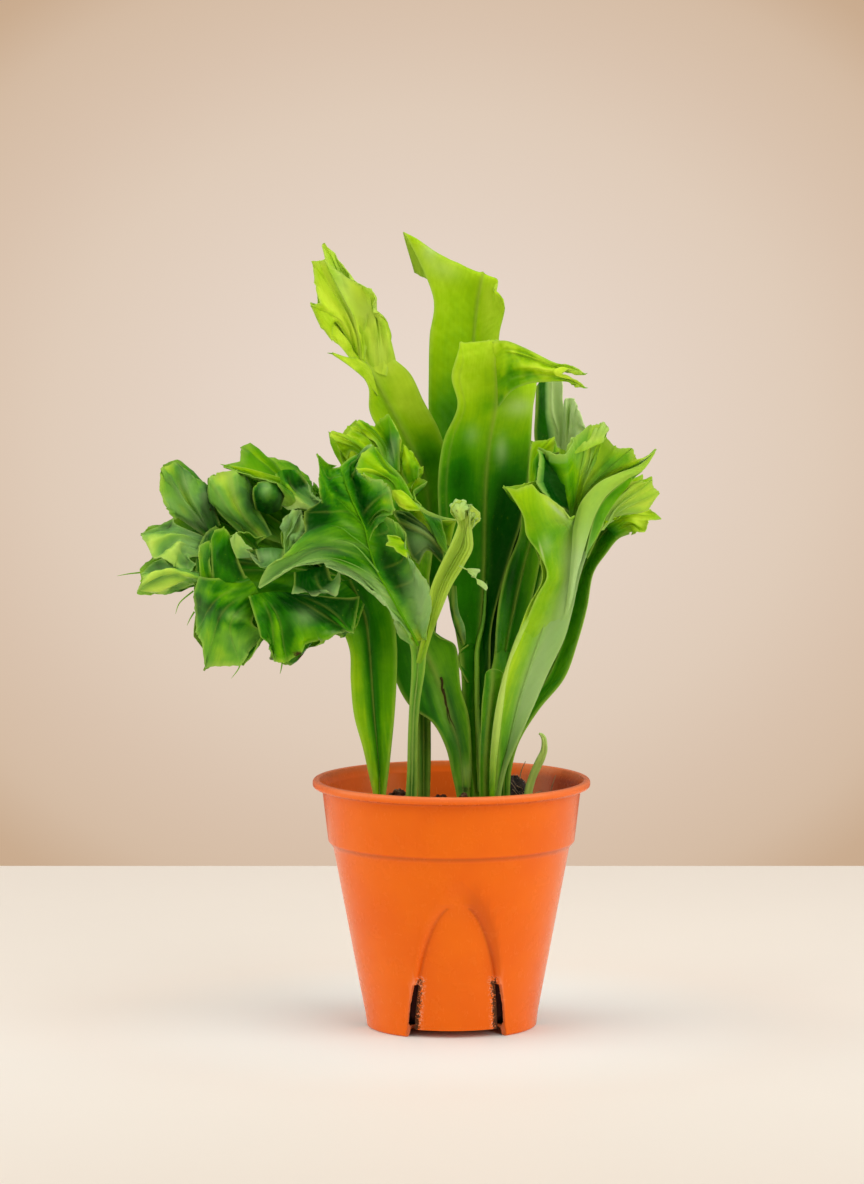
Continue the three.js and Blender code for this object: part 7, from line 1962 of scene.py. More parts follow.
def frond_right_back() -> Frond:
    """The dark right frond that leans out furthest right.

    Returns:
        The frond, not yet built.
    """
    sheets = (
        Sheet((
            ((20, 80, 5), (22.6, 80, 6.4), (25.2, 80, 5)),
            ((20, 98, 5), (22.6, 98, 6.4), (25.2, 98, 5)),
            ((20, 110, 5), (23, 110, 7.4), (25.6, 110, 5)),
            ((21, 122, 5), (25, 122, 9), (28.6, 122, 6)),
            ((25, 137, 8), (31, 137, 12), (37.4, 137, 8)),
            ((33, 151, 12), (41, 150, 15), (48.6, 151, 10)),
            ((40, 166, 14), (48, 166, 18), (54.4, 167, 11)),
            ((44, 182, 16), (52, 182, 20), (58.4, 182, 12)),
            ((48, 196, 16), (56, 196, 20), (61, 196.6, 11)),
            ((52, 207, 14), (62, 209, 18), (66.4, 205, 8)),
            ((58, 217, 10), (68, 217, 12), (72.4, 212, 4)),
            ((66, 221, 8), (72, 220, 9), (76.6, 213.6, 2)),
        ), rib=0.3, thick=(2.8, 2.8, 2.6, 2.2, 1.9, 1.7, 1.5, 1.4, 1.3, 1.2, 1.1, 1), seed=81,
              tone=((0.2, 0.25, 0.22, 0.2, 0.3), (0.2, 0.28, 0.3, 0.25, 0.4), (0.2, 0.35, 0.4, 0.35, 0.6))),
        Sheet((
            ((62, 217, 9.4), (67, 216, 10.6), (71, 211.6, 4.6)),
            ((72, 223, 6), (76, 221, 3), (77.6, 214.6, -1)),
            ((76, 227, 8), (79.6, 228.4, 6), (83, 226.4, 4), (84.6, 224.4, 2), (87, 223, -1),
             (90, 220.4, -3), (87, 219.2, -3), (84.6, 218.4, -4), (83.6, 216.4, -5), (82.8, 215, -5),
             (81, 214, -5), (79, 213.6, -4), (77, 213.4, -2)),
        ), columns=12, sharp=True, ruffle=(0.8, 3, 0.1, 0.3), seed=82, tone=((0.5, 0.7, 0.85),)),
    )
    # Patches of painted light and shade: a negative lift is painted shade, a positive lift is painted light.
    spots = (
        Spot(66.6, 215.7, 6.6, 5.4, -0.25),
        Spot(79.9, 219.4, 5.4, 3.6, 0.2),
    )
    return Frond("frond_right_back", Slot.DARK, Look.DEEP, sheets, spots=spots)


def frond_back_right() -> Frond:
    """The pale blue-green frond at the back right.

    Returns:
        The frond, not yet built.
    """
    sheets = (
        Sheet((
            ((17.4, 80, 22), (20, 80, 23.4), (22.6, 80, 22)),
            ((17.4, 98, 22), (20, 98, 23.4), (22.6, 98, 22)),
            ((20, 125, 24), (23, 125, 26), (26, 125, 24)),
            ((25, 150, 26), (29, 150, 29), (33, 150, 26)),
            ((30, 175, 28), (35, 175, 32), (40, 175, 28)),
            ((35, 200, 28), (41, 200, 33), (47, 200, 28)),
            ((38, 225, 26), (44, 225, 31), (51, 225, 26)),
            ((37, 246, 22), (45.4, 246, 28), (54, 244, 22)),
            ((35.6, 256, 18), (46, 257, 25), (56, 254, 18)),
            ((36, 266, 15), (43, 266, 22), (49, 266, 20)),
            ((36.4, 277, 12), (42.6, 284, 16), (47.6, 279, 14)),
        ), rib=0.3, thick=(2.8, 2.8, 2.6, 2.4, 2, 1.8, 1.6, 1.4, 1.2, 1, 1), relief=0.5, seed=91,
              # The right part's tone up to 1 and pale up to 0.9 are painted light that makes up for the shade
              # this frond stands in.
              tone=((0.1, 0.1, 0.05, 0.05, 0.05), (0.1, 0.1, 0.08, 0.1, 0.1), (0.6, 0.8, 0.9, 0.95, 0.95),
                    (0.7, 0.9, 1, 1, 1), (0.65, 0.8, 0.9, 0.95, 1)),
              pale=((0, 0), (0, 0), (0.4, 0.8), (0.5, 0.9), (0.4, 0.85))),
        Sheet((
            ((47, 250, 25), (55, 248, 20)),
            ((47.8, 260, 19), (56.6, 258, 15)),
            ((48.2, 270, 14), (48.8, 272, 13), (50.6, 272.2, 13), (52.6, 271.8, 12), (53.2, 270, 12),
             (54.4, 267.4, 12), (55.4, 265, 12), (56.6, 261.4, 12), (57.6, 258.6, 12)),
        ), sharp=True, seed=92, tone=((0.75, 0.75),), pale=((0.6, 0.7),)),
    )
    return Frond("frond_back_right", Slot.PALE, Look.BLUE, sheets)


def sprout() -> Frond:
    """The small curled young shoot at the front right.

    Returns:
        The frond, not yet built.
    """
    sheets = (
        Sheet((
            ((31.4, 80, -6), (33, 80, -5), (34.6, 80, -6)),
            ((31.4, 98, -6), (33, 98, -5), (34.6, 98, -6)),
            ((31.8, 102, -6.2), (33.4, 102, -5.2), (35, 102, -6.2)),
            ((33, 106.6, -7), (34.6, 106.6, -6), (36.2, 106.6, -7)),
            ((34.8, 111.6, -8.4), (36.6, 111.6, -7.4), (38.4, 111.6, -8.4)),
            ((36.8, 116, -9.8), (38.6, 116, -8.8), (40.4, 116, -9.8)),
            ((38.6, 119.4, -11), (40, 119.6, -10), (41.3, 119.8, -11)),
            ((39.2, 122.4, -12.4), (40.2, 122.6, -11.4), (41.1, 122.8, -12.4)),
            ((39, 124.8, -13.4), (39.8, 125.2, -12.6), (40.5, 125.6, -13.4)),
            ((38.4, 126.2, -14), (38.8, 126.6, -13.6), (39.2, 127, -14)),
            ((37.8, 126.8, -14.4), (38, 127, -14.2), (38.2, 127.2, -14.4)),
        ), columns=6, thick=(2.4, 2.4, 2.4, 2.3, 2.2, 2.1, 2, 1.8, 1.5, 1.2, 0.9), seed=95,
              # Tone up to 1 and pale are painted light on the shoot, which stands in shade.
              tone=((0.9, 0.95, 1),), pale=((0.45, 0.6),)),
    )
    return Frond("sprout", Slot.BRIGHT, Look.FRESH, sheets)


# ---------------------------------------------------------------- pot


@dataclass
class Pot:
    """The moulded pot: rolled rim, collar, tapered body and three arched foot panels.

    Fields that their names don't explain:
        panel_turn: turn of the first panel from the front, in degrees.
        slot_widths: width of a slot at its foot and at its head.
        drain_circle: radius of the circle on which the drain holes lie.
        arch_line: the arch on the wall, by its height, its half-width at the foot and its power.
        panel_line: the arch on the panel, given in the same way.
        least_panel: the panel is never narrower than this share of the arch on the wall.
        fade_z: the heights between which the scooped face fades into the wall.
        sides: steps round.
    """

    height: float = 107.5
    rim_radius: float = 60.0
    rim_inner_radius: float = 57.0
    lip_depth: float = 3.4
    collar_top_radius: float = 56.1
    collar_foot_radius: float = 53.2
    collar_foot_z: float = 80.7
    body_top_z: float = 78.3
    foot_radius: float = 36.4
    body_slope: float = 0.188
    wall: float = 1.4
    floor_z: float = 3.2
    panel_turn: float = 3.6
    panel_foot_radius: float = 34.2
    panel_slope: float = 0.165
    slot_top_z: float = 25.0
    slot_widths: tuple[float, float] = (2.9, 1.7)
    drain_radius: float = 3.5
    drain_circle: float = 19.0
    panels: int = 3
    drains: int = 6
    arch_line: Point = (70.0, 20.6, 3.0)
    panel_line: Point = (59.5, 18.9, 1.8)
    least_panel: float = 0.36
    fade_z: tuple[float, float] = (53.0, 70.0)
    sides: int = 264

    def body_radius(self, z: Array) -> Array:
        """Outer radius of the tapered body at height z."""
        return self.foot_radius + self.body_slope * z

    def panel_radius(self, z: Array) -> Array:
        """Outer radius of a foot panel at height z."""
        return self.panel_foot_radius + self.panel_slope * z

    @staticmethod
    def arch(z: Array, line: Point) -> Array:
        """Half-width of a rounded arch at height z: half * sqrt(1 - (z / height)^power)."""
        height, half, power = line
        return half * np.sqrt(np.clip(1 - (np.maximum(z, 0) / height) ** power, 0, 1))

    def outer_arch(self, z: Array) -> Array:
        """The arch's line on the wall."""
        return self.arch(z, self.arch_line)

    def inner_arch(self, z: Array) -> Array:
        """The arch's line on the panel."""
        return self.arch(z, self.panel_line)

    def shell(self) -> tuple[Array, Array]:
        """The plain pot, turned from its profile; the rim's corners are quarter circles.

        Returns:
            Points and faces.
        """
        top, lip, w = self.height, self.height - self.lip_depth, self.wall
        neck, step, step_z = self.body_top_z, self.collar_foot_radius, self.collar_foot_z
        bend = np.radians(np.linspace(0, 90, 6))

        def corner(r: float, z: float, size: float, start: float) -> Array:
            """A quarter circle about (r, z), anticlockwise from the start angle."""
            a = bend + math.radians(start)
            return np.stack([r + size * np.cos(a), z + size * np.sin(a)], -1)

        body, low, collar = self.body_radius, self.foot_radius, self.collar_top_radius
        levels = np.linspace(6, neck - 0.5, 12)
        inside = np.linspace(neck - 0.8, self.floor_z + 3, 12)
        profile = np.concatenate([
            [[0, self.floor_z], [low - 3, self.floor_z], [low - 2.1, 0.2], [low - 1.8, 0]],
            [[low - 0.7, 0]], corner(low - 0.5, 1.1, 1.1, -90)[1:],
            np.stack([body(levels), levels], -1),
            [[body(neck) + 0.1, neck], [step - 0.6, step_z - 0.7]],
            corner(step - 0.5, step_z + 0.4, 0.6, -90)[1:],
            [[collar - 0.25, lip - 1.2], [collar + 0.3, lip - 0.35]],
            corner(self.rim_radius - 1.2, lip + 1.2, 1.2, -90),
            corner(self.rim_radius - 1.3, top - 1.3, 1.3, 0),
            corner(self.rim_inner_radius + 0.7, top - 0.7, 0.7, 90),
            [[collar - w + 0.3, lip - 0.6], [collar - w, lip - 1.4]],
            [[step - w, step_z + 0.6], [body(neck) - w, neck - 0.6]],
            np.stack([body(inside) - w, inside], -1),
            [[body(self.floor_z + 1.5) - w - 1.0, self.floor_z + 1.5], [0, self.floor_z + 1.5]],
        ])
        return turned(profile, self.sides)

    def panel_section(self, z: Array, half: Array) -> Array:
        """Radius of the scooped face.

        Inside the inner arch it is the panel. From the inner to the outer arch it rises to the
        wall by a quarter sine. Above the panel it fades into the wall.

        Args:
            z: heights.
            half: distance from the panel's middle line, as a share: 0 to 1 up to the inner
                arch, 1 to 2 on to the outer arch.

        Returns:
            Radius, and the distance from the middle line in millimetres.
        """
        out, wall = self.outer_arch(z), self.body_radius(z)
        low, high = self.fade_z
        fade = np.clip((z - low) / (high - low), 0, 1)
        deep = self.panel_radius(np.minimum(z, low)) * (1 - fade) + self.body_radius(high) * fade
        inner = np.maximum(self.inner_arch(z), out * self.least_panel)
        lift = np.clip((out * self.least_panel - self.inner_arch(z)) / np.maximum(out, 0.5), 0, 1)
        flat = np.clip(half, 0, 1)
        rise = np.clip(half - 1, 0, 1)
        ledge = deep + (wall - deep) * lift * ease(0, 1, flat)
        radius = ledge + (wall + 0.15 - ledge) * np.sin(rise * math.pi / 2)
        return np.stack([radius, flat * inner + rise * (out - inner)])

    def scoop(self, grow: float, lowest: float) -> tuple[Array, Array]:
        """The body taken out before a panel, or, grown by the wall, the pad that carries it.

        Its levels crowd towards the arch's top, where it closes fast.

        Args:
            grow: how far it stands out behind the scooped face and at its sides.
            lowest: height of its foot.

        Returns:
            Points and faces.
        """
        upper = 51 + 18.95 * np.linspace(0, 1, 30) ** 0.6
        levels = np.concatenate([[lowest], np.linspace(0.5, 50, 30), upper])
        share = np.concatenate([np.linspace(0, 1, 12), np.linspace(1, 2, 12)[1:]])
        share = np.concatenate([-share[:0:-1], share])
        z, s = np.meshgrid(levels, share, indexing="ij")
        radius, across = self.panel_section(z, np.abs(s))
        angle = np.sign(s) * (across + np.where(s == 0, 0, grow)) / radius
        outside = self.body_radius(z) + 5
        return closed_sheet(self.placed(radius - grow, angle, z), self.placed(outside, angle, z))

    @staticmethod
    def placed(radius: Array, angle: Array, z: Array) -> Array:
        """Points by radius, angle from the front and height."""
        return np.stack([radius * np.sin(angle), -radius * np.cos(angle), z], -1)

    def slot(self, side: float) -> tuple[Array, Array]:
        """A cutter outside the inner arch, as wide as the slot, which narrows upwards.

        Args:
            side: 1 for the right of the panel, -1 for the left.

        Returns:
            Points and faces.
        """
        levels = np.array([-2, 2, 6, 10, 14, 18, 21, self.slot_top_z - 1.5])
        z, s = np.meshgrid(levels, [-0.12, 0.88], indexing="ij")
        radius = self.panel_radius(z)
        foot, head = self.slot_widths
        width = foot + (head - foot) * np.clip(z / self.slot_top_z, 0, 1)
        angle = side * (self.inner_arch(z) + s * width) / radius
        return closed_sheet(self.placed(radius - 9, angle, z), self.placed(radius + 9, angle, z))

    def build(self, finish: bpy.types.Material) -> bpy.types.Object:
        """Cuts and joins the pot from its turned shell and the panels' cutters.

        Args:
            finish: the plastic.

        Returns:
            The piece.
        """
        turns = [self.panel_turn + 360 / self.panels * i for i in range(self.panels)]
        foot, under, floor = self.foot_radius, self.panel_foot_radius - 6, self.floor_z
        pot = self.solid("pot_moulding", [self.shell()])
        core = turned(np.array([[0, -5], [foot - 2, -5], [foot, 0.2], [self.body_radius(4) - 0.05, 4],
                                [self.body_radius(73) - 0.1, 73], [0, 73]]), self.sides)
        pads = self.solid("pads", self.spun_all(self.scoop(self.wall, floor), turns))
        self.cut(pads, self.solid("core", [core]), "INTERSECT")
        self.cut(pot, pads, "UNION")
        self.cut(pot, self.solid("scoops", self.spun_all(self.scoop(0, -4), turns)), "DIFFERENCE")
        feet = self.solid("feet", self.spun_all(self.scoop(self.wall + 1.0, -4), turns))
        ring = turned(np.array([[under, -4], [foot + 9, -4], [foot + 9, floor], [under, floor]]), 120)
        self.cut(feet, self.solid("ring", [ring]), "INTERSECT")
        self.cut(pot, feet, "DIFFERENCE")
        slots = [slot for t in turns for side in (1, -1) for slot in self.spun_all(self.slot(side), [t])]
        self.cut(pot, self.solid("slots", slots), "DIFFERENCE")
        drain = turned(np.array([[0, -1], [self.drain_radius, -1], [self.drain_radius, 8], [0, 8]]), 32)
        ways = np.radians(np.arange(self.drains) * 360 / self.drains)
        drains = [(drain[0] + (self.drain_circle * math.cos(a), self.drain_circle * math.sin(a), 0), drain[1])
                  for a in ways]
        self.cut(pot, self.solid("drains", drains), "DIFFERENCE")
        mesh = pot.data
        mesh.shade_smooth()
        mesh.set_sharp_from_angle(angle=math.radians(24))
        mesh.materials.clear()
        mesh.materials.append(finish)
        self.mark(mesh)
        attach(pot, "root")
        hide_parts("pot")
        return pot

    def from_panel(self, angle: Array) -> Array:
        """Angle from the middle of the nearest foot panel, for angles about the axis."""
        first, step = math.radians(self.panel_turn) - math.pi / 2, math.tau / self.panels
        return (angle - first + step / 2) % step - step / 2

    def mark(self, mesh: bpy.types.Mesh) -> None:
        """Holds on the mesh where the inside, the painted shade lines, the cut edges and the soil stains are.

        The distance to the inner arch's line is taken along the wall; each mark fades from its
        line as exp(-(distance / width)^2). The painted shade lines are the shadows under the collar and the
        lip, a shaded line along the inner arch and the shaded flank right of the arch, which runs from the
        inner arch to the outer one.

        Args:
            mesh: the pot's mesh, which is shifted to the pot's axis.
        """
        flat = np.empty(len(mesh.vertices) * 3, np.float32)
        mesh.vertices.foreach_get("co", flat)
        x, y, z = (flat.reshape(-1, 3).astype(float) / MM - (AXIS_X, 0, 0)).T
        radius = np.hypot(x, y)
        outer = np.where(z > self.collar_foot_z, self.collar_foot_radius + (z - self.collar_foot_z) * 0.12,
                         self.body_radius(z))
        inner = (radius < outer - 0.9) & (z > 70) & (z < self.height - 1.2)
        turn = self.from_panel(np.arctan2(y, x))
        from_line = np.abs(turn) * radius - self.inner_arch(z)
        low = 1 - ease(self.slot_top_z, self.slot_top_z + 3, z)
        under_collar, under_lip = self.collar_foot_z - 0.9, self.height - self.lip_depth - 0.3
        # Painted shadows under the collar and under the lip.
        lines = (0.6 * np.exp(-((z - under_collar) / 0.6) ** 2)
                 + 0.55 * np.exp(-((z - under_lip) / 0.6) ** 2)) * ~inner
        # Painted shade on the flank right of the arch.
        flank = from_line / np.maximum(self.outer_arch(z) - self.inner_arch(z), 0.5)
        flank = (0.3 * ease(-0.1, 0.25, flank) * ease(1.15, 0.85, flank) * ease(0, 0.14, turn)
                 * ease(24, 34, z) * ease(71, 60, z) * ~inner)
        # Painted shade along the inner arch.
        arch = 0.4 * np.exp(-((from_line - 0.3) / 0.9) ** 2) * (z < 58) * (1 - low)
        marks = {
            "inner": inner * 1.0,
            "shade_lines": np.clip(lines + flank + arch * (turn != 0), 0, 1),
            "stain": np.exp(-((from_line + 0.5) / 2.2) ** 2) * low * (0.75 + 0.25 * ease(30, 5, z)),
            "cut": np.exp(-((from_line - 2.6) / 0.7) ** 2) * low,
        }
        for name, value in marks.items():
            layer = mesh.attributes.new(name, "FLOAT", "POINT")
            layer.data.foreach_set("value", value.astype(np.float32))

    @staticmethod
    def spun_all(body: tuple[Array, Array], turns: Sequence[float]) -> list[tuple[Array, Array]]:
        """Copies of a body turned about the pot's axis, one for each turn in degrees."""
        return [(spun(body[0], turn), body[1]) for turn in turns]

    @staticmethod
    def solid(name: str, bodies: Sequence[tuple[Array, Array]]) -> bpy.types.Object:
        """One object of closed bodies whose faces are made to point out.

        Args:
            name: its name.
            bodies: the points and faces of each.

        Returns:
            The object.
        """
        skin = Skin()
        for points, faces in bodies:
            skin.add(points, faces)
        made = skin.piece(name, None)
        held = bmesh.new()
        held.from_mesh(made.data)
        bmesh.ops.recalc_face_normals(held, faces=held.faces)
        held.to_mesh(made.data)
        held.free()
        return made

    @staticmethod
    def cut(body: bpy.types.Object, tool: bpy.types.Object, operation: str) -> None:
        """Applies one Boolean and drops its tool.

        Args:
            body: the object that is cut or joined.
            tool: the other one.
            operation: the Boolean's operation.
        """
        step = body.modifiers.new(operation, "BOOLEAN")
        step.operation, step.object, step.solver = operation, tool, "MANIFOLD"
        graph = bpy.context.evaluated_depsgraph_get()
        body.data = bpy.data.meshes.new_from_object(body.evaluated_get(graph))
        body.modifiers.clear()
        bpy.data.objects.remove(tool)


# ---------------------------------------------------------------- soil and roots


def lump(centre: Array, size: Array, seed: int, rows: int = 6, columns: int = 9) -> tuple[Array, Array]:
    """A small rough stone-like body: a globe whose radius is swayed by three sine waves.

    Args:
        centre: its middle.
        size: half its width along x, y and z.
        seed: seed of the draw.
        rows: rings.
        columns: steps round.

    Returns:
        Points and faces.
    """
    draw = np.random.default_rng(seed)
    t, a, ball = globe(rows, columns)
    p, q, s = draw.uniform(0, math.tau, 3)
    sway = (1 + 0.16 * np.sin(2 * a + p) * np.sin(t) + 0.12 * np.sin(3 * a + q + 2 * t)
            + 0.1 * np.sin(4 * t + s) + draw.uniform(-0.08, 0.08, t.shape))
    rings = spun(ball * sway[..., None] * size, math.degrees(draw.uniform(0, math.tau)))
    return with_ends(rings) + centre, closed_rings(rows, columns)


@dataclass
class Soil:
    """The potting mix: a rough domed top, its side against the pot, and loose crumbs on top.

    Fields:
        pot: the pot that it fills.
        edge_z: height of its top at the wall.
        crown_z: height of its top in the middle.
        floor_gap: room above the pot's floor.
        side_slope: how fast its side widens within the collar.
        crumbs: how many crumbs are drawn.
        heaps: places where crumbs crowd, by x, y and spread.
        mounds: low mounds of the top, by x, y, height and width.
        strips: how many strips of bark are drawn.
    """

    pot: Pot
    edge_z: float = 91.0
    crown_z: float = 93.5
    floor_gap: float = 0.3
    side_slope: float = 0.112
    crumbs: int = 460
    heaps: tuple[Point, ...] = (
        (-23.5, -11, 6.5), (-23, 22, 6), (-5, 24, 4), (5.5, -7, 2.6), (14, 22, 5), (31, 26, 6),
        (27, 6, 8), (-31, 4, 6), (34, -10, 5))
    mounds: tuple[tuple[float, float, float, float], ...] = (
        (-23, 22, 6.5, 6), (-5, 24, 3.5, 4), (5.5, -7, 8, 3), (14, 22, 7, 5), (31, 26, 5, 6),
        (-40, 8, 3, 6), (40, -4, 3, 7))
    strips: int = 26

    def top(self, x: Array, y: Array) -> Array:
        """Height of the soil: a shallow dome, lumps drawn from sine waves, and small mounds.

        Args:
            x: places to the right of the pot's axis.
            y: places behind it.

        Returns:
            The height at each place.
        """
        radius = np.hypot(x, y)
        dome = self.crown_z + (self.edge_z - self.crown_z) * ease(10, 50, radius)
        rough = (0.7 * np.sin(x / 3.1 + 1.7 * np.sin(y / 4.3)) * np.sin(y / 2.7 + 1.3 * np.sin(x / 5.1))
                 + 0.5 * np.sin(x / 1.3 + y / 1.9) * np.sin(y / 1.1 - x / 2.3))
        heaped = sum(high * np.exp(-((x - mx) ** 2 + (y - my) ** 2) / wide ** 2)
                     for mx, my, high, wide in self.mounds)
        return dome + (rough * 0.8 + heaped) * ease(50.0, 46.0, radius)

    def inside(self, angle: Array, z: float) -> Array:
        """Radius of the pot's inner wall, less the clearance.

        Args:
            angle: angles about the axis.
            z: the height.

        Returns:
            The radius at each angle.
        """
        pot = self.pot
        if z > pot.collar_foot_z:
            wall = pot.collar_foot_radius + (z - pot.collar_foot_z) * self.side_slope
        else:
            wall = pot.body_radius(z)
        offset = np.abs(pot.from_panel(angle)) * wall
        out = float(pot.outer_arch(np.array(z)))
        inner = max(float(pot.inner_arch(np.array(z))), out * pot.least_panel)
        share = np.where(offset < inner, offset / max(inner, 0.01),
                         1 + (offset - inner) / max(out - inner, 0.01))
        radius = pot.panel_section(np.full(angle.shape, float(z)), np.clip(share - 0.08, 0, 2))[0]
        scooped = (z < 69) & (offset < out + pot.wall)
        return np.where(scooped, np.minimum(radius, wall), wall) - pot.wall - 0.75

    def build(self, finish: bpy.types.Material) -> bpy.types.Object:
        """Builds the soil with its crumbs in place of its plain node.

        Args:
            finish: the potting mix.

        Returns:
            The piece.
        """
        sides = 180
        angle = np.arange(sides) * math.tau / sides
        floor = self.pot.floor_z + 1.5 + self.floor_gap
        levels = [9, 20, 32, 44, 56, 70, 78, 83, self.edge_z - 0.6]
        rings = [np.stack([30 * np.cos(angle), 30 * np.sin(angle), np.full(sides, floor)], -1)]
        for z in levels:
            r = self.inside(angle, z)
            rings.append(np.stack([r * np.cos(angle), r * np.sin(angle), np.full(sides, z)], -1))
        edge = self.inside(angle, self.edge_z)
        for share in np.linspace(0.99, 0.01, 60):
            x, y = edge * share * np.cos(angle), edge * share * np.sin(angle)
            rings.append(np.stack([x, y, self.top(x, y)], -1))
        points = np.concatenate([np.concatenate(rings), [[0, 0, floor], [0, 0, self.crown_z]]])
        skin = Skin()
        skin.add(points, closed_rings(len(rings), sides), grain=0.3)
        self.scatter(skin)
        piece = skin.piece("potting_mix", finish, 70)
        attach(piece, "root")
        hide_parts("soil")
        return piece

    def scatter(self, skin: Skin) -> None:
        """Lays crumbs all over, thicker in the heaps, and short strips of bark.

        Args:
            skin: where they go.
        """
        draw = np.random.default_rng(14)
        for i in range(self.crumbs):
            if i % 2:
                x0, y0, spread = self.heaps[i // 2 % len(self.heaps)]
                x, y = x0 + draw.normal(0, spread / 2), y0 + draw.normal(0, spread / 2)
            else:
                r, a = 50 * math.sqrt(draw.uniform(0, 1)), draw.uniform(0, math.tau)
                x, y = r * math.cos(a), r * math.sin(a)
            if math.hypot(x, y) > 49.5:
                continue
            size = draw.uniform(0.5, 1.5) * np.array([1, draw.uniform(0.6, 1), draw.uniform(0.5, 0.9)])
            z = float(self.top(np.array(x), np.array(y))) + size[2] * 0.35
            points, faces = lump(np.array([x, y, z]), size, 100 + i, 5, 7)
            skin.add(points, faces, grain=draw.uniform(0, 1))
        for i in range(self.strips):
            r, a = 46 * math.sqrt(draw.uniform(0, 1)), draw.uniform(0, math.tau)
            x, y, turn = r * math.cos(a), r * math.sin(a), draw.uniform(0, math.tau)
            share = np.linspace(-1, 1, 7)
            reach = draw.uniform(1.5, 3.2)
            px, py = x + reach * share * math.cos(turn), y + reach * share * math.sin(turn)
            pz = self.top(px, py) + 0.5 + draw.uniform(0, 0.5) * share
            points, faces = tube(np.stack([px, py, pz], -1), 0.28 * np.sqrt(1.05 - share ** 2), 5)
            skin.add(points, faces, grain=draw.uniform(0.7, 1.0))


@dataclass
class RootClump:
    """The dark ball of roots and mix, with pale root hairs and straws that stand out of it."""

    centre: Point = (27.0, 14.5, 98.5)
    size: Point = (6.0, 5.4, 7.8)
    hairs: int = 34
    straws: tuple[tuple[Point, Point, Point], ...] = (
        ((29.5, 13, 104), (30.4, 12, 109), (32.2, 11, 113.5)),
        ((25.5, 11, 104.5), (25.2, 9, 108.5), (26.4, 8, 112)),
        ((42.4, 16, 94), (43.6, 15, 101), (45.4, 14, 107)),
        ((34, 12, 96), (36.6, 9, 99.6), (39.5, 8, 101)),
    )

    def build(self, finish: bpy.types.Material) -> bpy.types.Object:
        """Builds the clump in place of its plain node.

        Args:
            finish: the root mix.

        Returns:
            The piece.
        """
        draw = np.random.default_rng(5)
        skin = Skin()
        rows, columns = 40, 64
        t, a, ball = globe(rows, columns)
        sway = (1 + np.sin(t) * (0.12 * np.sin(3 * a + 2) + 0.08 * np.cos(5 * a - 3))
                + 0.07 * np.sin(7 * a + 5 * t) * np.sin(6 * t + a)
                + 0.05 * np.sin(15 * a) * np.sin(13 * t + 2 * a))
        rings = ball * sway[..., None] * self.size + self.centre
        skin.add(with_ends(rings), closed_rings(rows, columns), hair=0.0)
        for i in range(self.hairs):
            lean, turn = draw.uniform(0.15, 1.9), draw.uniform(0, math.tau)
            share = np.linspace(0, 1, 10)
            bow, reach = draw.uniform(0.3, 1.1), draw.uniform(0.95, 1.12)
            tilt, way = lean + bow * share, turn + 0.8 * share
            path = np.stack([np.sin(tilt) * np.cos(way), np.sin(tilt) * np.sin(way), np.cos(tilt)], -1)
            path = path * np.array(self.size) * (reach + 0.05 * np.sin(share * 9 + i))[:, None] + self.centre
            made, faces = tube(path, np.full(10, 0.16) * (1.1 - share), 5)
            skin.add(made, faces, hair=1.0)
        for straw in self.straws:
            path = curve(np.array(straw, float), np.arange(3.0), np.linspace(0, 2, 12))
            made, faces = tube(path, np.full(12, 0.3) * np.linspace(1.0, 0.5, 12), 6)
            skin.add(made, faces, hair=1.0)
        piece = skin.piece("root_ball", finish, 70)
        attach(piece, "root")
        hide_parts("root_clump")
        return piece


# ---------------------------------------------------------------- finishes


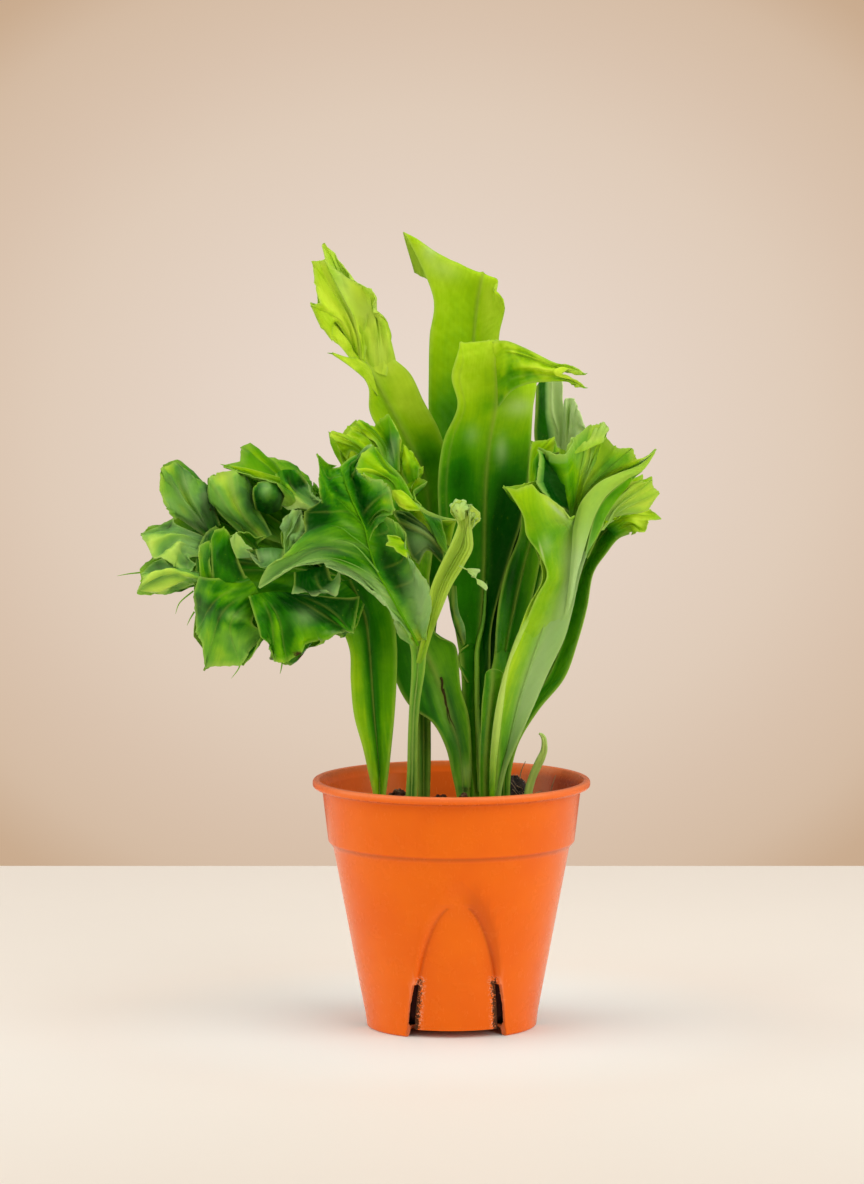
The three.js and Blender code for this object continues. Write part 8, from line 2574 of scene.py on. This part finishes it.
@dataclass(frozen=True)
class LeafFinish:
    """Satin living leaf, from a dark tone to a bright one, with ribs, light margins and a pale colour, part
    of it painted highlight; the tone holds painted light and shade.
    """

    name: str
    dark: Point = (0.001, 0.058, 0.001)
    low: Point = (0.022, 0.19, 0.0015)
    mid: Point = (0.13, 0.4, 0.002)
    high: Point = (0.37, 0.63, 0.004)
    bright: Point = (0.64, 0.86, 0.04)
    rib: Point = (0.3, 0.4, 0.05)
    margin: Point = (0.42, 0.62, 0.08)
    bloom_and_highlight: Point = (0.42, 0.62, 0.24)
    scab: Point = (0.05, 0.02, 0.008)
    glow: Point = (0.3, 0.7, 0.01)
    sheen: Point = (0.5, 1.0, 0.2)
    through: float = 0.1
    rough: float = 0.27
    shine: float = 0.2

    def build(self) -> bpy.types.Material:
        """Makes the material.

        The tone that the mesh holds, painted light and shade among it, is varied by blotches and picks the
        colour off a ramp; ribs, margins and the pale colour, part of it painted highlight, are laid over it.
        Fine slanting veins and pores are a bump.

        Returns:
            The material.
        """
        dye = Dye(self.name)
        tone, rib, edge = dye.value("tone"), dye.value("rib"), dye.value("edge")
        along, across, under = dye.value("along"), dye.value("across"), dye.value("under")
        low = 1.0 - dye.parts()[2].ease(105, 185)
        blotch = ((dye.noise(13, 3) - 0.5) * 0.17 + (dye.noise(3.2, 4, rough=0.6) - 0.5) * 0.12
                  + (dye.streak(across, along, 1.1, 18) - 0.5) * (0.14 + low * 0.3))
        stops = [(0.0, self.dark), (0.25, self.low), (0.5, self.mid), (0.75, self.high), (1.0, self.bright)]
        # The tone carries the painted light and shade of the sheets, their relief and the spots.
        colour = dye.ramp(tone + blotch + under * 0.06, stops)
        colour = dye.mix((rib * 0.5).least(0.5), colour, self.rib)
        colour = dye.mix((edge * (0.3 + 0.4 * dye.noise(5, 2))).least(0.6), colour, self.margin)
        # Pale: painted highlights from the sheets and spots, and paler undersides.
        pale = dye.value("pale") + under * 0.12 * tone.ease(0.1, 0.55)
        colour = dye.mix(pale.most(0).least(0.85), colour, self.bloom_and_highlight)
        speck = dye.noise(0.9, 2).ease(0.68, 0.8) * 0.35
        colour = dye.mix(speck, colour, self.high)
        scab = (dye.value("worn") + (dye.noise(1.3, 4, rough=0.7) - 0.5) * 0.8).ease(0.35, 0.6)
        colour = dye.mix(scab * dye.value("worn").ease(0.02, 0.2), colour, self.scab)
        rough = self.rough + (dye.noise(6, 3) - 0.5) * 0.22 + under * 0.12
        slant = along * 0.9 - across.math("ABSOLUTE") * 1.5
        vein = slant.math("SINE") * 0.5 + 0.5
        pores = dye.noise(0.55, 2)
        skin = vein * 0.35 + pores * 0.25 + dye.noise(2.4, 2) * 0.4
        normal = dye.bump(skin, 0.16)
        leaf = dye.node("BsdfPrincipled", Base_Color=colour, Roughness=rough.most(0.12).least(0.9),
                        Normal=normal, Specular_IOR_Level=self.shine, Specular_Tint=rgba(self.sheen),
                        IOR=1.45)
        glow = dye.node("BsdfTranslucent", Color=rgba(self.glow))
        made = dye.node("MixShader", i0=self.through, i1=leaf.outputs[0], i2=glow.outputs[0])
        return dye.finish(made.outputs[0])


@dataclass(frozen=True)
class PlasticFinish:
    """Satin orange moulded plastic with faint sink marks, fine scuffs and dust in its corners, with painted
    light inside at the back, painted shade inside on the right, painted shadow lines and a painted highlight
    on the rim.
    """

    name: str = "orange_moulded_plastic"
    colour: Point = (0.87, 0.142, 0.001)
    deep: Point = (0.83, 0.122, 0.001)
    pale: Point = (0.9, 0.28, 0.13)
    shade: Point = (0.4, 0.04, 0.002)
    warm: Point = (0.98, 0.145, 0.012)
    dust: Point = (0.42, 0.2, 0.09)
    soil: Point = (0.018, 0.005, 0.003)
    chaff: Point = (0.88, 0.45, 0.27)
    sheen: Point = (1.0, 0.8, 0.4)
    rough: float = 0.26
    shine: float = 0.4

    def build(self) -> bpy.types.Material:
        """Makes the material: mottled pigment, painted light and shade inside, a painted highlight on the
        rim, painted shadow lines, dust low down, soil and pale flecks at the slots.

        Returns:
            The material.
        """
        dye = Dye(self.name)
        x, _, z = dye.parts()
        colour = dye.mix(dye.noise(26, 3).ease(0.3, 0.7), self.colour, self.deep)
        # Painted light on the inside wall at the back, painted shade on its right side.
        inner, side = dye.value("inner"), (x - AXIS_X).ease(12, 46)
        colour = dye.mix(inner * (1 - side), colour, self.warm)
        colour = dye.mix(inner * side * 0.95, colour, self.shade)
        # Painted highlight along the rim's top.
        colour = dye.mix(z.ease(104.6, 107.4) * 0.45, colour, self.pale)
        # Painted shadow lines under the lip and collar, along the inner arch and on the flank.
        colour = dye.mix(dye.value("shade_lines"), colour, self.shade)
        grime = dye.noise(1.1, 4, rough=0.7).ease(0.6, 0.74) * (1 - z.ease(0.6, 8.0)) * 0.5
        colour = dye.mix(grime, colour, self.dust)
        stain = dye.value("stain")
        flecks = dye.noise(0.8, 3, rough=0.6).ease(0.5, 0.58) * stain.ease(0.03, 0.3) * 0.55
        colour = dye.mix(flecks, colour, self.chaff)
        dirt = ((dye.noise(0.9, 4, rough=0.75) - 0.5) * 2.4 + stain - 0.5).ease(0.0, 0.16)
        colour = dye.mix(dirt * 0.96, colour, self.soil)
        colour = dye.mix(dye.value("cut") * 0.6, colour, self.pale)
        rough = (self.rough + (dye.noise(9, 4, rough=0.6) - 0.5) * 0.16 + grime * 0.4 + dirt * 0.4
                 + dye.noise(0.8, 3, stretch=(1, 1, 0.15)).ease(0.6, 0.8) * 0.07)
        height = dye.noise(30, 1) * 0.6 + dye.noise(0.35, 2) * 0.04
        surface = dye.node("BsdfPrincipled", Base_Color=colour, Roughness=rough.most(0.2).least(0.9),
                           Normal=dye.bump(height, 0.12), Specular_IOR_Level=self.shine,
                           Specular_Tint=rgba(self.sheen))
        return dye.finish(surface.outputs[0])


@dataclass(frozen=True)
class MixFinish:
    """Dark moist potting mix: peat, bark grains and pale specks."""

    name: str
    peat: Point = (0.018, 0.009, 0.005)
    bark: Point = (0.11, 0.045, 0.02)
    fleck: Point = (0.4, 0.28, 0.16)
    deep: Point = (0.02, 0.002, 0.001)

    def build(self) -> bpy.types.Material:
        """Makes the material; each crumb's own grain number shifts its colour.

        Low down, where it shows only through the slots, it is darker: painted shade.

        Returns:
            The material.
        """
        dye = Dye(self.name)
        grain = dye.value("grain")
        mood = dye.noise(2.6, 5, rough=0.7) + (grain - 0.3) * 0.35
        colour = dye.ramp(mood, [(0.35, self.peat), (0.62, self.bark), (0.9, self.fleck)])
        # Painted shade low down, where the soil shows through the slots.
        colour = dye.mix(1 - dye.parts()[2].ease(45, 65), colour, self.deep)
        rough = 0.78 + (dye.noise(1.6, 3) - 0.5) * 0.3
        height = dye.noise(1.1, 5, rough=0.7)
        surface = dye.node("BsdfPrincipled", Base_Color=colour, Roughness=rough, Normal=dye.bump(height, 0.7),
                           Specular_IOR_Level=0.12)
        return dye.finish(surface.outputs[0])


@dataclass(frozen=True)
class RootFinish:
    """Black-brown root mix with whitish specks, and pale root hairs where the mesh says so."""

    name: str = "root_and_peat"
    dark: Point = (0.012, 0.007, 0.005)
    brown: Point = (0.07, 0.035, 0.02)
    hair: Point = (0.55, 0.4, 0.2)
    old_hair: Point = (0.24, 0.13, 0.05)
    speck: Point = (0.6, 0.55, 0.46)

    def build(self) -> bpy.types.Material:
        """Makes the material: mottled peat and specks, with the hairs' own colour over them.

        Returns:
            The material.
        """
        dye = Dye(self.name)
        colour = dye.mix(dye.noise(1.7, 5, rough=0.7).ease(0.42, 0.7), self.dark, self.brown)
        colour = dye.mix(dye.noise(0.9, 2).ease(0.66, 0.72) * 0.8, colour, self.speck)
        strand = dye.mix(dye.noise(1.4, 3), self.hair, self.old_hair)
        colour = dye.mix(dye.value("hair"), colour, strand)
        rough = 0.72 + (dye.noise(2, 2) - 0.5) * 0.3
        surface = dye.node("BsdfPrincipled", Base_Color=colour, Roughness=rough,
                           Normal=dye.bump(dye.noise(0.8, 5, rough=0.7), 0.6))
        return dye.finish(surface.outputs[0])


LEAVES = {look: LeafFinish(look.value) for look in Look}
# The bluish leaf's pale colour is brightened: painted light on the back right frond, which stands in shade.
LEAVES[Look.BLUE] = LeafFinish(Look.BLUE.value, bloom_and_highlight=(0.82, 1.0, 0.5))


# ---------------------------------------------------------------- studio


@dataclass
class Studio:
    """Pale table with painted light on it, plain soft backdrop light and big side lights, and the camera."""

    table_edge_y: float = 0.448
    table_reach: float = 3.2
    table: Point = (0.84, 0.755, 0.665)
    lit_table_near_pot: Point = (0.885, 0.95, 0.905)
    light_middle: Point = (0.0, 0.9974, -0.0866)
    fill: float = 0.45
    dark_side: Point = (-0.18, -0.98, 0.05)
    fill_colour: Point = (1.0, 0.97, 0.93)
    camera_place: Point = (-0.0084, -2.3, 0.425)
    pitch: float = 5.87
    lens: float = 163.2

    def build(self) -> None:
        """Sets up the whole stage."""
        self.floor()
        self.backdrop()
        self.lamp("side_left", -75, 1.4, 0.85, (2.0, 1.5), 15.0)
        self.lamp("side_right", 53, 1.4, 0.85, (2.0, 1.5), 17.0)
        self.lamp("top", 180, 0.05, 1.6, (1.5, 1.2), 8.0)
        self.camera()

    def floor(self) -> None:
        """The table top: a thin slab whose far edge makes the horizon; its colour holds painted light."""
        wide, edge = self.table_reach, self.table_edge_y
        points = [(-wide, -wide, 0), (wide, -wide, 0), (wide, edge, 0), (-wide, edge, 0)]
        mesh = bpy.data.meshes.new("table_top")
        mesh.from_pydata(points, [], [(0, 1, 2, 3)])
        table = bpy.data.objects.new("table_top", mesh)
        bpy.context.scene.collection.objects.link(table)
        dye = Dye("pale_table")
        x, y, _ = dye.parts()
        # Painted light falloff across the table from front to back.
        runs = dye.ramp((y + 330) / 800, [
            (0.0, (0.79, 0.71, 0.62)), (0.31, (0.86, 0.805, 0.725)), (0.49, (0.92, 0.84, 0.745)),
            (0.92, (0.9, 0.81, 0.71))])
        reach = ((x - AXIS_X) * (x - AXIS_X) + y * y).math("SQRT")
        # Painted pool of light round the pot, which also takes out its shadow.
        colour = dye.mix(1 - reach.ease(50, 170), runs, self.lit_table_near_pot)
        colour = dye.mix(dye.noise(160, 3).ease(0.3, 0.7) * 0.1, colour, self.table)
        rough = 0.62 + (dye.noise(20, 3) - 0.5) * 0.1
        surface = dye.node("BsdfPrincipled", Base_Color=colour, Roughness=rough, Specular_IOR_Level=0.2)
        mesh.materials.append(dye.finish(surface.outputs[0]))

    def backdrop(self) -> None:
        """The world: a warm beige seen behind the plant, painted with a light falloff: lighter in the middle
        and darker outwards.

        The camera sees it at full strength. As a light it is even, but for the dark room in front,
        and gloss mirrors it weakly.
        """
        world = bpy.data.worlds.new("studio_world")
        bpy.context.scene.world = world
        world.use_nodes = True
        sky = Bench(world.node_tree)
        way = sky.node("TexCoord").outputs["Generated"]
        low = sky.node("VectorMath", {"operation": "MULTIPLY"}, i0=way, i1=(1.0, 1.0, 1.2)).outputs[0]
        # Painted light falloff of the backdrop that the camera sees.
        beige = sky.ramp(sky.far(low, self.light_middle), [
            (0.0, from_screen(234, 219, 206)), (0.03, from_screen(231, 214, 200)),
            (0.071, from_screen(224, 204, 185)), (0.09, from_screen(218, 195, 174)),
            (0.108, from_screen(213, 188, 164)), (0.122, from_screen(202, 172, 143)),
            (0.15, from_screen(195, 163, 133))])
        room = sky.ramp(sky.far(way, self.dark_side), [(0.25, (0.04, 0.04, 0.04)), (0.55, self.fill_colour)])
        ray = sky.node("LightPath").outputs
        dim = self.fill * (1.0 - 0.6 * Wire(sky.tree, ray["Is Glossy Ray"]))
        even = sky.node("Background", Color=room, Strength=dim)
        seen = sky.node("Background", Color=beige)
        both = sky.node("MixShader", i0=ray["Is Camera Ray"], i1=even.outputs[0], i2=seen.outputs[0])
        sky.node("OutputWorld", Surface=both.outputs[0])

    @staticmethod
    def lamp(name: str, way: float, away: float, high: float, size: tuple[float, float],
             watts: float) -> None:
        """Adds a soft rectangular lamp that faces the plant.

        Args:
            name: its name.
            way: direction from the plant in degrees, 0 towards the camera and 90 to its right.
            away: distance from the pot's axis in metres.
            high: height of its middle.
            size: its width and height.
            watts: its power.
        """
        light = bpy.data.lights.new(name, "AREA")
        light.shape, light.size, light.size_y = "RECTANGLE", size[0], size[1]
        light.energy, light.color = watts, (1.0, 0.985, 0.965)
        lamp = bpy.data.objects.new(name, light)
        bpy.context.scene.collection.objects.link(lamp)
        turn = math.radians(way)
        lamp.location = (AXIS_X * MM + away * math.sin(turn), -away * math.cos(turn), high)
        aim = Vector((AXIS_X * MM, 0, 0.17)) - lamp.location
        lamp.rotation_euler = aim.to_track_quat("-Z", "Y").to_euler()

    def camera(self) -> None:
        """The camera, at the viewing angle from which the leaves were sighted."""
        data = bpy.data.cameras.new("camera")
        data.lens, data.sensor_width, data.sensor_fit = self.lens, 36.0, "AUTO"
        data.clip_end = 50.0
        camera = bpy.data.objects.new("camera", data)
        bpy.context.scene.collection.objects.link(camera)
        x, y, z = self.camera_place
        camera.location = (x + AXIS_X * MM, y, z)
        camera.rotation_euler = (math.radians(90 - self.pitch), 0, 0)
        bpy.context.scene.camera = camera


# ---------------------------------------------------------------- the whole plant


@dataclass
class PottedFern:
    """The pot with its soil, its root clump and every frond."""

    pot: Pot = field(default_factory=Pot)

    def fronds(self) -> tuple[Frond, ...]:
        """The fronds, from the left round to the right, and the young shoot.

        Returns:
            The fronds, not yet built.
        """
        return (
            frond_left(), frond_front(), frond_middle(), frond_upper_left(), frond_tall(),
            frond_centre(), frond_right_inner(), frond_right_front(), frond_right_back(),
            frond_back_right(), sprout(),
        )

    def build(self) -> None:
        """Builds and dresses each piece and reports it."""
        pieces = [self.pot.build(PlasticFinish().build()),
                  Soil(self.pot).build(MixFinish("moist_potting_mix").build()),
                  RootClump().build(RootFinish().build())]
        leaves = {look: finish.build() for look, finish in LEAVES.items()}
        for frond in self.fronds():
            pieces.append(frond.build(leaves[frond.look]))
        for piece in pieces:
            LOG.info("%s: %d faces", piece.name, len(piece.data.polygons))


def main() -> None:
    """Builds the plant, then the studio."""
    logging.basicConfig(level=logging.INFO, format="%(name)s: %(message)s")
    bpy.context.scene.view_settings.view_transform = "Standard"
    PottedFern().build()
    Studio().build()


if __name__ == "__main__":
    main()
